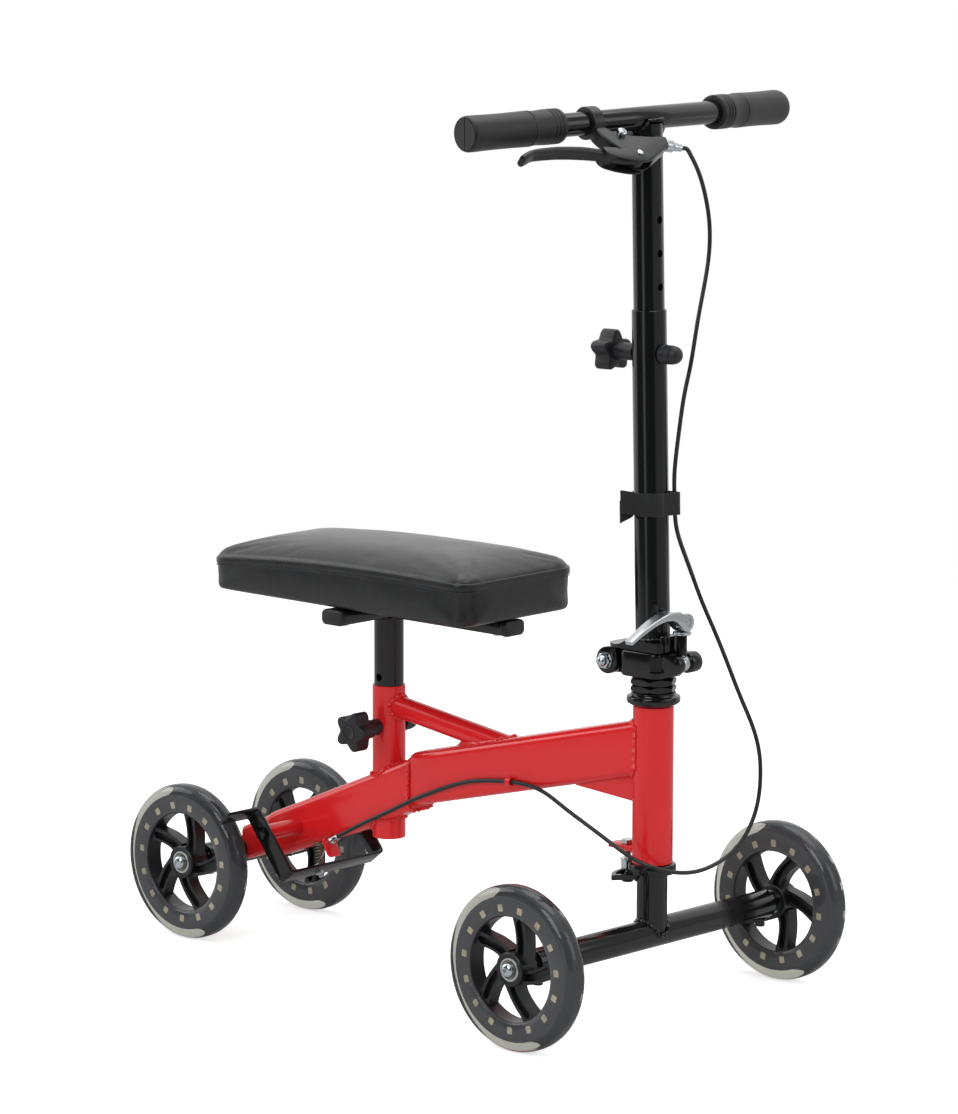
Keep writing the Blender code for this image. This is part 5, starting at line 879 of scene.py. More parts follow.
def build_stem():
    """Stem with its stop sector and their beads."""
    front = at(FRONT_X)
    stem = [(POST_BORE, 0.098), (POST_RADIUS, 0.098), (POST_RADIUS, 0.3993), (0.0166, 0.3997),
            (POST_BORE, 0.3997)]
    keep("stem_skin", spun(stem), "black", "steering", ["steering_stem"], front)
    sector = arc(0.045, 130, 230, 24) + arc(0.0158, 230, 130, 12)
    slot = arc(0.0402, 138.5, 221.5, 20) + arc(0.0311, 221.5, 138.5, 20)
    keep("stop_sector", cut(raised(sector, 0.151, 0.157), raised(slot, 0.14, 0.17)), "black", "steering",
            place=front, edge=0.0006)

    def around(a):
        x, y = polar(0.0174, a)
        return FRONT_X + x, y, AXLE_Z + sqrt(max(0.0160 ** 2 - x ** 2, 1e-8)) + 0.0004

    bead("bead_stem", ring_points(66, around), "steering", "black", 0.0026, 3)
    arc_bead("bead_sector", 0.0176, 0.8, 0.08, 21, (0.1576, 0.1504), 0.0015, "black", "steering")


def build_headset():
    """Bearing cups and the two nuts on the stem."""
    front = at(FRONT_X)
    lower = mm((17.3, 159.5), (25, 159.5), (26, 160), (26.35, 161.1), (26.35, 168), (25.8, 169.7),
            (24.3, 170.5), (17.3, 170.5))
    keep("lower_cup_skin", spun(lower), "black", "frame", ["lower_bearing_cup"], front)
    upper = mm((17.3, 346.6), (22.6, 346.6), (23.6, 347.4), (26.2, 348.6), (28.8, 350.3), (29.6, 352),
            (29.6, 356), (29, 357.4), (27.4, 358), (25.2, 358.6), (24.6, 360), (24.6, 361.8), (17.3, 362))
    keep("upper_cup_skin", spun(upper), "black", "frame", ["upper_bearing_cup"], front)
    for name, node_name, base, height in (("cone_nut_skin", "bearing_cone_nut", 0.3623, 0.0072),
            ("lock_nut_skin", "headset_lock_nut", 0.3698, 0.0077)):
        keep(name, hex_nut(0.046, height, 0.0173), "black", "steering", [node_name], at(FRONT_X, 0, base))


def build_stop_bolt():
    """Steering stop bolt with its nut, washer and rubber buffer."""
    x = FRONT_X - 0.0357
    bolt = [(0.0, 0.1505), (0.0037, 0.1505), *thread(0.004, 0.1575, 0.1688, 0.0012),
            *thread(0.004, 0.1692, 0.1862, 0.0012), (0.0036, 0.1868), (0.0, 0.1868)]
    keep("stop_bolt_shank", spun(bolt, PIN_ROUND), "steel", "frame", ["steering_stop_bolt"], at(x))
    keep("stop_bolt_nut_low", hex_nut(0.0135, 0.0112, 0.0035), "steel", "frame", place=at(x, 0, 0.1575))
    washer = spun(mm((3.9, 168.8), (8.5, 168.8), (8.5, 170.2), (3.9, 170.2)), 32)
    keep("stop_bolt_washer", washer, "steel", "frame", place=at(x))
    keep("stop_bolt_head", hex_nut(0.0132, 0.0052), "steel", "frame", place=at(x, 0, 0.1864))
    buffer = mm((0, 143.2), (4.2, 143.2), (6.2, 143.8), (6.6, 145.2), (6.2, 146.8), (8, 147.6), (8.3, 149),
            (7.8, 150.4), (0, 150.6))
    keep("stop_bolt_buffer", spun(buffer, 36), "rubber", "frame", place=at(x))


def spoke_solid(tip, half_width, low, high, place):
    """One curved spoke from the hub to the rim, drawn flat and raised."""
    root, step = 0.0158, 0.02

    def middle(share, radius):
        return Vector(polar(radius, radians(8) - radians(30) * max(1 - share, 0) ** 1.5))

    left, right = [], []
    for share in [i / 14 for i in range(15)]:
        radius = root + (tip - root) * share
        centre = middle(share, radius)
        ahead = (middle(share + step, radius + (tip - root) * step) - centre).normalized()
        side = Vector((-ahead.y, ahead.x)) * half_width(share)
        left.append(tuple(centre + side))
        right.append(tuple(centre - side))
    return raised(right + list(reversed(left)), low, high, place=place)


def window_blocks(sizes, side, layers):
    """One block in each window of a rim, for each layer given as (low, high)."""
    outline = rounded_rect(side, side, 0.0012, 2, (0.0672, 0.0))
    turns = [Matrix.Rotation(tau * (k + 0.25) / sizes.windows, 4, "Z") for k in range(sizes.windows)]
    return together(*[raised(outline, low, high, place=turn) for turn in turns for low, high in layers])


def rim_mesh(sizes):
    """Moulded core: windowed ring, hub and channel spokes."""
    ring = spun(mm((58.5, -11), (73.9, -11), (79.3, -9.5), (79.3, 9.5), (73.9, 11), (58.5, 11), (57.3, 9.8),
            (57.3, -9.8)), 90)
    hub = spun(mm((13.2, -13), (17.8, -13), (19, -11.8), (19, 11.8), (17.8, 13), (14.6, 13), (13.2, 12.4)), 60)

    def spoke(share):
        return 0.0074 + 0.0028 * abs(2 * share - 1) ** 4

    def groove(share):
        return 0.0041 * min(1.0, sqrt(max(1 - (2 * share - 1) ** 10, 0.02)))

    turns = [Matrix.Rotation(tau * k / sizes.spokes, 4, "Z") for k in range(sizes.spokes)]
    spokes = [spoke_solid(0.0590, spoke, -0.0075, 0.0078, turn) for turn in turns]
    grooves = [spoke_solid(0.0562, groove, low, high, turn)
            for turn in turns for low, high in ((0.0012, 0.0200), (-0.0200, -0.0012))]
    hub_guard = spun(mm((0, -14), (18.6, -14), (18.6, 14), (0, 14)), 60)
    return carved(cut(ring, window_blocks(sizes, 0.0079, [(-0.03, 0.03)])), ("UNION", together(*spokes)),
            ("DIFFERENCE", cut(together(*grooves), hub_guard)), ("UNION", hub),
            ("DIFFERENCE", rod(0.0132, -0.02, 0.02, sides=60)))


def tyre_mesh():
    """Clear tyre cast round the core: a tread with rounded shoulders and thin skins over the ring."""
    outer = mm((58.8, 10.7), (58.8, 11.6), (59.8, 12.4), (66, 13.1), (73, 13.8))
    for i in range(13):
        a = radians(90 - 90 * i / 12)
        outer.append((0.091 - 0.0125 * (1 - cos(a)) ** 1.15, 0.014 - 0.0125 * (1 - sin(a))))
    inner = mm((73.6, -10.7), (79, -9.2), (79, 9.2), (73.6, 10.7))
    return spun(outer + [(r, -h) for r, h in reversed(outer)] + inner, 120)


def build_wheels(sizes):
    """Four wheels, each with its core, window fillings, tyre, bearing and bolt."""
    core = rim_mesh(sizes)
    shell = mm((5.4, -12.5), (13.1, -12.5), (13.1, 12), (12.7, 12.5), (11, 12.5), (10.7, 11.9), (7.8, 11.9),
            (7.5, 12.5), (5.4, 12.5))
    head = mm((0, -39), (4.2, -39), (5, -38.2), (5, 12.9), (8.3, 12.9), (8.3, 15), (7.9, 16.3), (6.8, 17.8),
            (5, 19), (3, 19.4), (0, 19.5))
    for end, x, carrier, half_track, _ in ENDS:
        for side, label in SIDES:
            name = f"{end}_{label}"
            body = f"wheel_{name}"
            place = frame_at((x, side * half_track, AXLE_Z), (0, side, 0))
            # The core's ring under the tyre takes the bonded finish: mid grey instead of black, painted light for
            # the light that the tyre spreads over it.
            keep(f"core_{name}", core.copy(), "nylon", body, [f"rim_{name}"], place, edge=0.00045,
                    inlay=("bonded", lambda c: hypot(c.x, c.y) > 0.0592))
            # The window fillings are painted pale cream: painted light for the light that shines through the clear
            # urethane.
            keep(f"windows_{name}", window_blocks(sizes, 0.0078, [(0.0050, 0.0100), (-0.0100, -0.0050)]),
                    "pale", body, place=place)
            keep(f"tread_{name}", tyre_mesh(), "tyre", body, [f"tyre_{name}"], place)
            keep(f"race_{name}", spun(shell, 44), "steel", body, [f"bearing_{name}"], place,
                    inlay=("seal", lambda c: 0.0078 < hypot(c.x, c.y) < 0.0107 and c.z > 0.0115))
            bolt = cut(spun(head, 40), rod(0.0029, 0.0162, 0.03, sides=6))
            keep(f"wheel_bolt_skin_{name}", bolt, "steel", carrier, [f"wheel_bolt_{name}"], place)
    core.free()


HINGE, CLAMP = side_view(FOLD_X, FOLD_Z), side_view(CLAMP_X, CLAMP_Z)


def build_fold_joint():
    """Lower and upper fold blocks, the hinge's bolt and nut, and the clamp."""
    build_lower_block()
    build_hinge_bolt()
    build_upper_block()
    build_clamp()


def build_lower_block():
    """Lower block with its knuckle, ears and notches, and the clamp's trunnion."""
    block = raised(rounded_rect(0.0565, 0.050, 0.010, 8, (0.31175, 0)), 0.379, 0.409, 0.0040, 5)
    knuckle = hull([(FOLD_X, FOLD_Z, 0.015), (0.2955, 0.382, 0.001), (0.2955, 0.406, 0.001)])
    ear = hull([(CLAMP_X, CLAMP_Z, 0.0115), (0.336, 0.388, 0.001), (0.336, 0.406, 0.001)])
    steps = [("UNION", raised(outline, low, high, 0.0010, 2, side_view()))
            for outline, low, high in ((knuckle, -0.012, 0.012), (ear, 0.0065, 0.016), (ear, -0.022, -0.0065))]
    steps += [("DIFFERENCE", rod(0.0053, -0.05, 0.05, HINGE)),
            ("DIFFERENCE", rod(0.0173, 0.36, 0.40, at(FRONT_X), ROUND))]
    for side, _ in SIDES:
        notch = raised(rounded_rect(0.0135, 0.013, 0.0012, 2, (0.00325, 0)), 0.387, 0.404,
                place=frame_at((0.336, side * 0.021, 0.0), (0, 0, 1), (1, side, 0)))
        steps.append(("DIFFERENCE", notch))
    keep("fold_block_lower_skin", carved(block, *steps), "cast", "steering", ["fold_block_lower"])
    keep("clamp_trunnion", spun(mm((0, -21), (4, -21), (4, 15), (0, 15)), PIN_ROUND, CLAMP), "steel",
            "steering")
    cap = mm((0, -22.9), (5.5, -22.9), (6.2, -22.4), (6.2, -21.8), (0, -21.8))
    keep("clamp_trunnion_head", spun(cap, PIN_ROUND, CLAMP), "cast", "steering")


def build_hinge_bolt():
    """Hinge bolt with its domed nut and washer."""
    seat = 0.0253
    head = [(0.0, -seat - 0.0057), (0.0045, -seat - 0.0057), (0.0070, -seat - 0.0050), (0.0086, -seat - 0.0034),
            (0.0090, -seat - 0.0016), (0.0090, -seat), (0.0050, -seat), (0.0050, seat + 0.0017),
            (0.0, seat + 0.0017)]
    keep("fold_hinge_bolt_skin", spun(head, 36), "steel", "steering", ["fold_hinge_bolt"], HINGE)
    dome = mm((0, 7), (6.4, 7), (6.2, 8.6), (5.4, 10.4), (3.8, 11.8), (1.8, 12.4), (0, 12.5))
    nut_place = side_view(FOLD_X, FOLD_Z, -seat)
    keep("fold_hinge_nut_skin", together(hex_nut(0.0158, 0.0060), spun(dome, 32)), "steel", "steering",
            ["fold_hinge_nut"], nut_place)
    keep("fold_hinge_washer", spun(mm((0, 0), (9.2, 0), (9.2, 1.2), (0, 1.2)), 36, nut_place), "steel",
            "steering")


def build_upper_block():
    """Upper block with its cheeks and lip, and the mast's bead."""
    base, top = 0.4093, 0.4200
    plan = raised(round_corners(mm((262, -14), (276, -24.95), (343, -24.95), (343, 24.95), (276, 24.95),
            (262, 14)), [0.006, 0.010, 0.0085, 0.0085, 0.010, 0.006], 6), base - 0.001, top + 0.001)
    slope = round_corners([(0.250, base), (0.350, base), (0.350, top), (0.2965, top), (0.2850, top - 0.0068),
            (0.250, top - 0.0078)], [0.001, 0.001, 0.001, 0.004, 0.006, 0.001], 3)
    plate = carved(plan, ("INTERSECT", raised(slope, -0.03, 0.03, place=side_view())))
    cheek = hull([(FOLD_X, FOLD_Z, 0.015), (FOLD_X + 0.011, 0.4085, 0.0015)])
    lip = raised(rounded_rect(0.013, 0.032, 0.004, 6, (0.3415, 0)), base + 0.0003, base + 0.0182, 0.0015, 3)
    parts = [cut(solid, rod(0.0082, 0.39, 0.45, at(CLAMP_X), 36)) for solid in (plate, lip)]
    parts += [cut(raised(cheek, low, high, 0.0010, 2, side_view()), rod(0.0053, -0.05, 0.05, HINGE))
            for low, high in ((0.0123, 0.0249), (-0.0249, -0.0123))]
    keep("fold_block_upper_skin", together(*parts), "cast", "mast", ["fold_block_upper"], edge=0.0010)
    foot = frame_at(mast_point(0.4205), MAST_ALONG)
    bead("bead_mast_foot", [foot @ Vector((x, y, 0.0)) for x, y in circle(0.0204, 60)], "mast", "cast", 0.0029)


def build_clamp():
    """Eye bolt with its threaded sleeve and washers, and the polished cam lever."""
    cam = end_view(CLAMP_X, 0, CAM_Z)
    eye = raised(circle(0.009, 40), -0.0062, 0.0062, 0.0008, 2, CLAMP)
    washer = 0.4093 + 0.0182 + 0.0020
    shaft = [(0.0, 0.4030), (0.0045, 0.4030), (0.0045, 0.4065), *thread(0.0060, 0.4070, washer - 0.0006, 0.0017,
            0.0008), (0.0045, washer - 0.0003), (0.0045, CAM_Z + 0.004), (0.0, CAM_Z + 0.004)]
    body = carved(eye, ("UNION", spun(shaft, 32, at(CLAMP_X))),
            ("DIFFERENCE", rod(BOLT_HOLE, -0.02, 0.02, CLAMP)))
    keep("swing_bolt_skin", body, "cast", "clamp_bolt", ["swing_bolt"], inlay=("steel", lambda c: c.z < 0.4067))
    rings = mm((4.6, 0), (9.8, 0), (10.4, 0.5), (10.4, 1.7), (10, 2.1), (10.3, 2.4), (10.3, 3.4), (9.6, 3.8),
            (4.6, 3.8))
    keep("clamp_washers", spun([(r, washer + h) for r, h in rings], 44, at(CLAMP_X)), "steel", "clamp_bolt")
    pin = mm((0, -9.2), (3.6, -9.2), (4, -8.8), (4, 8.8), (3.6, 9.2), (0, 9.2))
    keep("clamp_cam_pin", spun(pin, PIN_ROUND, cam), "steel", "clamp_bolt")

    top = smooth_path(mm((-4, 9.8), (-14, 12.8), (-27, 13.6), (-42, 10.2), (-60, 3.8), (-76, -3.6),
            (-88.5, -10.2)), 5)
    under = smooth_path(mm((-87, -14), (-73, -7.6), (-57, -0.8), (-43, 3.6), (-30, 5.2), (-19, 3), (-9.8, -5)),
            5)
    round_end = [Vector(p) for p in arc(0.0102, -142, 98, 24)]
    lever = raised([tuple(p)[:2] for p in [*top, *under, *round_end]], -0.0093, 0.0093, 0.0013, 3)
    for vert in lever.verts:
        vert.co.z *= 1 - 0.42 * min(max((-vert.co.x - 0.012) / 0.060, 0.0), 1.0)
    slot = raised(rounded_rect(0.030, 0.040, 0.002, 2, (0.005, -0.004)), -0.0049, 0.0049, place=cam)
    keep("cam_lever_skin", cut(moved(lever, cam), slot, rod(BOLT_HOLE, -0.03, 0.03, cam)), "alloy",
            "clamp_handle", ["clamp_lever"])


def star_outline(radius):
    """Five-lobed outline with rounded tips and valleys."""
    turns = [tau * i / 150 for i in range(150)]
    return [polar(radius * (0.675 + 0.325 * (0.5 + 0.5 * cos(5 * a)) ** 0.95), a) for a in turns]


def knob(name, node_name, boss, place, body):
    """Five-lobed hand knob with a dished cap and a tapered boss."""
    face = KNOB_SEAT + boss
    star = raised(star_outline(0.0234), face, face + 0.022, 0.0032, 5)
    stem = [(0.0, -boss), (0.0088, -boss), (0.0093, 0.0006 - boss), (0.0098, 0.001), (0.0, 0.001)]
    dish = mm((0, 21.2), (5.8, 21.2), (7.4, 22.2), (7.4, 30), (0, 30))
    ring = mm((7.8, 21.4), (8.6, 21.4), (9, 22.2), (9, 30), (7.8, 30))
    stem, dish, ring = [spun([(r, face + h) for r, h in profile], 40) for profile in (stem, dish, ring)]
    made = carved(star, ("UNION", stem), ("DIFFERENCE", dish), ("DIFFERENCE", ring))
    keep(name, made, "knob", body, [node_name], place)


def ribbed_cap(name, node_name, length, place, body):
    """Ribbed cap nut with a domed end."""
    def outline(radius, rib=0.0):
        return [polar(radius * (1 - rib * (i % 3 == 0)), tau * i / 72) for i in range(72)]

    stations = [(outline(0.0104), 0.0), (outline(0.0110), 0.0005), (outline(0.0110), 0.0036),
            (outline(0.0104), 0.0042), (outline(0.0104, 0.05), 0.0048),
            (outline(0.0104, 0.05), length - 0.0115), (outline(0.0102), length - 0.0108),
            (outline(0.0092), length - 0.0104)]
    for k in range(7):
        across, rise = polar(0.0099, radians(90 * k / 7))
        stations.append((outline(across), length - 0.0099 + rise))
    loops = [[(x, y, KNOB_SEAT + h) for x, y in points] for points, h in stations]
    keep(name, bridged(loops), "knob", body, [node_name], place)


def build_mast():
    """Mast tube, both knobs with their cap nuts, and the cable's tape."""
    foot = 0.4130
    length = (0.7801 - foot) / cos(RAKE)
    tube = [(TUBE_BORE, 0.0), (MAST_RADIUS, 0.0), (MAST_RADIUS, length - 0.0006),
            (MAST_RADIUS - 0.0005, length), (TUBE_BORE, length)]
    keep("mast_skin", spun(tube, 64), "black", "mast", ["mast_tube"], frame_at(mast_point(foot), MAST_ALONG))
    through, back = [frame_at(mast_point(MAST_KNOB_Z), way, MAST_ALONG) for way in (MAST_ACROSS, -MAST_ACROSS)]
    ribbed_cap("mast_cap_nut_skin", "mast_cap_nut", 0.0252, through, "mast")
    knob("mast_knob_skin", "mast_knob", 0.0255, back, "mast_clamp_knob")
    ribbed_cap("seat_cap_nut_skin", "seat_cap_nut", 0.0236, frame_at((SEAT_X, 0, SEAT_KNOB_Z), (0, 1, 0)),
            "frame")
    knob("seat_knob_skin", "seat_knob", 0.0245, side_view(SEAT_X, SEAT_KNOB_Z), "seat_clamp_knob")
    build_strap()


def build_strap():
    """Hook and loop tape round the mast and the cable, with its two ends left standing."""
    toward = Vector((0.845, 0.534))     # from the mast to the cable
    to_cable = atan2(toward.y, toward.x)
    left, front = Vector((-0.7337, -0.6796)), Vector((0.6796, -0.7337))
    start = atan2(front.y, front.x) - 0.25
    end = atan2(left.y, left.x) + tau
    path = [(left * a + front * b, shift) for a, b, shift in ((0.034, 0.0155, 0.0045), (0.026, 0.0165, 0.003),
            (0.017, 0.0160, 0.001))]
    for radius, count, first, last, centre in ((MAST_RADIUS + 0.0013, 6, start, to_cable - 0.62, (0, 0)),
            (0.0046, 6, to_cable - 1.25, to_cable + 1.25, toward * 0.0262),
            (MAST_RADIUS + 0.0013, 8, to_cable + 0.62, end - 0.13, (0, 0))):
        path += [(Vector(polar(radius, first + (last - first) * k / count, centre)), 0.0)
                for k in range(count + 1)]
    path += [(left * a + front * b, shift) for a, b, shift in ((0.0215, 0.0035, -0.002),
            (0.029, 0.0090, -0.005), (0.0345, 0.0115, -0.0075))]
    fine = smooth_path([(p.x, p.y, shift) for p, shift in path], 4)
    section = rounded_rect(0.0018, 0.025, 0.0006, 2)

    def rippled(i):
        ripple = 0.0006 * noise.noise(Vector((fine[i].x, fine[i].y, 0.0)) * 90)
        return [(a, b + ripple) for a, b in section]

    keep("cable_tape", bridged(swept(fine, rippled)), "tape", "mast", ["cable_strap"],
            frame_at(mast_point(0.569), MAST_ALONG))


def bar_curve(reach, steps=9):
    """Centreline of the handlebar with its bend rounded out."""
    centre = mast_point(BAR_LEVEL)
    near = [centre + bar_along(-1) * s for s in (reach, 0.16, 0.08, 0.030)]
    far = [centre + bar_along(1) * s for s in (0.030, 0.08, 0.16, reach)]
    turn = []
    for k in range(1, steps):
        t = k / steps
        turn.append(near[-1] * (1 - t) ** 2 + centre * 2 * t * (1 - t) + far[0] * t ** 2)
    return near + turn + far


def build_handlebar():
    """Handlebar with its post, webs and grips."""
    base = 0.640
    length = (BAR_LEVEL - 0.006 - base) / cos(RAKE)
    post = spun([(POST_BORE, 0.0), (0.0166, 0.0), (POST_RADIUS, 0.0004), (POST_RADIUS, length),
            (POST_BORE, length)], 60, frame_at(mast_point(base), MAST_ALONG))
    level = mast_point(MAST_KNOB_Z)
    tools = [rod(BOLT_HOLE, -0.03, 0.03, frame_at(level + MAST_ALONG * 0.0363 * k, MAST_ACROSS, MAST_ALONG), 24)
            for k in range(5)]
    keep("handlebar_post_skin", cut(post, together(*tools, tube_along(bar_curve(0.06), 0.0122, 40))), "black",
            "handlebar_unit", ["handlebar_post"], edge=0.0004)
    keep("handlebar_skin", tube_along(bar_curve(0.252), BAR_RADIUS, 48), "black", "handlebar_unit",
            ["handlebar"])

    middle = mast_point(BAR_LEVEL)

    def under_bar(a):
        x, y = polar(0.0174, a)
        drop = sqrt(max((BAR_RADIUS + 0.0004) ** 2 - x ** 2, 2e-6))
        return middle.x + x - 0.4 * drop * sin(RAKE), y, middle.z - drop

    bead("bead_bar_post", ring_points(72, under_bar), "handlebar_unit", "black", 0.0019)
    for side, label in SIDES:
        along = bar_along(side)
        place = frame_at(middle + along * 0.0165 - MAST_ALONG * 0.0120, along.cross(MAST_ALONG), along)
        flip = 1 if place.to_3x3().col[1].dot(MAST_ALONG) > 0 else -1
        web = [(-0.002, 0.003 * flip), (0.0175, 0.003 * flip), (0.0165, 0.0), (0.0010, -0.0225 * flip),
                (-0.002, -0.0235 * flip)]
        keep(f"bar_web_{label}", raised(web, -0.002, 0.002, 0.0006, 2, place), "black", "handlebar_unit")
    for side, label in SIDES:
        keep(f"grip_{label}_skin", grip_mesh(), "rubber", "handlebar_unit", [f"grip_{label}"],
                frame_at(middle, bar_along(side)))


def grip_mesh():
    """Moulded grip: ribbed throat, waisted collar, seam, smooth barrel and a slotted end plug."""
    start, end = 0.1275, 0.2565
    throat = mm((13, 0.2), (16.8, 0), (18.3, 0.8), (18.9, 2.2))
    for z in (0.0040, 0.0092, 0.0144):
        throat += [(0.0190, z), (0.0191, z + 0.0014), (0.0181, z + 0.0022), (0.0180, z + 0.0032),
                (0.0190, z + 0.0042)]
    throat += mm((19.1, 21), (18.8, 25), (18.4, 32), (18.6, 39), (19.2, 43.2), (19.3, 44), (18.4, 44.8),
            (18.4, 45.4), (19.1, 46.2), (19.2, 48), (19, 60), (18.8, 80), (18.9, 100), (19.3, 116))
    plug = mm((19.3, 4.8), (19.1, 3), (18.6, 1.4), (17.8, 0.4), (17.4, 0.2), (17.2, 1), (16.9, 1), (16.7, 0),
            (0, 0))
    profile = [(0.0, end - 0.004), (0.0130, end - 0.004)]
    profile += [(r, start + z) for r, z in throat] + [(r, end - z) for r, z in plug]
    slot = raised(mm((-0.5, -20), (0.5, -20), (0.5, 20), (-0.5, 20)), end - 0.0016, end + 0.01)
    return cut(spun(profile, 64), slot)


def build_hand_brake():
    """Bracket with its clamp ring and screws, cable adjuster and finger lever."""
    build_bracket()
    build_barrel()
    build_finger_lever()


def build_bracket():
    """Bracket with its clamp ring and screws, and the cable's nipple."""
    out, outward, square = brake_axes()
    centre = mast_point(BAR_LEVEL)
    place, bar = brake_place(), frame_at(centre, outward, out)
    outline = round_corners(mm((13.5, 75), (23, 69), (30, 50), (34.5, 24), (36.2, 2), (49, 6), (59, 25),
            (68, 43), (70, 53), (67.5, 62), (59, 69), (44, 80), (26, 88.8), (13.5, 89.8)), 0.006, 5)
    bracket = raised(outline, -0.0086, 0.0086, 0.0028, 5, place)
    slot = raised(mm((46, 40), (95, 40), (95, 95), (46, 95)), -0.0053, 0.0053, place=place)
    ring = spun(mm((13, 0), (17.1, 0), (17.8, 0.8), (17.8, 13.7), (17.1, 14.5), (13, 14.5)), 56,
            frame_at(centre + outward * 0.0755, outward, out))
    split = raised(mm((-30, -0.6), (0, -0.6), (0, 0.6), (-30, 0.6)), 0.06, 0.10, place=bar)
    made = carved(bracket, ("UNION", ring), ("DIFFERENCE", slot),
            ("DIFFERENCE", rod(0.0130, 0.06, 0.10, bar, 48)), ("DIFFERENCE", split))
    keep("brake_bracket_skin", made, "satin", "handlebar_unit", ["brake_bracket"], edge=0.0004)
    for sign, label in ((1, "top"), (-1, "base")):
        head = spun(mm((0, 10.4), (3.6, 10.4), (3.6, 11.4), (3.1, 12), (0, 12.3)), 30)
        if sign < 0:
            bmesh.ops.scale(head, vec=(1, 1, -1), verts=head.verts)
            bmesh.ops.recalc_face_normals(head, faces=head.faces)
        keep(f"lever_screw_{label}", head, "steel", "handlebar_unit", place=brake_place(0.059, 0.057))
    screw = spun(mm((0, -12.5), (5.4, -12.5), (5.4, -7), (5, -6.2), (3.6, -5.4), (1.8, -5), (0, -4.9)), 36)
    slots = [raised([(-a, -b), (a, -b), (a, b), (-a, b)], low, 0.0) for a, b, low in ((0.0026, 0.0004, -0.0066),
            (0.0004, 0.0026, -0.0064))]
    keep("clamp_screw", cut(screw, *slots), "steel", "handlebar_unit",
            place=frame_at(centre + out * 0.0275 + outward * 0.0610 - square * 0.0190, -square, out))
    spindle = spun(mm((0, -5.2), (4.6, -5.2), (4.6, 5.2), (0, 5.2)), PIN_ROUND)
    keep("cable_nipple", spindle, "steel", "handlebar_unit", place=brake_place(0.0500, 0.0500))


def build_barrel():
    """Ribbed barrel that adjusts the cable."""
    profile = mm((0, -6), (3.4, -6), (3.4, 0.6), (6, 0.7), (6.6, 1.4), (6.6, 8.6), (5.8, 9.8), (4.6, 11),
            (4.6, 15), (4.1, 16.2), (4.1, 20), (3.6, 20.6), (0, 20.6))
    ribs = [raised(circle(0.0007, 8, (0.0068, 0.0)), 0.0012, 0.0088,
            place=Matrix.Rotation(tau * k / 16, 4, "Z")) for k in range(16)]
    at_barrel, barrel_along = barrel_axis()
    keep("barrel_skin", cut(spun(profile, 48), together(*ribs)), "steel", "handlebar_unit", ["barrel_adjuster"],
            frame_at(at_barrel, barrel_along, brake_axes()[2]))


def build_finger_lever():
    """Curved finger lever with its cheeks, bridge and hub."""
    # Rows of the lever: distance from the bar, distance along it, half thickness and half height.
    rows = mm((59, 62, 5.8, 4.8), (58, 74, 5.4, 4.8), (54.5, 86, 5, 6), (48, 101, 4.6, 7.2),
            (42.5, 125, 4.2, 8), (39.3, 150.7, 3.8, 8.1), (38.6, 171.2, 3.5, 8), (39.2, 189.5, 3.2, 7.8),
            (43, 202, 3.6, 8), (45.5, 208.5, 3.6, 7))
    per_row = 5
    path = smooth_path([(x, y, 0) for x, y, _, _ in rows], per_row)

    def section(i):
        row = min(i / per_row, 8.999)
        k = int(row)
        t, w = [rows[k][c] + (rows[k + 1][c] - rows[k][c]) * (row - k) for c in (2, 3)]
        return rounded_rect(2 * t, 2 * w, min(t, w) * 0.94, 6)

    loops = swept(path, section)
    tip = path[-1] + (path[-1] - path[-2]).normalized() * 0.0022
    loops.append([tuple(Vector(q).lerp(tip, 0.45)) for q in loops[-1]])
    cheek = round_corners(mm((50, 52), (64, 47), (71.5, 54), (70, 68), (64, 86), (56, 100), (44, 101), (50, 86),
            (51, 70)), 0.006, 5)
    bridge = round_corners(mm((48, 80), (59, 80), (56, 99.5), (44.5, 100.5)), 0.003, 3)
    lever = together(bridged(loops), raised(bridge, -0.0100, 0.0100, 0.0006, 2),
            raised(cheek, 0.0089, 0.0106, 0.0005, 2), raised(cheek, -0.0106, -0.0089, 0.0005, 2),
            raised(circle(0.0085, 44, (0.059, 0.057)), -0.005, 0.005, 0.0006, 2))
    keep("finger_lever_skin", lever, "satin", "finger_lever", ["brake_lever"], brake_place())


def build_seat():
    """Seat post, rails with their plugs and screws, board and cushion."""
    build_seat_post()
    build_seat_rails()
    board = raised(rounded_rect(0.373, 0.163, 0.0085, 6, (-0.082, 0)), 0.4153, 0.4270, 0.0012, 2)
    keep("seat_board_skin", board, "board", "seat_unit", ["seat_board"])
    build_cushion()


def build_seat_post():
    """Seat post with its row of holes."""
    post = spun([(POST_BORE, 0.175), (0.0166, 0.175), (POST_RADIUS, 0.1754), (POST_RADIUS, 0.3972),
            (POST_BORE, 0.3972)], 60)
    holes = [rod(BOLT_HOLE, -0.03, 0.03, frame_at((0, 0, SEAT_KNOB_Z + 0.0285 * k), (0, -1, 0), (0, 0, 1)), 24)
            for k in range(-2, 3)]
    keep("seat_post_skin", cut(post, together(*holes)), "black", "seat_unit", ["seat_post"], at(SEAT_X),
            edge=0.0004)
    bead("bead_seat_post", [(x, y, 0.3966) for x, y in circle(0.0176, 56, (SEAT_X, 0.0))], "seat_unit", "black",
            0.0019)


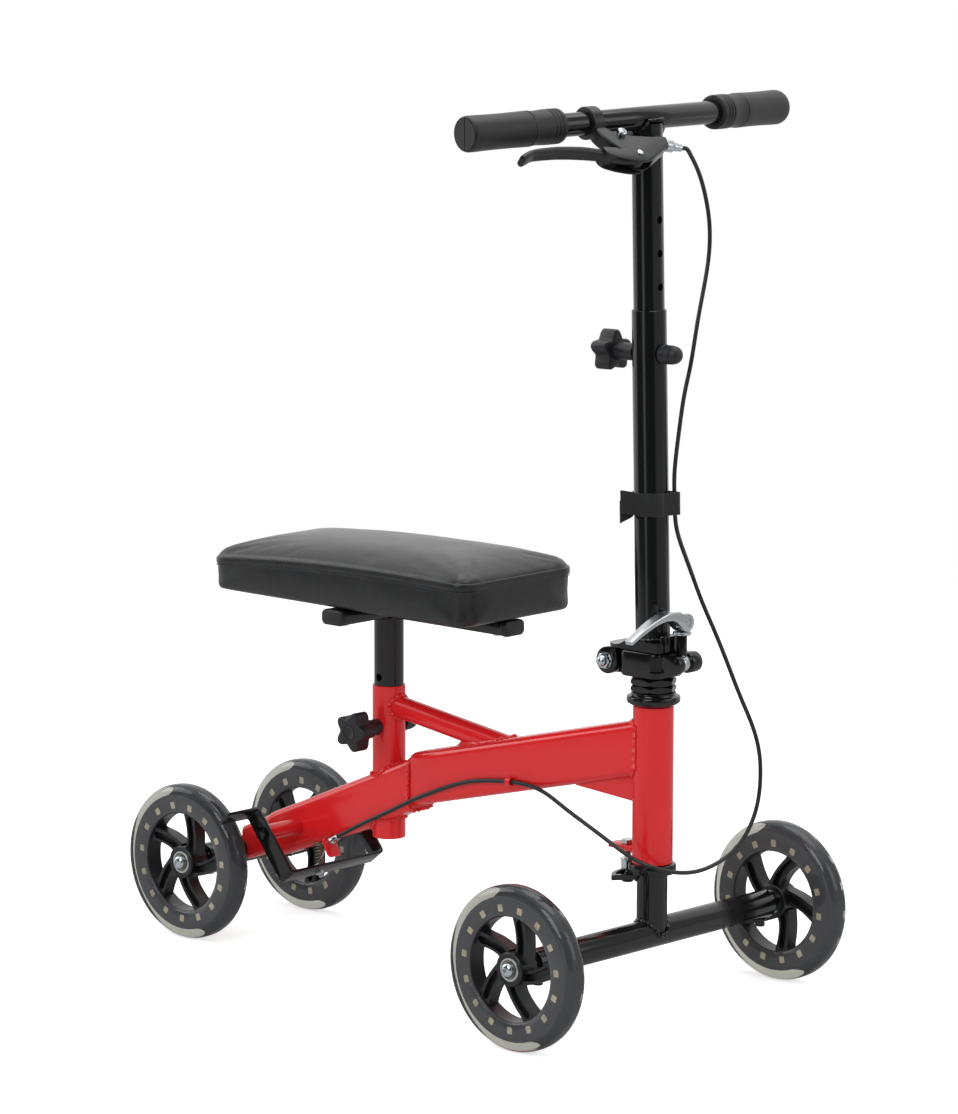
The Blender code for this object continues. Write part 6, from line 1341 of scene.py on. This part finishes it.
def build_seat_rails():
    """Crossed rails with their end plugs, and the screws that show."""
    base, height, width = 0.397, 0.018, 0.032
    middle = base + height / 2
    cross = raised(rounded_rect(width, height - 0.001, 0.0045, 6), -0.086, 0.086,
            place=frame_at((SEAT_X, 0, middle), (0, 1, 0)))
    ahead = raised(rounded_rect(width, height - 0.0014, 0.0045, 6), 0.0, 0.1885,
            place=end_view(SEAT_X, 0, middle))
    keep("seat_rails_skin", carved(cross, ("UNION", ahead)), "black", "seat_unit", ["seat_bracket"])
    for name, place in (("front", end_view(0.1005, 0, middle)),
            ("left", frame_at((SEAT_X, 0.0845, middle), (0, 1, 0))),
            ("right", frame_at((SEAT_X, -0.0845, middle), (0, -1, 0)))):
        plug = raised(rounded_rect(width + 0.001, height, 0.0062, 8), 0.0, 0.0095, 0.0026, 4, place)
        keep(f"seat_rail_plug_{name}", plug, "knob", "seat_unit")
    screw = mm((0, -2.6), (2.8, -2.6), (4.2, -1.9), (4.8, -0.4), (4.8, 0.6), (0, 0.6))
    for k, (x, y) in enumerate(((0.082, 0), (SEAT_X, -0.072), (SEAT_X, 0.072), (-0.175, -0.055),
            (-0.175, 0.055), (-0.255, -0.060))):
        on_rail = k < 3
        keep(f"seat_screw_{k}", spun(screw, PIN_ROUND, at(x, y, base if on_rail else 0.4150)),
                "steel" if on_rail else "cast", "seat_unit")


REAR, FRONT, HALF = -0.282, 0.118, 0.095    # the cushion's ends and half its width


def seam_height(x):
    """Height of the welt's line, which rises to the front and falls towards both ends."""
    t = (x - (FRONT + REAR) / 2) / 0.2
    return 0.4668 + 0.006 * t - 0.0065 * t ** 2


def pad_outline(inset, spacing=0.006):
    """Rounded outline of the pad at even steps, starting at the middle of its front."""
    corner = min(max(0.022 - inset, 0.010), HALF - inset - 0.0015)
    ring = rounded_rect(FRONT - REAR - 2 * inset, 2 * (HALF - inset), corner, 8, ((FRONT + REAR) / 2, 0))
    lengths = [0.0]
    loop = ring + ring[:1]
    for a, b in zip(loop, loop[1:]):
        lengths.append(lengths[-1] + dist(a, b))
    count = int(1.14 / spacing)
    out = []
    k = 0
    for i in range(count):
        target = lengths[-1] * i / count
        while lengths[k + 1] < target:
            k += 1
        share = (target - lengths[k]) / (lengths[k + 1] - lengths[k])
        out.append((loop[k][0] + (loop[k + 1][0] - loop[k][0]) * share,
                loop[k][1] + (loop[k + 1][1] - loop[k][1]) * share))
    return out


def pad_solid():
    """Closed form of the cushion: drawn-in sides, welt line and crowned top."""
    base = 0.417
    loops = [[(x, y, base + rise) for x, y in pad_outline(inset)] for rise, inset in ((0.0102, 0.0132),
            (0.0, 0.0128), (0.0, 0.0060), (0.0018, 0.0022), (0.0055, 0.0006))]
    for share, inset in ((0.30, 0.0012), (0.5, 0.0017), (0.72, 0.0014), (0.92, 0.0007)):
        loops.append([(x, y, base + (seam_height(x) - 0.008 - base) * share) for x, y in pad_outline(inset)])
    for drop, inset in ((0.008, 0.0008), (0.004, 0.0004), (0.0, 0.0006)):
        loops.append([(x, y, seam_height(x) - drop) for x, y in pad_outline(inset)])
    for inset, share in ((0.0022, 0.10), (0.0045, 0.22), (0.0085, 0.40), (0.014, 0.545), (0.022, 0.68),
            (0.032, 0.80), (0.044, 0.885), (0.058, 0.95), (0.072, 0.985), (0.086, 1.0)):
        loops.append([(x, y, seam_height(x) + 0.019 * share) for x, y in pad_outline(inset)])
    return bridged(loops)


def build_cushion():
    """Stuffed pad, swollen by a short cloth simulation, with its welt and stitches added afterwards."""
    pad = loose_object("pad_form", pad_solid())
    mesh = remeshed(pad, 0.0045)
    sizes = bpy.context.scene.walker_sizes
    mesh = swollen(mesh, sizes.fullness)
    bm = bmesh.new()
    bm.from_mesh(mesh)
    bpy.data.meshes.remove(mesh)
    for vert in bm.verts:
        shape_pad(vert)
    piece = keep("cushion_cover", bm, "vinyl", "seat_unit", ["seat_cushion"])
    piece.data.set_sharp_from_angle(angle=radians(75))
    finer = piece.modifiers.new("finer", "SUBSURF")
    finer.levels = finer.render_levels = 1

    section = mm((-3, 4.3), (-1.2, 4.4), (-0.1, 3.8), (0.4, 2.4), (0.6, 0))
    section += [(a, -b) for a, b in reversed(section[:-1])]
    loops = []
    for (x, y), _, _, out in rim_points(pad_outline(0.0, 0.003)):
        at_welt = Vector((x, y, seam_height(x) - 0.0042))
        loops.append([tuple(at_welt + out * a + Vector((0, 0, b))) for a, b in section])
    keep("cushion_welt", bridged(loops, ring=True), "vinyl", "seat_unit")

    stitches = []
    reach = sizes.stitch * 0.34
    for (x, y), before, after, out in rim_points(pad_outline(0.0, sizes.stitch)):
        along = Vector((after[0] - before[0], after[1] - before[1],
                seam_height(after[0]) - seam_height(before[0])))
        along.normalize()
        middle = Vector((x, y, seam_height(x) - 0.0098)) + out * 0.0002
        path = [middle + along * reach * share + out * sink for share, sink in ((-1, -0.0006), (-0.6, 0.0001),
                (0.6, 0.0001), (1, -0.0006))]
        stitches.append(tube_along(path, [0.00022, 0.00034, 0.00034, 0.00022], 6))
    keep("cushion_stitches", together(*stitches), "thread", "seat_unit")


def shape_pad(vert):
    """Soft puckers near the corners and along the side band."""
    co = vert.co
    seam = seam_height(co.x)
    edge_x = min(FRONT - co.x, co.x - REAR)
    edge_y = HALF - abs(co.y)
    if co.z > seam + 0.001:
        nearness = exp(-min(edge_x, edge_y) / 0.020) * exp(-max(edge_x, edge_y) / 0.055)
        ripple = sin((edge_x - edge_y) * 210 + 2.2 * noise.noise(co * 20))
        co.z += 0.0010 * nearness * ripple + 0.0005 * noise.noise(co * 22)
    elif co.z < seam - 0.010 and co.z > 0.421:
        out = 0.0007 * noise.noise(Vector((co.x * 16, co.y * 16, co.z * 40)))
        if edge_x < edge_y:
            co.x += out
        else:
            co.y += out


def remeshed(obj, voxel):
    """Even quads over a form; the form's object is removed."""
    modifier = obj.modifiers.new("remesh", "REMESH")
    modifier.mode = "VOXEL"
    modifier.voxel_size = voxel
    bpy.context.view_layer.update()
    graph = bpy.context.evaluated_depsgraph_get()
    mesh = bpy.data.meshes.new_from_object(obj.evaluated_get(graph))
    bpy.data.objects.remove(obj, do_unlink=True)
    return mesh


def swollen(mesh, limit):
    """Cloth simulation with inner pressure; no point moves further than the limit."""
    before = [v.co.copy() for v in mesh.vertices]
    obj = bpy.data.objects.new("pad_cloth", mesh)
    bpy.context.scene.collection.objects.link(obj)
    group = obj.vertex_groups.new(name="pinned")
    for vert in mesh.vertices:
        z, seam = vert.co.z, seam_height(vert.co.x)
        at_seam = max(0.0, 1 - abs(z - seam) / 0.004)
        at_base = 1.0 if z < 0.4195 else 0.0
        group.add([vert.index], max(at_seam, at_base), "REPLACE")
    cloth = obj.modifiers.new("cloth", "CLOTH")
    settings = cloth.settings
    settings.quality = 5
    settings.mass = 0.25
    settings.tension_stiffness = settings.compression_stiffness = 22
    settings.shear_stiffness = 10
    settings.bending_stiffness = 1.2
    settings.use_pressure = True
    settings.uniform_pressure_force = 4.0
    settings.vertex_group_mass = "pinned"
    settings.effector_weights.gravity = 0.0
    scene = bpy.context.scene
    last = 20
    cloth.point_cache.frame_start, cloth.point_cache.frame_end = 1, last
    for number in range(1, last + 1):
        scene.frame_set(number)
    graph = bpy.context.evaluated_depsgraph_get()
    out = bpy.data.meshes.new_from_object(obj.evaluated_get(graph))
    scene.frame_set(1)
    for vert, rest in zip(out.vertices, before):
        shift = vert.co - rest
        if shift.length > limit:
            vert.co = rest + shift.normalized() * limit
    bpy.data.objects.remove(obj, do_unlink=True)
    return out


def build_rear_brake():
    """Bent strap yoke with its pivot heads, wire anchor and bare wire."""
    place = frame_at((YOKE_X, 0, YOKE_Z), Vector((0, 1, 0)).cross(YOKE_DOWN), (0, 1, 0))
    arm, top, length, bend = 0.0755, -0.028, 0.0583, 0.0046
    path = [(-0.122, top)]
    for x, y, first, last in ((-arm - bend, top + bend, -90, 0), (-arm + bend, length - bend, 180, 90),
            (arm - bend, length - bend, 90, 0), (arm + bend, top + bend, 180, 270)):
        path += arc(bend, first, last, 6, (x, y))
    strap = raised(bent(path + [(0.122, top)], 0.0035), -0.0115, 0.0115, 0.0005, 2, place)
    keep("brake_yoke_skin", cut(strap, rod(BOLT_HOLE, -0.1, 0.1, side_view(YOKE_X, YOKE_Z))), "black",
            "rear_brake", ["brake_yoke"])
    hanger = Vector((YOKE_X, CABLE_Y, YOKE_Z))
    foot = hanger + YOKE_DOWN * length
    below, above = [frame_at(foot + YOKE_DOWN * down, YOKE_DOWN, (0, 1, 0)) for down in (0.0017, -0.0054)]
    keep("wire_anchor_nut", hex_nut(0.0092, 0.0036), "steel", "rear_brake", place=below)
    end = [(0.0, 0.0034), (0.0030, 0.0034), *thread(0.0030, 0.0036, 0.0080, 0.0010, 0.0003), (0.0, 0.0086)]
    keep("wire_anchor_end", spun(end, 24), "steel", "rear_brake", place=below)
    keep("wire_anchor_head", hex_nut(0.0092, 0.0036), "steel", "rear_brake", place=above)
    for side, label in SIDES:
        washer = spun(mm((0, 0), (8.2, 0), (8.2, 1.2), (0, 1.2)), 36)
        keep(f"brake_pivot_head_{label}", together(washer, hex_nut(0.0130, 0.0054)), "cast", "frame",
                ["brake_pivot_bolt"] if side < 0 else (),
                frame_at((YOKE_X, side * 0.0776, YOKE_Z), (0, side, 0)))
    start, end = STOP_AT + STOP_ALONG * 0.0024, hanger + YOKE_DOWN * 0.0554
    wire = loose_object("brake_wire_skin", tube_along([start.lerp(end, k / 12) for k in range(13)], 0.0009, 12))
    wire.data.materials.append(finish_of("steel"))
    wire.data.shade_smooth()
    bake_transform(wire)
    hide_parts("brake_wire")
    build_spring()


def build_spring():
    """Return spring between the yoke's strap and the rear beam."""
    _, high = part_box("return_spring")
    wire, radius = 0.00065, 0.0039
    strap = Vector((YOKE_X, 0, YOKE_Z)) + YOKE_DOWN * 0.05655
    slope = -YOKE_DOWN.x / YOKE_DOWN.z
    lift = (0.0003 + 0.0009 + radius * YOKE_DOWN.x) / -YOKE_DOWN.z
    foot = Vector((-0.181, -0.016, strap.z + (-0.181 - strap.x) * slope + lift))
    top = Vector((-0.185, -0.016, high.z))
    place = frame_at(top, foot - top)
    length = (foot - top).length - 0.0016
    turns, per_turn = 8, 18
    path = []
    for i in range(turns * per_turn + 1):
        share = i / (turns * per_turn)
        rise = 0.0008 + length * (3 * share ** 2 - 2 * share ** 3) * 0.35 + length * share * 0.65
        path.append(place @ Vector((*polar(radius, tau * i / per_turn), rise)))
    keep("return_spring_skin", tube_along(path, wire, 8), "spring", "frame", ["return_spring"])


def cable_routes():
    """The brake cable's route as in the frame's source, in four stretches that meet end to end."""
    barrel, along = barrel_axis()
    start = barrel + along * 0.0209
    offset = KNOB_SEAT + 0.0062     # from the mast's axis to the cable held by the tape

    def eye(z):
        return Vector((mast_point(z).x + offset * 0.845, offset * 0.534, z))

    upper = [start, start + along * 0.007, *mm((339, 29, 944), (337.5, 39, 933), (335.8, 48, 920),
            (335.5, 57, 896.5), (336.5, 62, 869.7), (336, 61, 831), (336, 44, 768), (334, 34, 714),
            (332.5, 26, 687)), eye(0.605), eye(0.585), eye(0.569)]
    middle = [eye(0.569), eye(0.553), eye(0.545), *mm((332.5, 23, 523), (334, 30, 508), (340, 50, 458),
            (344, 61, 434), (349, 75, 402), (358, 98, 344), (363, 109, 319), (368, 117, 289), (370, 118, 263))]
    lower = mm((370, 118, 263), (370, 115, 230), (368, 105, 204), (365, 85, 180), (359, 52, 165),
            (357, 20, 162), (356, 0, 165), (354, -18, 168.5), (347, -33, 173.5), (334, -39, 178),
            (320, -41, 182.5), (299, -38, 189), (270, -34, 199), (235, -30, 211), (204, -27, 222),
            (189, -25.5, 229), (174, -24.5, 234), (159, -24.3, 237), (141, -24.2, 237.6), (124, -24.2, 237))
    end = STOP_AT - STOP_ALONG * 0.0171
    rear = [*mm((124, -24.2, 237), (94.2, -24.2, 233.9), (63.6, -24.2, 228.9), (32.8, -24.2, 218.7),
            (1.8, -24.2, 206.1), (-29.5, -24.2, 192.2), (-61.1, -24.2, 175.9), (-92.9, -24.2, 160.6),
            (-125, -24.2, 144)), end - STOP_ALONG * 0.004, end]
    return {"upper": upper, "middle": middle, "lower": lower, "rear": rear}


def smoothed_routes():
    """The four stretches as one curve without its small kinks, cut again at the joints that it crosses."""
    routes = list(cable_routes().items())
    points = [Vector(p) for _, route in routes for p in route[:-1]] + [Vector(routes[-1][1][-1])]
    path = even_path(points, 0.005)
    held = [Vector(routes[0][1][0]), Vector(routes[1][1][0]), Vector(routes[3][1][0]), Vector(routes[3][1][-1])]
    loose = [i for i, p in enumerate(path) if min((p - h).length for h in held) > 0.012]
    for _ in range(14):
        eased = {i: path[i] * 0.5 + (path[i - 1] + path[i + 1]) * 0.25 for i in loose}
        for i, p in eased.items():
            path[i] = p
    cuts = [0] + [min(range(len(path)), key=lambda i: (path[i] - Vector(route[0])).length)
            for _, route in routes[1:]] + [len(path) - 1]
    return {name: path[cuts[k]:cuts[k + 1] + 1] for k, (name, _) in enumerate(routes)}


def build_cables(sizes):
    """The brake cable in its four stretches, smoothed as one curve; the rear stretch goes on the frame and the
    three that cross a joint are left unattached.
    """
    joins = {"upper": ("handlebar_unit", "mast"), "middle": ("mast", "steering"),
            "lower": ("steering", "frame")}
    for name, route in smoothed_routes().items():
        path = even_path(route, 0.00065)
        radii = [sizes.cable / 2 * (0.955 + 0.045 * cos(tau * i / 3)) for i in range(len(path))]
        obj = loose_object(f"brake_cable_{name}", tube_along(path, radii, 10))
        obj.data.materials.append(finish_of("sheath"))
        obj.data.shade_smooth()
        obj.data.set_sharp_from_angle(angle=radians(60))
        if name in joins:
            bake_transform(obj)
        else:
            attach(obj, "frame")
        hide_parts(f"cable_{name}")
        path = path[::8] + ([path[-1]] if (len(path) - 1) % 8 else [])


def build_stage():
    """Camera as in the photograph, pale floor, studio glow and four soft lights."""
    scene = bpy.context.scene
    lens = bpy.data.cameras.new("studio_camera")
    lens.lens = 168.74
    lens.sensor_width = 36.0
    lens.clip_start, lens.clip_end = 0.1, 200.0
    camera = bpy.data.objects.new("studio_camera", lens)
    scene.collection.objects.link(camera)
    yaw, pitch, roll = radians(42.817), radians(9.427), radians(-0.123)
    look = Vector((-sin(yaw) * cos(pitch), cos(yaw) * cos(pitch), -sin(pitch)))
    right = Vector((cos(yaw), sin(yaw), 0.0))
    down = look.cross(right)
    across = right * cos(roll) + down * sin(roll)
    below = down * cos(roll) - right * sin(roll)
    camera.matrix_world = Matrix((across, -below, -look)).transposed().to_4x4()
    camera.location = (3.9813, -4.2381, 1.4397)
    scene.camera = camera

    disc = bmesh.new()
    bmesh.ops.create_circle(disc, cap_ends=True, segments=96, radius=2.7)
    floor = loose_object("studio_floor", disc)
    floor.data.materials.append(floor_paint())
    studio_glow(scene)
    for name, place, size, power in (("key_light", (1.2, -4.2, 3.2), 3.0, 75.0),
            ("fill_light", (4.2, 1.6, 2.4), 3.0, 30.0), ("side_light", (-3.6, -1.8, 2.6), 3.0, 45.0),
            ("top_light", (0.0, 0.6, 4.0), 3.6, 60.0)):
        lamp = bpy.data.lights.new(name, "AREA")
        lamp.shape = "DISK"
        lamp.size = size
        lamp.energy = power
        obj = bpy.data.objects.new(name, lamp)
        scene.collection.objects.link(obj)
        obj.matrix_world = frame_at(place, Vector(place) - Vector((0, 0, 0.4)), (1, 0, 0.1))
    scene.view_settings.view_transform = "Standard"


def maths(tree, operation, first, second):
    return add_node(tree, "Math", {0: first, 1: second}, operation=operation).outputs[0]


def studio_glow(scene):
    """World that is white to the camera and through glass, and a dim room with bright panels to glossy rays."""
    world = bpy.data.worlds.new("studio_world")
    scene.world = world
    world.use_nodes = True
    tree = world.node_tree
    tree.nodes.clear()
    seen = add_node(tree, "LightPath")
    direct = maths(tree, "MAXIMUM", seen.outputs["Is Camera Ray"], seen.outputs["Is Transmission Ray"])
    way = add_node(tree, "TexCoord").outputs["Generated"]
    level = 0.03
    # Each panel: its direction, where it begins and is full (degrees off its middle), and its strength.
    for azimuth, low, high, strength in ((140, 82, 72, 1.0), (35, 60, 45, 0.42), (-88, 13, 7, 1.1),
            (-120, 5, 3, 0.5)):
        facing = add_node(tree, "VectorMath", {0: way, 1: (*polar(1.0, radians(azimuth)), 0.0)},
                operation="DOT_PRODUCT").outputs["Value"]
        panel = add_node(tree, "MapRange", {"Value": facing, "From Min": cos(radians(low)),
                "From Max": cos(radians(high)), "To Max": strength}, interpolation_type="SMOOTHSTEP")
        level = maths(tree, "MAXIMUM", level, panel.outputs[0])
    height = add_node(tree, "SeparateXYZ", {"Vector": way}).outputs["Z"]
    ceiling = add_node(tree, "MapRange", {"Value": height, "From Min": 0.62, "From Max": 0.80, "To Max": 0.8},
            interpolation_type="SMOOTHSTEP")
    level = maths(tree, "MAXIMUM", level, ceiling.outputs[0])
    glossy = add_node(tree, "Mix", {"Factor": seen.outputs["Is Glossy Ray"], 2: 0.5, 3: level})
    power = add_node(tree, "Mix", {"Factor": direct, 2: glossy.outputs[0], 3: 1.0})
    glow = add_node(tree, "Background", {"Color": (1, 1, 1, 1), "Strength": power.outputs[0]})
    add_node(tree, "OutputWorld", {"Surface": glow.outputs[0]})


def floor_paint():
    # Matt white studio floor: keeps the soft shadow, shows white to the camera and darker in reflections.
    made = blank_material("studio_floor_white")
    tree = made.node_tree
    seen = add_node(tree, "LightPath")
    shown = maths(tree, "MAXIMUM", seen.outputs["Is Camera Ray"], seen.outputs["Is Transmission Ray"])
    faint = maths(tree, "MULTIPLY", seen.outputs["Is Glossy Ray"], 0.1)
    glow = maths(tree, "MULTIPLY", maths(tree, "MAXIMUM", shown, faint), 0.62)
    dim = maths(tree, "MULTIPLY", seen.outputs["Is Glossy Ray"], 0.45)
    white = add_node(tree, "MixRGB",
            {"Fac": dim, "Color1": (0.86, 0.86, 0.865, 1), "Color2": (0.04, 0.04, 0.04, 1)})
    shader = add_node(tree, "BsdfPrincipled", {"Base Color": white.outputs[0], "Roughness": 0.9,
            "Specular IOR Level": 0.1, "Emission Color": (1, 1, 1, 1), "Emission Strength": glow})
    add_node(tree, "OutputMaterial", {"Surface": shader.outputs[0]})
    return made


class WALKER_OT_stage(bpy.types.Operator):
    """Camera, soft studio light and pale floor"""
    bl_idname = "walker.stage"
    bl_label = "Stage"

    def execute(self, context):
        build_stage()
        return {"FINISHED"}


class WALKER_OT_cables(bpy.types.Operator):
    """Brake cable in its four stretches"""
    bl_idname = "walker.cables"
    bl_label = "Brake cable"

    def execute(self, context):
        build_cables(context.scene.walker_sizes)
        return {"FINISHED"}


class WALKER_OT_frame(bpy.types.Operator):
    """Red beams and tubes with their welds"""
    bl_idname = "walker.frame"
    bl_label = "Frame"

    def execute(self, context):
        build_frame()
        return {"FINISHED"}


class WALKER_OT_steering(bpy.types.Operator):
    """Axles, stem, bearings and steering stop"""
    bl_idname = "walker.steering"
    bl_label = "Steering"

    def execute(self, context):
        build_steering()
        return {"FINISHED"}


class WALKER_OT_wheels(bpy.types.Operator):
    """Tyres, moulded cores, bearings and bolts"""
    bl_idname = "walker.wheels"
    bl_label = "Wheels"

    def execute(self, context):
        build_wheels(context.scene.walker_sizes)
        return {"FINISHED"}


class WALKER_OT_fold_joint(bpy.types.Operator):
    """Folding blocks, hinge bolt, swing bolt and cam lever"""
    bl_idname = "walker.fold_joint"
    bl_label = "Folding joint"

    def execute(self, context):
        build_fold_joint()
        return {"FINISHED"}


class WALKER_OT_mast(bpy.types.Operator):
    """Mast, knobs, cap nuts and the cable's tape"""
    bl_idname = "walker.mast"
    bl_label = "Mast and knobs"

    def execute(self, context):
        build_mast()
        return {"FINISHED"}


class WALKER_OT_handlebar(bpy.types.Operator):
    """Handlebar, post and grips"""
    bl_idname = "walker.handlebar"
    bl_label = "Handlebar"

    def execute(self, context):
        build_handlebar()
        return {"FINISHED"}


class WALKER_OT_hand_brake(bpy.types.Operator):
    """Brake bracket, adjuster and finger lever"""
    bl_idname = "walker.hand_brake"
    bl_label = "Hand brake"

    def execute(self, context):
        build_hand_brake()
        return {"FINISHED"}


class WALKER_OT_seat(bpy.types.Operator):
    """Seat post, rails, board and knee cushion"""
    bl_idname = "walker.seat"
    bl_label = "Knee rest"

    def execute(self, context):
        build_seat()
        return {"FINISHED"}


class WALKER_OT_rear_brake(bpy.types.Operator):
    """Brake yoke, wire and return spring"""
    bl_idname = "walker.rear_brake"
    bl_label = "Rear brake"

    def execute(self, context):
        build_rear_brake()
        return {"FINISHED"}


STEPS = ("stage", "cables", "frame", "steering", "wheels", "fold_joint", "mast", "handlebar", "hand_brake",
        "seat", "rear_brake")


class WALKER_PT_panel(bpy.types.Panel):
    """Sizes, colours and steps of the knee walker"""
    bl_idname = "WALKER_PT_panel"
    bl_label = "Knee walker"
    bl_space_type = "VIEW_3D"
    bl_region_type = "UI"
    bl_category = "Knee walker"

    def draw(self, context):
        for group in (context.scene.walker_colours, context.scene.walker_sizes):
            for name in group.__annotations__:
                self.layout.prop(group, name)
        for step in STEPS:
            self.layout.operator(f"walker.{step}")


CLASSES = (WalkerColours, WalkerSizes, WALKER_OT_stage, WALKER_OT_cables, WALKER_OT_frame, WALKER_OT_steering,
        WALKER_OT_wheels, WALKER_OT_fold_joint, WALKER_OT_mast, WALKER_OT_handlebar, WALKER_OT_hand_brake,
        WALKER_OT_seat, WALKER_OT_rear_brake, WALKER_PT_panel)


def register():
    for cls in CLASSES:
        bpy.utils.register_class(cls)
    bpy.types.Scene.walker_colours = bpy.props.PointerProperty(type=WalkerColours)
    bpy.types.Scene.walker_sizes = bpy.props.PointerProperty(type=WalkerSizes)


def unregister():
    del bpy.types.Scene.walker_sizes
    del bpy.types.Scene.walker_colours
    for cls in reversed(CLASSES):
        bpy.utils.unregister_class(cls)


def main():
    register()
    for step in STEPS:
        getattr(bpy.ops.walker, step)()


if __name__ == "__main__":
    main()
